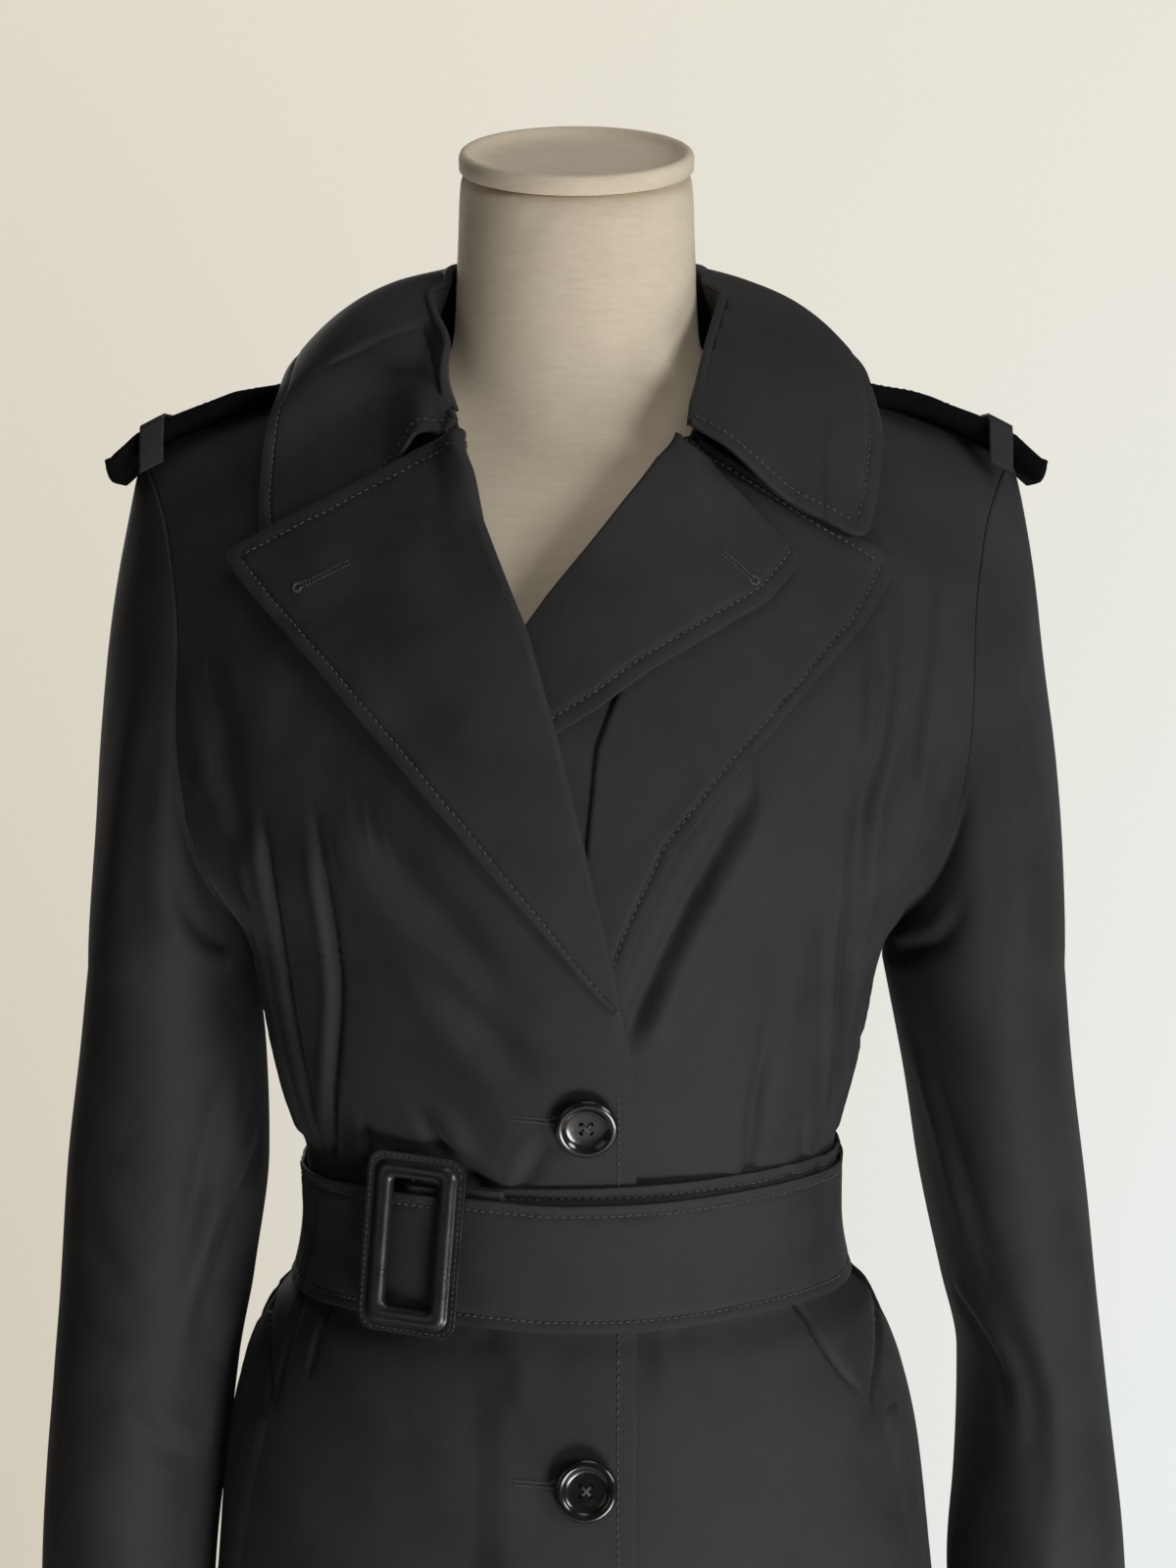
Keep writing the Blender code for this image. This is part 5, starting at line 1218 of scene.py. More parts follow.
def sleeve_grid(side, front, back, table):
    """A sleeve's plain rings, from the armhole over the cap and down to the cuff."""
    loop, shares = armhole_loop(front, back, side)
    first = sleeve_ring(table, side, table[-1].height, shares)
    cap = np.cos(np.pi * shares) ** 2
    drop = loop[:, 2] - first[:, 2]
    out, down = CAP_OUT[0] + CAP_OUT[1] * cap, -CAP_DOWN[0] - CAP_DOWN[1] * cap
    leave = points_of(side * out, (first[:, 1] - loop[:, 1]) * CAP_ROUND, down)
    arrive = points_of(0.0, 0.0, -drop)
    rings = [loop]
    for t in SLEEVE_CAP_STEPS:
        ring = loop * (1 + 2 * t) * (1 - t) ** 2 + leave * t * (1 - t) ** 2
        rings.append(ring + first * t * t * (3 - 2 * t) - arrive * t * t * (1 - t))
    for height in SLEEVE_ROWS:
        rings.append(sleeve_ring(table, side, height, shares))
    return np.array(rings), shares


def place_on_grid(grid, shares, share, height):
    """Row and column of the grid's point nearest to a share of the way round and a height."""
    column = np.abs(shares - share).argmin()
    row = np.abs(grid[:, column, 2] - height).argmin()
    return row, column


def make_sleeve(name, side, front, back, table, folds):
    grid, shares = sleeve_grid(side, front, back, tuple(sorted(table)))
    normals = grid_normals(grid, True, (side * SLEEVE_MIDDLE, 0.0))
    creases = Creases()
    for fold in folds:
        route = smooth_route(fold.route, ROUTE_POINTS)
        at = [place_on_grid(grid, shares, share, height) for share, height in route]
        line = np.array([grid[row, column] for row, column in at])
        kernel = np.ones(SMOOTHED) / SMOOTHED
        padded = np.pad(line, ((SMOOTHED // 2, SMOOTHED // 2), (0, 0)), mode="edge")
        line = np.stack([np.convolve(part, kernel, "valid") for part in padded.T], axis=-1)
        creases.add(fold, line, np.array([normals[row, column] for row, column in at]))
    fade = smooth_step(0, CAP_FADE, np.arange(len(grid))[:, None])
    waves = SLEEVE_WAVE_HEIGHT * unevenness(grid, SLEEVE_WAVE_SIZE, seed=8.1 * side)
    amount = (creases.offset(grid) + waves) * fade
    grid = grid + normals * amount[..., None]
    obj = sheet_object(name + "_cloth", grid, coat_cloth(), closed=True)
    ready(obj, (name,))


# ---------------------------------------------------------------- edges and rows of stitches
STITCH_INSET = 0.0070     # from a turned piece's edge to its row of stitches
BELT_INSET = 0.0050
FRONT_INSET = 0.0082
HEM_INSET = 0.030
GROOVE_DEPTH = 0.0008     # how far a row of stitches pulls the cloth in
GROOVE_WIDTH = 0.0014     # and over what width
PUCKER_SIZE = 0.0085      # from one pucker along the stitches to the next
PUCKER_SHARE = 0.8        # how uneven the puckers make that groove
MARGIN = (0.3, 0.7)       # shares of the inset between which puckers fully move the margin
ROWS_MEET = 0.97          # share of the inset at which one row of stitches stops by another
THREAD_RISE = 0.25        # how many radii above the cloth a row's threads lie
# Each edge of a grid: its axis, and whether it is counted from the far side.
EDGES = {"inner": (1, False), "outer": (1, True), "first": (0, False), "last": (0, True)}


def edge_distance(grid, edge):
    """How far each point of a grid lies from one of its edges, along the cloth."""
    axis, reverse = EDGES[edge]
    line = np.flip(grid, axis) if reverse else grid
    steps = np.linalg.norm(np.diff(line, axis=axis), axis=-1)
    zero = np.zeros_like(np.take(steps, [0], axis=axis))
    along = np.cumsum(np.concatenate((zero, steps), axis=axis), axis=axis)
    return np.flip(along, axis) if reverse else along


def nearest_edge(grid, edges):
    return np.minimum.reduce([edge_distance(grid, edge) for edge in edges])


def inset_line(grid, values, edge, inset):
    """Along one edge, the values of the grid at this distance in from that edge."""
    axis, reverse = EDGES[edge]
    distance = edge_distance(grid, edge)
    if axis == 0:
        distance, values = distance.T, values.transpose(1, 0, 2)
    line = []
    for gaps, row in zip(distance, values):
        if reverse:
            gaps, row = gaps[::-1], row[::-1]
        line.append([np.interp(inset, gaps, row[:, k]) for k in range(row.shape[1])])
    return np.array(line)


def grooved(grid, normals, edges, inset):
    """The grid sunk in a puckered groove where its edges' stitches run."""
    gap = nearest_edge(grid, edges)
    pucker = 1 + PUCKER_SHARE * unevenness(grid, PUCKER_SIZE, seed=9.3)
    depth = -GROOVE_DEPTH * pucker * np.exp(-((gap - inset) / GROOVE_WIDTH) ** 2)
    margin = smooth_step(0, inset * MARGIN[0], gap) * (1 - smooth_step(inset * MARGIN[1], inset, gap))
    depth = depth + 0.5 * GROOVE_DEPTH * (pucker - 1) * margin
    return grid + normals * depth[..., None]


def stitch_edges(stitches, grid, normals, edges, inset, wall, keep=None):
    """Rows of stitches along these edges of a sheet, stopping where two rows meet."""
    gaps = {edge: edge_distance(grid, edge) for edge in edges}
    for edge in edges:
        line = inset_line(grid, grid, edge, inset)
        away = unit(inset_line(grid, normals, edge, inset))
        clear = np.full(len(line), np.inf)
        for other in edges:
            if other != edge:
                gap = inset_line(grid, gaps[other][..., None], edge, inset)[:, 0]
                clear = np.minimum(clear, gap)
        good = clear > inset * ROWS_MEET
        if keep is not None:
            good &= keep(line)
        if good.sum() > 3:
            place = line[good] + away[good] * (wall / 2 + STITCH_RADIUS * THREAD_RISE)
            stitches.row(place, away[good])


def rounded(grid, edges, radius):
    """The same grid with the corner between two of its edges rounded."""
    gaps = [edge_distance(grid, edge) for edge in edges]
    near = [np.clip(1 - gap / radius, 0.0, 1.0) for gap in gaps]
    moved = grid.copy()
    for k, edge in enumerate(edges):
        axis, reverse = EDGES[edge]
        inward = unit(np.gradient(grid, axis=axis)) * (-1.0 if reverse else 1.0)
        drawn = near[k] * (1 - np.sqrt(1 - near[1 - k] ** 2 / 2))
        moved = moved + inward * (radius * drawn)[..., None]
    return moved


def facing(grid, reference):
    """The grid's unit normals, on the side that a reference direction points to."""
    normals = unit(np.cross(np.gradient(grid, axis=1), np.gradient(grid, axis=0)))
    return normals if np.sum(normals * np.array(reference, float)) > 0 else -normals


def cloth_piece(name, grid, nodes, wall=DOUBLE_CLOTH, closed=False):
    obj = sheet_object(name, grid, coat_cloth(), wall, closed)
    ready(obj, nodes)
    return obj


# ---------------------------------------------------------------- turned pieces on the fronts
# How far from the free edge of a turned or folded piece its last columns lie.
EDGE_GAPS = np.array((0.0120, 0.0100, 0.0088, 0.0080, 0.0074, 0.0070, 0.0066, 0.0060, 0.0050,
                      0.0036, 0.0022, 0.0010, 0.0))
ROLL_STEPS = 7
CORNER_RADIUS = 0.0065
FOLD_ROLL = 0.5           # radius of a lapel's rolled fold, as a share of its lift
TURNED_ROWS = 140
TURNED_COLUMNS = 60       # between the fold and the edge's own columns
TURNED_LIFT = 0.006       # about how far these pieces lie off the torso
TURNED_WAVE_SIZE = 0.045
TURNED_WAVE_HEIGHT = 0.0007


def columns_over(reach, inner):
    """The columns as shares of the way from the fold to the free edge, for each row."""
    gaps = EDGE_GAPS[None] * np.minimum(1.0, 0.5 * reach / EDGE_GAPS[0])
    strip = 1 - gaps / reach
    return np.hstack((np.linspace(0, 1, inner, endpoint=False)[None] * strip[:, :1], strip))


def turned_grid(rows, side, count, inner, base_lift=None):
    """A turned piece's plain surface: rows along it, columns from the fold to the edge."""
    spot = np.linspace(0, len(rows) - 1, count)
    keys = np.arange(len(rows))
    at = {name: np.interp(spot, keys, [getattr(row, name) for row in rows])[:, None]
          for name in Turned._fields}
    reach = np.hypot(at["edge_across"] - at["fold_across"], at["edge_height"] - at["fold_height"])
    over = columns_over(reach, inner)
    across = side * mixed(at["fold_across"], at["edge_across"], over)
    height = mixed(at["fold_height"], at["edge_height"], over)
    lift = mixed(at["fold_lift"], at["edge_lift"], over)
    if base_lift is not None:
        lift = lift + base_lift(across, height)
    return across, height, lift, over


def rolled_fold(grid, normals, radii):
    """Columns before the first that roll the cloth back under itself along its fold."""
    start, inward = grid[:, 0], unit(grid[:, 2] - grid[:, 0])
    radii = radii[:, None]
    roll = []
    for k in range(ROLL_STEPS, 0, -1):
        angle = math.pi * k / ROLL_STEPS
        roll.append(start - inward * radii * math.sin(angle)
                    - normals[:, 0] * radii * (1 - math.cos(angle)))
    return np.concatenate((np.stack(roll, axis=1), grid), axis=1)


def surface_creases(folds):
    creases = Creases()
    for fold in folds:
        route = smooth_route(fold.route, ROUTE_POINTS)
        line = on_torso(route[:, 0], route[:, 1], TURNED_LIFT)
        creases.add(fold, line, outward(route[:, 0], route[:, 1]))
    return creases


def make_turned(name, rows, folds, edges, base_lift=None, rolled=True,
                count=TURNED_ROWS, inner=TURNED_COLUMNS):
    """A piece that lies on the fronts, with its stitches, which are left open to add to."""
    across, height, lift, _ = turned_grid(rows, 1, count, inner, base_lift)
    normals = outward(across, height)
    grid = on_torso(across, height, lift)
    grid = rounded(grid, ("outer", "last"), CORNER_RADIUS)
    waves = TURNED_WAVE_HEIGHT * unevenness(grid, TURNED_WAVE_SIZE, seed=3.2)
    soft = surface_creases(folds).offset(grid) + waves
    grid = grid + normals * soft[..., None]
    grid = grooved(grid, normals, edges, STITCH_INSET)
    body = grid
    if rolled:
        fold_lift = np.interp(np.linspace(0, len(rows) - 1, count), np.arange(len(rows)),
                              [row.fold_lift for row in rows])
        body = rolled_fold(grid, normals, fold_lift * FOLD_ROLL)
    cloth_piece(name + "_cloth", body, (name,))
    stitches = Stitching(name + "_stitches")
    stitch_edges(stitches, grid, normals, edges, STITCH_INSET, DOUBLE_CLOTH)
    return grid, stitches


LAPEL_RIGHT_FOLDS = (
    Fold(((-0.088, 1.318), (-0.072, 1.285), (-0.046, 1.250), (-0.020, 1.215)),
         0.0012, 0.0110, 0.0, 0.35, 0.40),
    Fold(((-0.140, 1.318), (-0.112, 1.320), (-0.080, 1.333)), 0.0010, 0.0080, 0.0, 0.20, 0.40),
    Fold(((-0.096, 1.262), (-0.070, 1.275), (-0.048, 1.300)), 0.0010, 0.0120, 0.0, 0.35, 0.40),
)
LAPEL_LEFT_FOLDS = (
    Fold(((0.128, 1.306), (0.112, 1.318), (0.090, 1.338)), 0.0012, 0.0080, 0.0, 0.30, 0.40),
    Fold(((0.036, 1.225), (0.040, 1.240), (0.052, 1.262)), 0.0010, 0.0090, 0.0, 0.30, 0.40),
)
# Buttonholes as (across, height) places: the plain end, then the eye.
LAPEL_BUTTONHOLE = ((-0.0975, 1.341), (-0.1185, 1.3317))
FLAP_BUTTONHOLE = ((0.0615, 1.3455), (0.0735, 1.3345))
BUTTONHOLE_STEPS = 18
BUTTONHOLE_RISE = 0.3     # how many radii above the cloth its threads lie


def buttonhole_at(stitches, ends, lift):
    """A keyhole buttonhole on the front's surface from its plain end to its eye."""
    start, eye = np.array(ends)
    route = mixed(start, eye, np.linspace(0, 1, BUTTONHOLE_STEPS)[:, None])
    line = on_torso(route[:, 0], route[:, 1], lift(route[:, 0], route[:, 1]))
    stitches.buttonhole(line, outward(route[:, 0], route[:, 1]))


def lift_on(grid, wall):
    """How far a piece's face stands off the torso near a place, as a function of it."""
    flat = grid.reshape(-1, 3)

    def at(across, height):
        gap = (flat[None, :, 0] - across[:, None]) ** 2 + (flat[None, :, 2] - height[:, None]) ** 2
        near = flat[gap.argmin(1)]
        foot = points_of(near[:, 0], torso_depth(near[:, 0], near[:, 2]), near[:, 2])
        stand = np.einsum("ij,ij->i", near - foot, outward(near[:, 0], near[:, 2]))
        return stand + wall / 2 + STITCH_RADIUS * BUTTONHOLE_RISE

    return at


def make_lapels_and_flap():
    grid, stitches = make_turned(
        "lapel_right", LAPEL_RIGHT, LAPEL_RIGHT_FOLDS, ("outer", "last"),
        base_lift=right_front_lift)
    buttonhole_at(stitches, LAPEL_BUTTONHOLE, lift_on(grid, DOUBLE_CLOTH))
    stitches.make()
    grid, stitches = make_turned(
        "lapel_left", LAPEL_LEFT, LAPEL_LEFT_FOLDS, ("outer", "last"))
    stitches.make()
    grid, stitches = make_turned(
        "throat_flap", THROAT_FLAP, (), ("outer", "first"), rolled=False,
        inner=40, count=120)
    buttonhole_at(stitches, FLAP_BUTTONHOLE, lift_on(grid, DOUBLE_CLOTH))
    stitches.make()


WELT_ROWS = 110
WELT_COLUMNS = 12
WELT_NEARNESS = 0.5       # how much of its solid's clearance each welt keeps at its free edge
WELT_SUNK = -0.0012       # its other edge is sewn into the front
WELT_RISE = 0.7           # share of its width over which it rises from that edge
WELT_TIP = 0.09           # share of its length over which it rises from its top end


def make_pocket_welts():
    for name, side in (("pocket_welt_right", -1), ("pocket_welt_left", 1)):
        across, height, lift, over = turned_grid(POCKET_WELT, side, WELT_ROWS, WELT_COLUMNS)
        normals = outward(across, height)
        tip = smooth_step(0.0, WELT_TIP, np.linspace(0, 1, WELT_ROWS))[:, None]
        lift = mixed(WELT_SUNK, lift * WELT_NEARNESS, smooth_step(0.0, WELT_RISE, over) * tip)
        grid = on_torso(across, height, lift)
        grid = grid + normals * torso_offset(grid)[..., None]
        cloth_piece(name + "_cloth", grid, (name,), wall=CLOTH)


# ---------------------------------------------------------------- collar
# Places round the collar run from its front ends (1) to the centre back (0).
COLLAR_ROWS = 190
COLLAR_INNER = 40
COLLAR_EVENNESS = 0.6     # 1 spaces its rows evenly, and 0 crowds them at the front ends
COLLAR_ROLL = 0.0013      # radius of its rolled fold line
COLLAR_STEP = 0.02        # between the places that its direction is worked out from
COLLAR_BACK = 0.3         # up to here its upper side faces back, and beyond here up
COLLAR_FLATTER = (0.72, 0.97)   # where its arch sinks towards its front ends
COLLAR_END_BULGE = 0.3    # how much of its arch it keeps there
COLLAR_ON_FRONTS = (0.70, 0.74)     # where it starts to keep clear of the fronts
COLLAR_CLEAR = 0.0030     # by at least this much
RIGHT_END_LIES = (0.78, 0.92)   # where its right end settles on the right front
RIGHT_END_LIFT = (0.0052, 0.0040)   # and how high, at its fold and at its edge
LEFT_END_LIES = (0.80, 0.96)    # where its left end settles on the left front
LEFT_END_OVER = (0.10, 0.60)    # and over what shares of the way to its edge
LEFT_END_LIFT = (0.0130, 0.0102)    # and how high at most, at its fold and at its edge
COLLAR_WAVE_SIZE = 0.060
COLLAR_WAVE_HEIGHT = 0.0016
COLLAR_WAVE_FROM = 0.3    # share of the way to its edge by which it is fully uneven
LEFT_END_BOWS = 0.86      # where its left front end starts to bow down
COLLAR_END_CURVE = 0.0036       # and how much
RIGHT_END_ARCHES = 0.84   # where its right front end starts to arch up by the fold
COLLAR_ARCH = np.array((0.0, -0.0040, 0.0090))
COLLAR_ARCH_SHARE = 0.34
COLLAR_CORNER = 0.0085
STAND_RUN = (-0.95, 0.93) # where the stand ends on the right and on the left
STAND_ROWS = 150
STAND_COLUMNS = 14
STAND_FOOT = 0.0006       # how far above the neckline it starts
STAND_INSET = 0.0008      # and how far inside it


def neck_point(around, kind):
    """Points of the neckline, fold line or fall edge; around runs from the right front
    end (-1) by the back (0) to the left front end (1)."""
    side = np.copysign(1.0, around)
    place = []
    for axis in ("_x", "_y", "_z"):
        left = through(NECK_LEFT, kind + axis)(np.abs(around))
        right = through(NECK_RIGHT, kind + axis)(np.abs(around))
        place.append(np.where(side > 0, left, right))
    return points_of(side * place[0], place[1], place[2])


def collar_fall(around):
    """The fall's plain surface, row by row round the neck, settled on the fronts."""
    fold, edge = neck_point(around, "fold"), neck_point(around, "edge")
    after, before = np.minimum(around + COLLAR_STEP, 1), np.maximum(around - COLLAR_STEP, -1)
    arch = unit(np.cross(neck_point(after, "fold") - neck_point(before, "fold"), edge - fold))
    back = np.abs(around) <= COLLAR_BACK
    flip = np.where(back, arch[:, 1], arch[:, 2]) < 0
    arch = np.where(flip[:, None], -arch, arch)[:, None]
    over = columns_over(np.linalg.norm(edge - fold, axis=1)[:, None], COLLAR_INNER)
    grid = mixed(fold[:, None], edge[:, None], over[..., None])
    flatter = smooth_step(*COLLAR_FLATTER, np.abs(around))
    bulge = COLLAR_BULGE * mixed(1.0, COLLAR_END_BULGE, flatter)
    grid = grid + arch * (bulge[:, None] * 4 * over * (1 - over))[..., None]
    for row in np.flatnonzero(np.abs(around) > COLLAR_ON_FRONTS[0]):
        line = grid[row]
        normal = outward(line[:, 0], line[:, 2])
        foot = points_of(line[:, 0], torso_depth(line[:, 0], line[:, 2]), line[:, 2])
        lift = np.einsum("ij,ij->i", line - foot, normal)
        if around[row] < 0:
            lying = smooth_step(*RIGHT_END_LIES, -around[row])
            lift = mixed(lift, mixed(*RIGHT_END_LIFT, over[row]), lying)
            line = mixed(line, foot + normal * lift[:, None], lying)
        else:
            lying = smooth_step(*LEFT_END_LIES, around[row]) * smooth_step(*LEFT_END_OVER, over[row])
            near = np.minimum(lift, mixed(*LEFT_END_LIFT, over[row]))
            line = line + normal * ((near - lift) * lying)[:, None]
            lift = mixed(lift, near, lying)
        ease = smooth_step(*COLLAR_ON_FRONTS, abs(around[row]))
        grid[row] = line + normal * (np.maximum(0.0, COLLAR_CLEAR - lift) * ease)[:, None]
    return grid, over


def make_collar():
    even = np.linspace(-1, 1, COLLAR_ROWS)
    around = mixed(np.sin(even * math.pi / 2), even, COLLAR_EVENNESS)
    grid, over = collar_fall(around)
    normals = facing(grid, (0.0, 0.0, 1.0))
    if np.sum(normals * (grid * (1.0, 1.0, 0.0))) < 0:
        normals = -normals
    waves = COLLAR_WAVE_HEIGHT * unevenness(grid, COLLAR_WAVE_SIZE, seed=5.4)
    grid = grid + normals * (waves * smooth_step(0, COLLAR_WAVE_FROM, over))[..., None]
    end = smooth_step(LEFT_END_BOWS, 1.0, around)[:, None]
    grid[..., 2] -= COLLAR_END_CURVE * end * np.sin(np.pi * over)
    end = smooth_step(-RIGHT_END_ARCHES, -1.0, around)[:, None]
    arch = np.sin(np.pi * np.clip(over / COLLAR_ARCH_SHARE, 0.0, 1.0)) ** 2
    grid = grid + COLLAR_ARCH * (end * arch)[..., None]
    for end in ("first", "last"):
        grid = rounded(grid, ("outer", end), COLLAR_CORNER)
    edges = ("outer", "first", "last")
    grid = grooved(grid, normals, edges, STITCH_INSET)
    fold = grid[:, 0]
    inward = unit(fold * (-1.0, -1.0, 0.0))
    roll = []
    for k in range(ROLL_STEPS, 0, -1):
        angle = math.pi * k / ROLL_STEPS
        rise = np.array((0, 0, COLLAR_ROLL * math.sin(angle)))
        roll.append(fold + inward * COLLAR_ROLL * (1 - math.cos(angle)) + rise)
    body = np.concatenate((np.stack(roll, axis=1), grid), axis=1)
    cloth_piece("collar_cloth", body, ("collar",))
    stitches = Stitching("collar_stitches")
    stitch_edges(stitches, grid, normals, edges, STITCH_INSET, DOUBLE_CLOTH)
    stitches.make()
    make_collar_stand(around, body[:, 0])


def make_collar_stand(collar_around, collar_line):
    """The upright strip from the neckline to where the collar's fall rolls over."""
    around = np.linspace(*STAND_RUN, STAND_ROWS)
    top = np.stack([np.interp(around, collar_around, part) for part in collar_line.T], axis=-1)
    inward = unit(top * (-1.0, -1.0, 0.0))
    low = neck_point(around, "neck") + np.array((0, 0, STAND_FOOT)) + inward * STAND_INSET
    grid = mixed(low[:, None], top[:, None], np.linspace(0, 1, STAND_COLUMNS)[None, :, None])
    cloth_piece("collar_stand_cloth", grid, ("collar_stand",),
                wall=CLOTH)


# ---------------------------------------------------------------- epaulettes
EPAULETTE_EDGES = ("inner", "outer", "first", "last")
EPAULETTE_INSET = 0.0050
STRAP_ROWS = 56
STRAP_COLUMNS = 33
STRAP_LIFT = (0.0042, 0.0095)   # off the shoulder seam, at its inner end and further out
STRAP_RISES = (0.13, 0.165)     # how far across it rises from one to the other
STRAP_FALL = 0.9          # how steeply it runs down past the shoulder's end
STRAP_DROOP = 0.0012      # how much lower its edges lie than its middle
STRAP_EDGE = 0.0016       # how thick its edges are
STRAP_WAVE_SIZE = 0.03
STRAP_WAVE_HEIGHT = 0.0006
STRAP_UNDER = 19          # points across its under side
STRAP_UNDER_WIDTH = 0.97  # how much of its width that side takes
STRAP_BELLY = (0.0060, 0.0085)  # how far its under side hangs below its edges, inside and outside
STRAP_HANGS = (0.196, 0.212)    # how far across it goes from one to the other
STRAP_FULLNESS = 8        # how evenly full the belly is from edge to edge
STRAP_CLEAR = 0.0006      # how far above the shoulder its under side keeps
STRAP_ROUND = 0.0022      # how far its rounded end reaches
STRAP_END = (0.35, 0.65, 0.85, 0.96, 0.999)     # the rings of that end, as shares of its reach
SHOULDER_END = 0.004      # how far short of its last section the shoulder's form is followed
SLEEVE_FALL = 1.3         # how steeply the sleeve's head runs down from there
SHOULDER_LOW = 1.32       # height from which the shoulder is measured
SHOULDER_STEPS = 120
LOOP_CLEAR = 0.0012       # between the strap and the loop over it
LOOP_BEYOND = 0.0026      # how far past the strap's edges the loop turns down
# Half of the loop's path across the strap: share of its reach and metres beyond it, height.
LOOP_PATH = ((1.0, 0.0022, -0.0212), (1.0, 0.0014, -0.0120), (1.0, 0.0, -0.0050),
             (0.90, 0.0, 0.0), (0.5, 0.0, 0.0))
LOOP_POINTS = 90
LOOP_COLUMNS = 12


def epaulette_point(side, across, depth, lift=0.0):
    """A place on top of the strap, this far across and behind the strap's middle."""
    beyond = np.maximum(0.0, across - SHOULDER[-1].across)
    shoulder = through(SHOULDER, "height")(across) - beyond * STRAP_FALL
    rise = mixed(*STRAP_LIFT, smooth_step(*STRAP_RISES, across))
    droop = STRAP_DROOP * (depth / EPAULETTE_HALF_WIDTH) ** 2
    return points_of(side * across, EPAULETTE_MIDDLE + depth, shoulder + rise - droop + lift)


def shoulder_height(across, depth):
    """How high the coat's shoulder lies at a place seen from above."""
    top = float(through(SHOULDER, "height")(across)) - 1e-4
    heights = np.linspace(SHOULDER_LOW, top, SHOULDER_STEPS)
    back = depth > SHOULDER[0].depth
    depths = torso_depth(np.full(heights.shape, across), heights, back)
    order = depths.argsort()
    return np.interp(depth, depths[order], heights[order])


def strap_sections(side, across, top):
    """Closed sections round the doubled strap: over its top, and back below it, where it
    lies on the shoulder and hangs over it at both edges."""
    under = np.linspace(STRAP_UNDER_WIDTH, -STRAP_UNDER_WIDTH, STRAP_UNDER)
    depth = EPAULETTE_HALF_WIDTH * under
    lower = epaulette_point(side, across[:, None], depth[None] * 0)
    lower[..., 1] += depth
    belly = mixed(*STRAP_BELLY, smooth_step(*STRAP_HANGS, across))[:, None]
    full = 1 - (under / STRAP_UNDER_WIDTH) ** STRAP_FULLNESS
    lower[..., 2] -= STRAP_DROOP + STRAP_EDGE + belly * full
    ends_at = SHOULDER[-1].across - SHOULDER_END
    for row, place in enumerate(across):
        inside = min(place, ends_at)
        lying = np.array([shoulder_height(inside, EPAULETTE_MIDDLE + d) for d in depth])
        lying = lying - max(0.0, place - ends_at) * SLEEVE_FALL + STRAP_CLEAR
        lower[row, :, 2] = np.maximum(lower[row, :, 2], lying)
    return np.concatenate((top, lower), axis=1)


def strap_end(side, ring, tops):
    """Rings that close the strap's outer end in a round edge."""
    upper = np.interp(ring[:, 1], ring[:tops, 1], ring[:tops, 2])
    lower = np.interp(ring[:, 1], ring[tops:, 1][::-1], ring[tops:, 2][::-1])
    middle = np.stack((ring[:, 0], ring[:, 1], (upper + lower) / 2), axis=-1)
    rings = []
    for share in STRAP_END:
        turned = mixed(middle, ring, math.sqrt(1 - share ** 2))
        rings.append(turned + (side * STRAP_ROUND * share, 0.0, 0.0))
    return np.array(rings)


def make_strap(name, side):
    across = np.linspace(EPAULETTE_INNER, EPAULETTE_OUTER, STRAP_ROWS)
    depth = EPAULETTE_HALF_WIDTH * np.linspace(-1, 1, STRAP_COLUMNS)[None]
    plain = epaulette_point(side, across[:, None], depth)
    waves = STRAP_WAVE_HEIGHT * unevenness(plain, STRAP_WAVE_SIZE, seed=side * 4.1)
    grid = epaulette_point(side, across[:, None], depth, waves)
    normals = facing(grid, (0, 0, 1))
    grid = grooved(grid, normals, EPAULETTE_EDGES, EPAULETTE_INSET)
    body = strap_sections(side, across, grid)
    body = np.concatenate((body, strap_end(side, body[-1], STRAP_COLUMNS)))
    obj = cloth_piece("epaulette_%s_cloth" % name, body, ("epaulette_" + name,),
                      wall=CLOTH, closed=True)
    # Painted shade: the strap's under side, its edges and its outer end take the near-black cloth, which
    # stands in for the deep shade under the raised strap.
    obj.data.materials.append(painted_shade_cloth())
    for face in obj.data.polygons:
        row, column = divmod(min(face.vertices), body.shape[1])
        if row >= STRAP_ROWS - 1 or not 0 < column < STRAP_COLUMNS - 2:
            face.material_index = 1
    stitches = Stitching("epaulette_%s_stitches" % name)
    stitch_edges(stitches, grid, normals, EPAULETTE_EDGES, EPAULETTE_INSET, CLOTH)
    stitches.make()


def make_strap_loop(name, side):
    clear = (DOUBLE_CLOTH + LOOP_CLOTH) / 2 + LOOP_CLEAR
    reach = EPAULETTE_HALF_WIDTH + LOOP_BEYOND
    half = [(-reach * share - beyond, rise) for share, beyond, rise in LOOP_PATH]
    path = half + [(0.0, 0.0)] + [(-place, rise) for place, rise in half[::-1]]
    path = smooth_route(path, LOOP_POINTS)
    across = LOOP_ACROSS + LOOP_HALF_WIDTH * np.linspace(-1, 1, LOOP_COLUMNS)[:, None]
    grid = epaulette_point(side, across, path[None, :, 0], clear + path[None, :, 1])
    cloth_piece("epaulette_loop_%s_cloth" % name, grid, ("epaulette_loop_" + name,),
                wall=LOOP_CLOTH)


def make_epaulettes():
    for name, side in (("right", -1), ("left", 1)):
        make_strap(name, side)
        make_strap_loop(name, side)


# ---------------------------------------------------------------- belt
BELT_COLUMNS = np.array((-1, -0.985, -0.95, -0.90, -0.86, -0.825, -0.79, -0.74, -0.65, -0.5, -0.33,
                         -0.16, 0, 0.16, 0.33, 0.5, 0.65, 0.74, 0.79, 0.825, 0.86, 0.90, 0.95, 0.985, 1))
BELT_START_STEPS = 24
BELT_BEND_STEPS = 12
BELT_RUN = 460
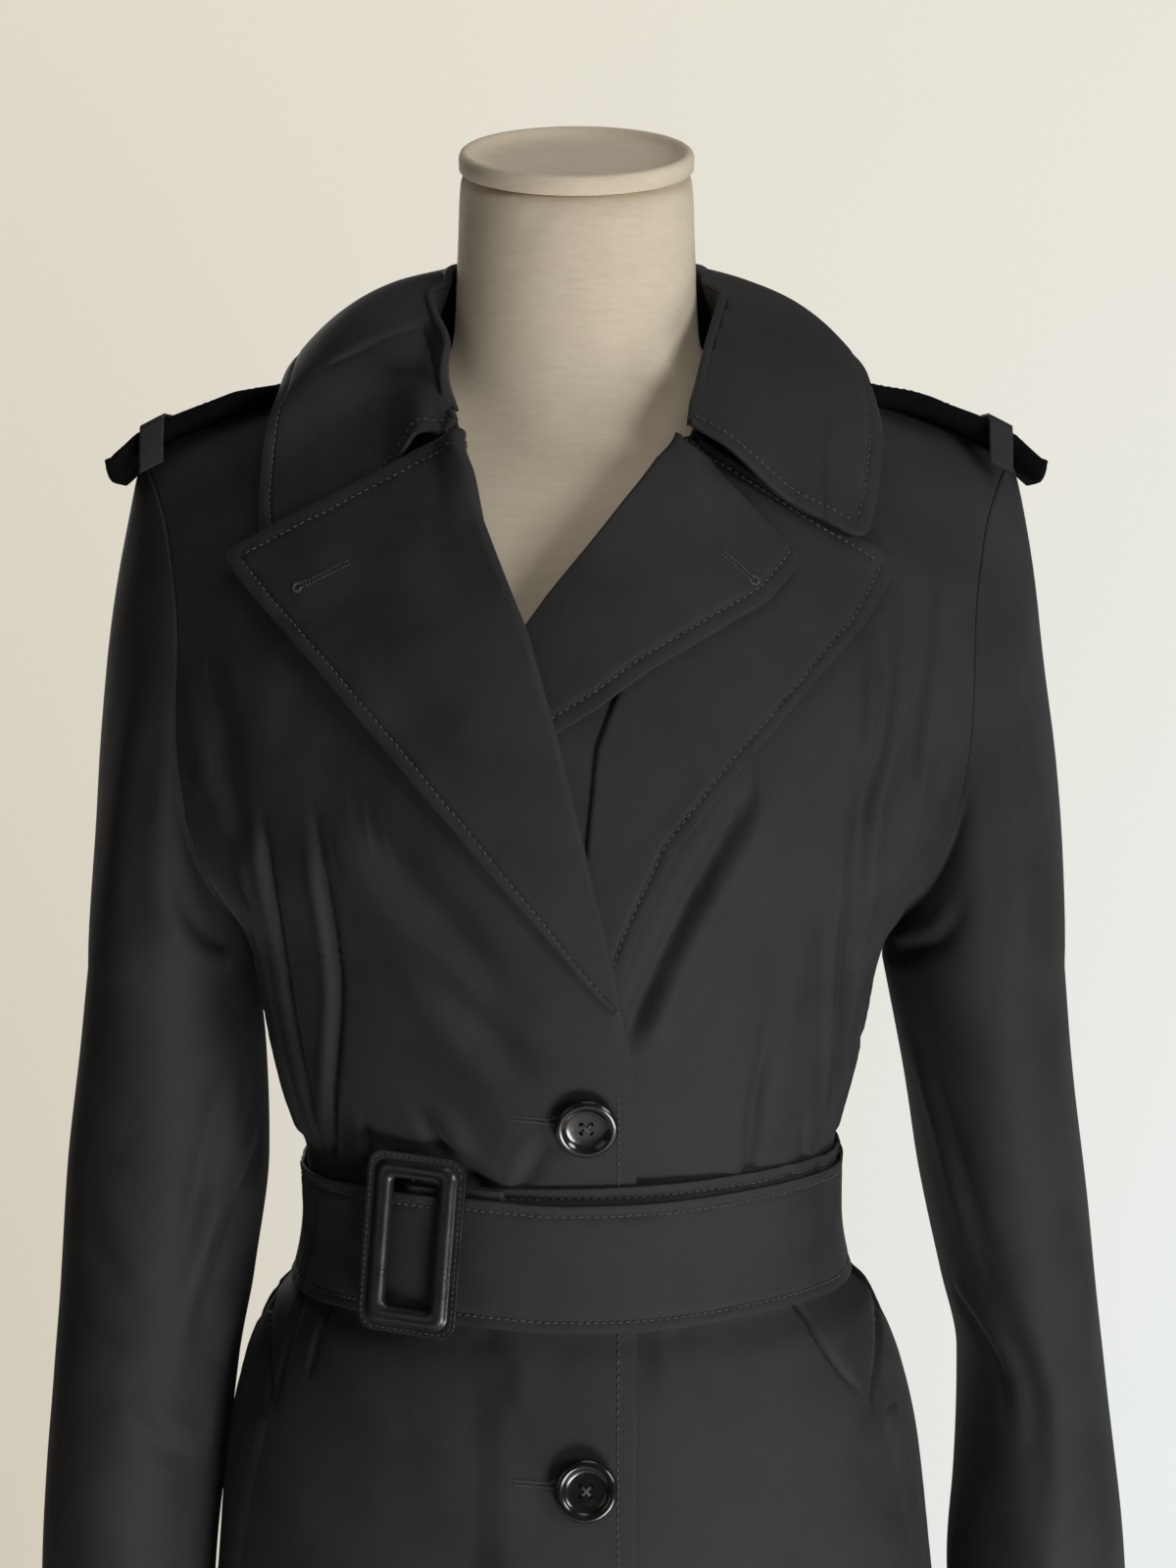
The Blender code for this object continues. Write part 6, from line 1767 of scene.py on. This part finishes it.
# Short creases across the belt, where the strip has wrapped round this many degrees.
BeltFold = namedtuple("BeltFold", "turn slant depth")
BELT_FOLDS = tuple(BeltFold(*row) for row in (
    (52.0, 0.6, 0.0011), (58.0, -0.5, 0.0009), (66.0, 0.8, 0.0013), (74.0, -0.3, 0.0010),
    (83.0, 0.5, 0.0011), (96.0, -0.7, 0.0010), (36.0, 0.4, 0.0007), (112.0, 0.6, 0.0009),
    (141.0, -0.4, 0.0008), (176.0, 0.5, 0.0008), (208.0, -0.6, 0.0009), (243.0, 0.4, 0.0009),
    (268.0, -0.8, 0.0010), (282.0, 0.5, 0.0009), (296.0, -0.4, 0.0008), (12.0, -0.5, 0.0006),
))
BELT_ROUND = 0.76         # how many metres a full turn counts as
BELT_SLANT = 0.016        # how far a crease of slant 1 leans from the middle to an edge
BELT_CREASE = 0.0032      # width of a crease
BELT_ROLL = (0.6, 0.0065, 0.0042)     # the roll beside it: share of its depth, distance, width
BELT_CREASE_FADE = (0.45, 0.55, 0.4, 2.8)   # its depth across: least, swing, middle and span
BELT_WAVE_SIZE = 0.022
BELT_WAVE_HEIGHT = 0.0004
BELT_FRONT = (40, 0.35)   # how many degrees round the centre front it lies flatter, and how much
BELT_LOWEST = -0.0009     # the most that it may sink
UNWRAPPED = -999.0        # stands for the strip's sewn end, which has no creases
WAIST = 1.037             # height of the waist's narrowest section
# How far across the belt rises over the doubled centre front, and comes down again.
BELT_RISES = (-0.056, -0.036)
BELT_FALLS = (0.026, 0.078)


def front_overlap_lift(turn):
    """What the belt rises by to pass over the doubled centre front."""
    x = waist_point(turn, WAIST)[..., 0]
    rise = OVERLAP[0].lift * smooth_step(*BELT_RISES, x) * (1 - smooth_step(*BELT_FALLS, x))
    return np.where(np.cos(turn) < 0, 0.0, rise)


def belt_rows(turns, lifts, heights):
    turn = np.radians(turns)
    lift = lifts + front_overlap_lift(turn)
    height = heights[:, None] + BELT_WIDTH / 2 * BELT_COLUMNS[None]
    turn = np.broadcast_to(turn[:, None], height.shape)
    return waist_point(turn, height, np.broadcast_to(lift[:, None], height.shape))


def belt_table(rows, turns):
    """The strip's lift and height at these turns."""
    rising = tuple(sorted(rows))
    return through(rising, "lift")(turns), through(rising, "height")(turns)


def belt_creases(grid, wrapped):
    """How far the belt stands off its plain form, by how far round each row has wrapped."""
    across = BELT_COLUMNS[None]
    soft = np.zeros(grid.shape[:2])
    share, beside, wide = BELT_ROLL
    least, swing, middle, span = BELT_CREASE_FADE
    for fold in BELT_FOLDS:
        gap = (wrapped - fold.turn) / 360 * BELT_ROUND + fold.slant * across * BELT_SLANT
        crease = np.exp(-(gap / BELT_CREASE) ** 2) - share * np.exp(-((gap - beside) / wide) ** 2)
        fade = least + swing * np.cos(math.pi * (across - np.sign(fold.slant) * middle) / span)
        soft = soft - fold.depth * crease * fade
    soft = soft + BELT_WAVE_HEIGHT * unevenness(grid, BELT_WAVE_SIZE, seed=6.6)
    soft = soft * np.where(np.abs(wrapped - 360) < BELT_FRONT[0], BELT_FRONT[1], 1.0)
    return np.maximum(soft, BELT_LOWEST)


def make_belt():
    start = np.linspace(BELT_START[0].turn, BELT_START[-1].turn, BELT_START_STEPS)
    run = np.linspace(BELT_WRAP[0].turn, BELT_WRAP[-1].turn, BELT_RUN)
    outer, inner = BELT_START[-1], BELT_WRAP[0]
    bend = math.pi * np.arange(1, BELT_BEND_STEPS) / BELT_BEND_STEPS
    bend_lift = (outer.lift + inner.lift) / 2 + (outer.lift - inner.lift) / 2 * np.cos(bend)
    start_lift, start_height = belt_table(BELT_START, start)
    run_lift, run_height = belt_table(BELT_WRAP, run)
    turns = np.concatenate((start, outer.turn - BAR_TURN * np.sin(bend), run))
    lifts = np.concatenate((start_lift, bend_lift, run_lift))
    heights = np.concatenate((start_height, np.full(len(bend), outer.height), run_height))
    grid = belt_rows(turns, lifts, heights)
    normals = grid_normals(grid)
    away = np.sum(normals * (grid * (1.0, 1.0, 0.0)), axis=-1, keepdims=True)
    normals = np.where(away < 0, -normals, normals)
    normals = unit(normals * (1.0, 1.0, 0.0))
    wrapped = np.concatenate((np.full(len(turns) - BELT_RUN, UNWRAPPED), run))[:, None]
    grid = grid + normals * belt_creases(grid, wrapped)[..., None]
    edges = ("inner", "outer", "first", "last")
    grid = grooved(grid, normals, edges, BELT_INSET)
    cloth_piece("belt_cloth", grid, ("belt",), wall=BELT_CLOTH)
    stitches = Stitching("belt_stitches")
    stitch_edges(stitches, grid, normals, edges, BELT_INSET, BELT_CLOTH)
    stitches.make()


# ---------------------------------------------------------------- buckle
# The ring's section: share of the way from its outline to its window, and height.
BUCKLE_PROFILE = (
    (0.00, 0.0000), (-0.012, 0.0009), (0.00, 0.0017), (0.03, 0.0019), (0.17, 0.00195),
    (0.28, 0.0018), (0.33, 0.0020), (0.38, 0.0029), (0.46, 0.0037), (0.56, 0.0041),
    (0.66, 0.0042), (0.78, 0.0040), (0.88, 0.0035), (0.95, 0.0027), (1.00, 0.0016),
    (1.00, 0.0000),
)
BUCKLE_SHARP = math.radians(50)
BUCKLE_STITCH_SHARE = 0.15      # where its stitches run, as a share of the same way
BUCKLE_STITCH_CORNER = 0.0062
BUCKLE_STITCH_RISE = 0.00205
BUCKLE_STITCH = (0.0019, 0.0010, 0.00022)   # their length, gap and radius


def ring_frame():
    """The place of the buckle's ring: x runs along the belt, y up and z outward."""
    centre = float(through(BODY, "centre")(BUCKLE_HEIGHT))
    width = float(through(BODY, "half_width")(BUCKLE_HEIGHT))
    turn = float(sweep_angle(np.array((BAR_ACROSS - centre) / width)))
    foot = waist_point(turn, BUCKLE_HEIGHT)
    outside = waist_point(turn, BUCKLE_HEIGHT, 1.0) - foot
    outside = Vector((outside[0] * BUCKLE_FACING, outside[1], 0.0)).normalized()
    up = Vector((0.0, 0.0, 1.0))
    along = up.cross(outside).normalized()
    turned = Matrix((along, up, outside)).transposed().to_4x4()
    leaning = Matrix.Rotation(BUCKLE_PITCH, 4, "X") @ Matrix.Rotation(BUCKLE_TILT, 4, "Z")
    return Matrix.Translation(Vector(foot) + outside * BUCKLE_LIFT) @ turned @ leaning


def rounded_rectangle(width, height, radius, corner_steps=10, side_steps=14):
    """An outline from the end of one side round to its start."""
    points = []
    corners = ((1, 1, 0), (-1, 1, 90), (-1, -1, 180), (1, -1, 270))
    for k, (sign_x, sign_y, start) in enumerate(corners):
        middle = (sign_x * (width / 2 - radius), sign_y * (height / 2 - radius))
        for step in range(corner_steps + 1):
            angle = math.radians(start + 90 * step / corner_steps)
            points.append((middle[0] + radius * math.cos(angle), middle[1] + radius * math.sin(angle)))
        after = corners[(k + 1) % 4]
        goal = (after[0] * (width / 2 - radius), after[1] * (height / 2 - radius))
        angle = math.radians(after[2])
        goal = (goal[0] + radius * math.cos(angle), goal[1] + radius * math.sin(angle))
        last = points[-1]
        for step in range(1, side_steps):
            share = step / side_steps
            points.append((mixed(last[0], goal[0], share), mixed(last[1], goal[1], share)))
    return points


def buckle_outline(share, corner):
    """The outline at a share of the way from the ring's own outline to its window."""
    width = mixed(BUCKLE_SIZE[0], BUCKLE_WINDOW[0], share)
    height = mixed(BUCKLE_SIZE[1], BUCKLE_WINDOW[1], share)
    return rounded_rectangle(width, height, corner)


def make_buckle():
    """A leather-covered ring with a padded roll inside a flat stitched flange."""
    place = ring_frame()
    points, faces = [], []
    for share, rise in BUCKLE_PROFILE:
        outline = buckle_outline(share, mixed(*BUCKLE_CORNERS, max(share, 0.0)))
        points.extend((x, y, rise) for x, y in outline)
    count, rings = len(outline), len(BUCKLE_PROFILE)
    for ring in range(rings):
        low, high = ring * count, (ring + 1) % rings * count
        for k in range(count):
            after = (k + 1) % count
            faces.append((low + k, low + after, high + after, high + k))
    points = [place @ Vector(point) for point in points]
    obj = mesh_object("buckle_leather_ring", points, faces, [buckle_leather()])
    recalculated(obj)
    obj.data.set_sharp_from_angle(angle=BUCKLE_SHARP)
    ready(obj, ("buckle",))
    outline = buckle_outline(BUCKLE_STITCH_SHARE, BUCKLE_STITCH_CORNER)
    outline.append(outline[0])
    line = np.array([place @ Vector((x, y, BUCKLE_STITCH_RISE)) for x, y in outline])
    normals = np.broadcast_to(np.array(place.to_3x3() @ Vector((0, 0, 1))), line.shape)
    stitches = Stitching("buckle_stitches")
    stitches.row(line, normals, *BUCKLE_STITCH)
    stitches.make()


def recalculated(obj):
    mesh = bmesh.new()
    mesh.from_mesh(obj.data)
    bmesh.ops.recalc_face_normals(mesh, faces=mesh.faces)
    mesh.to_mesh(obj.data)
    mesh.free()


# ---------------------------------------------------------------- buttons
# Turned profiles: share of the radius, and height.
BUTTON_PROFILE = (
    (0.00, 0.00245), (0.30, 0.00247), (0.52, 0.00258), (0.60, 0.00272), (0.66, 0.00305),
    (0.71, 0.0037), (0.76, 0.0042), (0.82, 0.0044), (0.89, 0.0044), (0.94, 0.0041),
    (0.98, 0.0036), (1.00, 0.0030), (1.00, 0.0016), (0.97, 0.0008), (0.90, 0.0002),
    (0.84, 0.0000), (0.00, 0.0000),
)
SHANK_PROFILE = ((0, 0.0), (0.9, 0.0), (1.0, -0.0005), (0.9, -0.0022), (0, -0.0022))
SHANK_RADIUS = 0.0026
SHANK_SIDES = 20
BUTTON_SIDES = 72
BUTTON_SHARP = math.radians(35)
HOLE_SIDES = 20
BUTTON_THREAD = 0.00042   # radius of the thread through its holes
BUTTON_THREAD_RISE = 0.00268
BUTTON_THREAD_APART = 0.0003    # how far each of two threads side by side is from their middle


def turned_solid(name, profile, radius, place, finish, sides=BUTTON_SIDES):
    """A closed turned body; its profile is in shares of the radius and metres up."""
    points = []
    for share, rise in profile[1:-1]:
        for k in range(sides):
            angle = 2 * math.pi * k / sides
            x, y = radius * share * math.cos(angle), radius * share * math.sin(angle)
            points.append(place @ Vector((x, y, rise)))
    faces = grid_faces(len(profile) - 2, sides, True)
    last = (len(profile) - 3) * sides
    first_centre, last_centre = len(points), len(points) + 1
    points.append(place @ Vector((0, 0, profile[0][1])))
    points.append(place @ Vector((0, 0, profile[-1][1])))
    for k in range(sides):
        after = (k + 1) % sides
        faces.append((first_centre, after, k))
        faces.append((last_centre, last + k, last + after))
    obj = mesh_object(name, points, faces, [finish])
    recalculated(obj)
    return obj


def drill_holes(obj, place):
    """Cuts the four holes through a button."""
    holes = bmesh.new()
    for x in (-1, 1):
        for y in (-1, 1):
            where = place @ Matrix.Translation((x * BUTTON_HOLE_OFFSET, y * BUTTON_HOLE_OFFSET, 0))
            bmesh.ops.create_cone(holes, cap_ends=True, segments=HOLE_SIDES, depth=BUTTON_RADIUS,
                                  radius1=BUTTON_HOLE_RADIUS, radius2=BUTTON_HOLE_RADIUS, matrix=where)
    data = bpy.data.meshes.new("holes")
    holes.to_mesh(data)
    holes.free()
    cutter = bpy.data.objects.new("holes", data)
    bpy.context.scene.collection.objects.link(cutter)
    cut = obj.modifiers.new("holes", "BOOLEAN")
    cut.operation = "DIFFERENCE"
    cut.object = cutter
    apply_modifiers(obj)
    bpy.data.objects.remove(cutter)


def cross_threads(stitches, place):
    """Two pairs of threads that cross over a button's face from hole to hole."""
    up = np.array(place.to_3x3() @ Vector((0, 0, 1)))
    for start, end in (((-1, -1), (1, 1)), ((-1, 1), (1, -1))):
        for apart in (-BUTTON_THREAD_APART, BUTTON_THREAD_APART):
            ends = []
            for x, y in (start, end):
                spot = (x * BUTTON_HOLE_OFFSET - y * apart, y * BUTTON_HOLE_OFFSET + x * apart)
                ends.append(np.array(place @ Vector((*spot, BUTTON_THREAD_RISE))))
            stitches.stitch(*ends, up, BUTTON_THREAD)


def make_buttons():
    for index, height in enumerate(BUTTON_HEIGHTS, 1):
        across = np.array([BUTTON_ACROSS])
        level = np.array([height])
        lift = right_front_lift(across, level) + BUTTON_LIFT
        normal = Vector(outward(across, level)[0])
        centre = Vector(on_torso(across, level, lift)[0])
        place = Matrix.Translation(centre) @ normal.to_track_quat("Z", "Y").to_matrix().to_4x4()
        name = "button_%d" % index
        obj = turned_solid(name + "_horn", BUTTON_PROFILE, BUTTON_RADIUS, place, button_horn())
        drill_holes(obj, place)
        obj.data.set_sharp_from_angle(angle=BUTTON_SHARP)
        ready(obj, (name,))
        stitches = Stitching(name + "_thread")
        cross_threads(stitches, place)
        shank = turned_solid(name + "_shank", SHANK_PROFILE, SHANK_RADIUS, place, thread(), SHANK_SIDES)
        ready(shank)
        stitches.make()


def apply_modifiers(obj):
    """Keeps the shape that the object's modifiers give it as its own mesh."""
    depsgraph = bpy.context.evaluated_depsgraph_get()
    data = bpy.data.meshes.new_from_object(obj.evaluated_get(depsgraph))
    obj.modifiers.clear()
    obj.data = data


# ---------------------------------------------------------------- dress form
FORM_SIDES = 120
FORM_RINGS = 5            # rings from one section of its table to the next
FORM_VOXEL = 0.0062       # at which its torso and neck are joined into one skin
FORM_SMOOTHING = 8
FORM_SEAM = 0.0006        # how deep its front seam is
FORM_SEAM_WIDTH = 0.0028
CAP_RADIUS = 0.056
CAP_SHARP = math.radians(60)
CAP_PROFILE = (
    (0.00, 0.0040), (0.35, 0.0040), (0.70, 0.0042), (0.82, 0.0048), (0.885, 0.0062),
    (0.91, 0.0078), (0.94, 0.0088), (0.965, 0.0088), (0.985, 0.0080), (1.00, 0.0062),
    (1.00, 0.0006), (0.99, 0.0), (0.00, 0.0),
)


def form_rings(rows):
    """Closely spaced rings through a table of the form's sections."""
    heights = np.array([row.height for row in rows])
    last = len(rows) - 1
    keys = np.interp(np.linspace(0, last, last * FORM_RINGS + 1), np.arange(len(rows)), heights)
    angle = 2 * np.pi * np.arange(FORM_SIDES) / FORM_SIDES
    rings = []
    for key in keys:
        width, front, back, power, slope = (
            float(through(rows, name)(key)) for name in FormRing._fields[1:])
        middle = (back - front) / 2
        x = width * signed_power(np.sin(angle), 2 / power)
        if rows[-1].slope > 0:
            y = middle - (front + back) / 2 * np.cos(angle)
        else:
            depth = np.where(np.cos(angle) > 0, front, back)
            y = -depth * signed_power(np.cos(angle), 2 / power)
        rings.append(points_of(x, y, key + slope * (y - middle)))
    return np.array(rings)


def make_form():
    """The linen torso and neck in one skin with a front seam, and the neck's cap."""
    points, faces = [], []
    for rows in (FORM, FORM_NECK):
        rings = form_rings(rows)
        first = len(points)
        points.extend(map(tuple, rings.reshape(-1, 3)))
        faces.extend(grid_faces(len(rings), FORM_SIDES, True, first))
        faces.append(tuple(first + k for k in range(FORM_SIDES))[::-1])
        last = first + (len(rings) - 1) * FORM_SIDES
        faces.append(tuple(last + k for k in range(FORM_SIDES)))
    obj = mesh_object("form_linen_body", points, faces, [form_linen()])
    remesh = obj.modifiers.new("joined", "REMESH")
    remesh.mode = "VOXEL"
    remesh.voxel_size = FORM_VOXEL
    remesh.use_smooth_shade = True
    smooth = obj.modifiers.new("smooth", "SMOOTH")
    smooth.factor = 0.5
    smooth.iterations = FORM_SMOOTHING
    apply_modifiers(obj)
    data = obj.data
    places = np.zeros(len(data.vertices) * 3)
    data.vertices.foreach_get("co", places)
    places = places.reshape(-1, 3)
    seam = np.exp(-(places[:, 0] / FORM_SEAM_WIDTH) ** 2) * (places[:, 1] < 0)
    places[:, 1] += FORM_SEAM * seam
    data.vertices.foreach_set("co", places.ravel())
    data.shade_smooth()
    ready(obj, ("form_body",))
    top = FORM_NECK[-1]
    middle = (top.back - top.front) / 2
    tip = Matrix.Rotation(math.atan(top.slope), 4, "X")
    up = tip @ Vector((0.0, 0.0, CLEARANCE))
    place = Matrix.Translation(Vector((0.0, middle, top.height)) + up) @ tip
    cap = turned_solid("form_neck_cap_linen", CAP_PROFILE, CAP_RADIUS, place, form_linen(), FORM_SIDES)
    cap.data.set_sharp_from_angle(angle=CAP_SHARP)
    ready(cap, ("form_neck_cap",))


# ---------------------------------------------------------------- front edges and hems
FRONT_ROW_TOP = 1.118     # height where the front edge's stitches end
# The front's buttonholes: how far across and above their button the plain end and eye lie.
FRONT_BUTTONHOLE = ((-0.0265, 0.002), (-0.0105, 0.001))


def make_edge_stitching(grids):
    """Stitches and buttonholes down the right front's edge, and stitches round the hem."""
    grid = grids["front_right"]
    stitches = Stitching("front_right_stitches")
    stitch_edges(stitches, grid, grid_normals(grid), ("inner",), FRONT_INSET, CLOTH,
                 lambda line: line[:, 2] < FRONT_ROW_TOP)
    for height in BUTTON_HEIGHTS:
        ends = [(across, height + above) for across, above in FRONT_BUTTONHOLE]
        buttonhole_at(stitches, ends, lift_on(grid, CLOTH))
    stitches.make()
    for name, part in grids.items():
        stitches = Stitching(name + "_hem_stitches")
        stitch_edges(stitches, part, grid_normals(part), ("first",), HEM_INSET, CLOTH)
        stitches.make()


# ---------------------------------------------------------------- carried-over solids
def finish_solids():
    """The bar, pole and base keep their solids and take a better finish."""
    for node in ("buckle_bar", "stand_pole", "stand_base"):
        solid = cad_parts[node]
        solid.data.materials.clear()
        solid.data.materials.append(stand_paint())


# ---------------------------------------------------------------- floor, light and camera
FLOOR_RADIUS = 1.55
FLOOR_PLACE = (0, 0.15, 0)
CAMERA_PLACE = (0.0055, -1.095, 1.334)
CAMERA_DOWN = math.radians(4.92)
CAMERA_LENS = 52.28
# The wall's light, seen behind the coat: at the top and bottom, left and right.
WALL = {
    "top_left": (0.745, 0.702, 0.597), "top_right": (0.815, 0.784, 0.694),
    "low_left": (0.638, 0.584, 0.474), "low_right": (0.831, 0.871, 0.863),
}
WALL_ACROSS = (-0.25, 0.25)     # the slopes to the left and right between which it turns
WALL_UP = (-0.40, 0.24)         # and those down and up
AMBIENT = (0.045, 0.20)   # the light round the coat, at the left and at the window's side
AMBIENT_ACROSS = (-0.8, 0.8)
# Each lamp's place and aim in metres, its width, its watts and its colour.
Lamp = namedtuple("Lamp", "name place aim size power colour")
LAMPS = (
    Lamp("window", (1.75, -1.60, 1.55), (0.02, 0.0, 1.02), 0.9, 22.0, (0.98, 0.99, 1.0)),
    Lamp("bounce", (0.60, -1.20, 0.12), (0.05, 0.0, 0.70), 0.7, 22.0, (0.98, 0.99, 1.0)),
    Lamp("room", (-1.5, -1.9, 1.3), (0.0, 0.0, 1.1), 1.4, 2.4, (1.0, 0.95, 0.90)),
    Lamp("behind", (-1.0, 2.2, 1.9), (0.0, 0.0, 1.0), 1.6, 26.0, (1.0, 0.98, 0.95)),
    Lamp("above", (0.3, -0.6, 3.0), (0.0, 0.0, 1.2), 1.4, 8.0, (1.0, 0.98, 0.95)),
)


def make_floor():
    bpy.ops.mesh.primitive_circle_add(
        vertices=96, radius=FLOOR_RADIUS, fill_type="NGON", location=FLOOR_PLACE)
    floor = bpy.context.object
    floor.name = "floor"
    finish, inputs, nodes = new_finish("pale_floor", (0.72, 0.69, 0.64), 0.75)
    cloudy = nodes.noise(nodes.place(), 5.0, 3.0)
    nodes.link(nodes.mix(cloudy, (0.69, 0.66, 0.61), (0.76, 0.73, 0.68)), inputs["Base Color"])
    floor.data.materials.append(finish)


def make_world():
    """A pale wall's soft gradient for the camera, and dimmer even light for the coat."""
    world = bpy.data.worlds.new("soft_room")
    bpy.context.scene.world = world
    world.use_nodes = True
    nodes = Nodes(world)
    background = world.node_tree.nodes["Background"]
    way = nodes.add("ShaderNodeTexCoord").outputs["Generated"]
    parts = nodes.add("ShaderNodeSeparateXYZ", {"Vector": way}).outputs
    across = nodes.ramp(parts[0], 0.0, 1.0, *WALL_ACROSS)
    up = nodes.ramp(parts[2], 0.0, 1.0, *WALL_UP)
    low = nodes.mix(across, WALL["low_left"], WALL["low_right"])
    top = nodes.mix(across, WALL["top_left"], WALL["top_right"])
    nodes.link(nodes.mix(up, low, top), background.inputs["Color"])
    seen = nodes.add("ShaderNodeLightPath").outputs["Is Camera Ray"]
    round_about = nodes.ramp(parts[0], *AMBIENT, *AMBIENT_ACROSS)
    strength = nodes.math("MAXIMUM", seen, round_about)
    nodes.link(strength, background.inputs["Strength"])


def make_lamps():
    for lamp in LAMPS:
        data = bpy.data.lights.new(lamp.name, "AREA")
        data.shape = "DISK"
        data.size = lamp.size
        data.energy = lamp.power
        data.color = lamp.colour
        obj = bpy.data.objects.new(lamp.name, data)
        obj.location = lamp.place
        aim = Vector(lamp.aim) - Vector(lamp.place)
        obj.rotation_euler = aim.to_track_quat("-Z", "Y").to_euler()
        bpy.context.scene.collection.objects.link(obj)


def make_camera():
    data = bpy.data.cameras.new("camera")
    data.lens = CAMERA_LENS
    obj = bpy.data.objects.new("camera", data)
    obj.location = CAMERA_PLACE
    obj.rotation_euler = (math.pi / 2 - CAMERA_DOWN, 0.0, 0.0)
    bpy.context.scene.collection.objects.link(obj)
    bpy.context.scene.camera = obj
    bpy.context.scene.view_settings.view_transform = "Standard"


# ---------------------------------------------------------------- everything, in order
make_camera()
make_world()
make_lamps()
make_floor()
finish_solids()
make_form()
plain_grids, coat_grids = make_panels()
make_sleeve("sleeve_right", -1, plain_grids["front_right"], plain_grids["back_right"],
            SLEEVE_RIGHT, SLEEVE_RIGHT_FOLDS)
make_sleeve("sleeve_left", 1, plain_grids["front_left"], plain_grids["back_left"],
            SLEEVE_LEFT, SLEEVE_LEFT_FOLDS)
make_edge_stitching(coat_grids)
make_lapels_and_flap()
make_pocket_welts()
make_collar()
make_epaulettes()
make_belt()
make_buckle()
make_buttons()
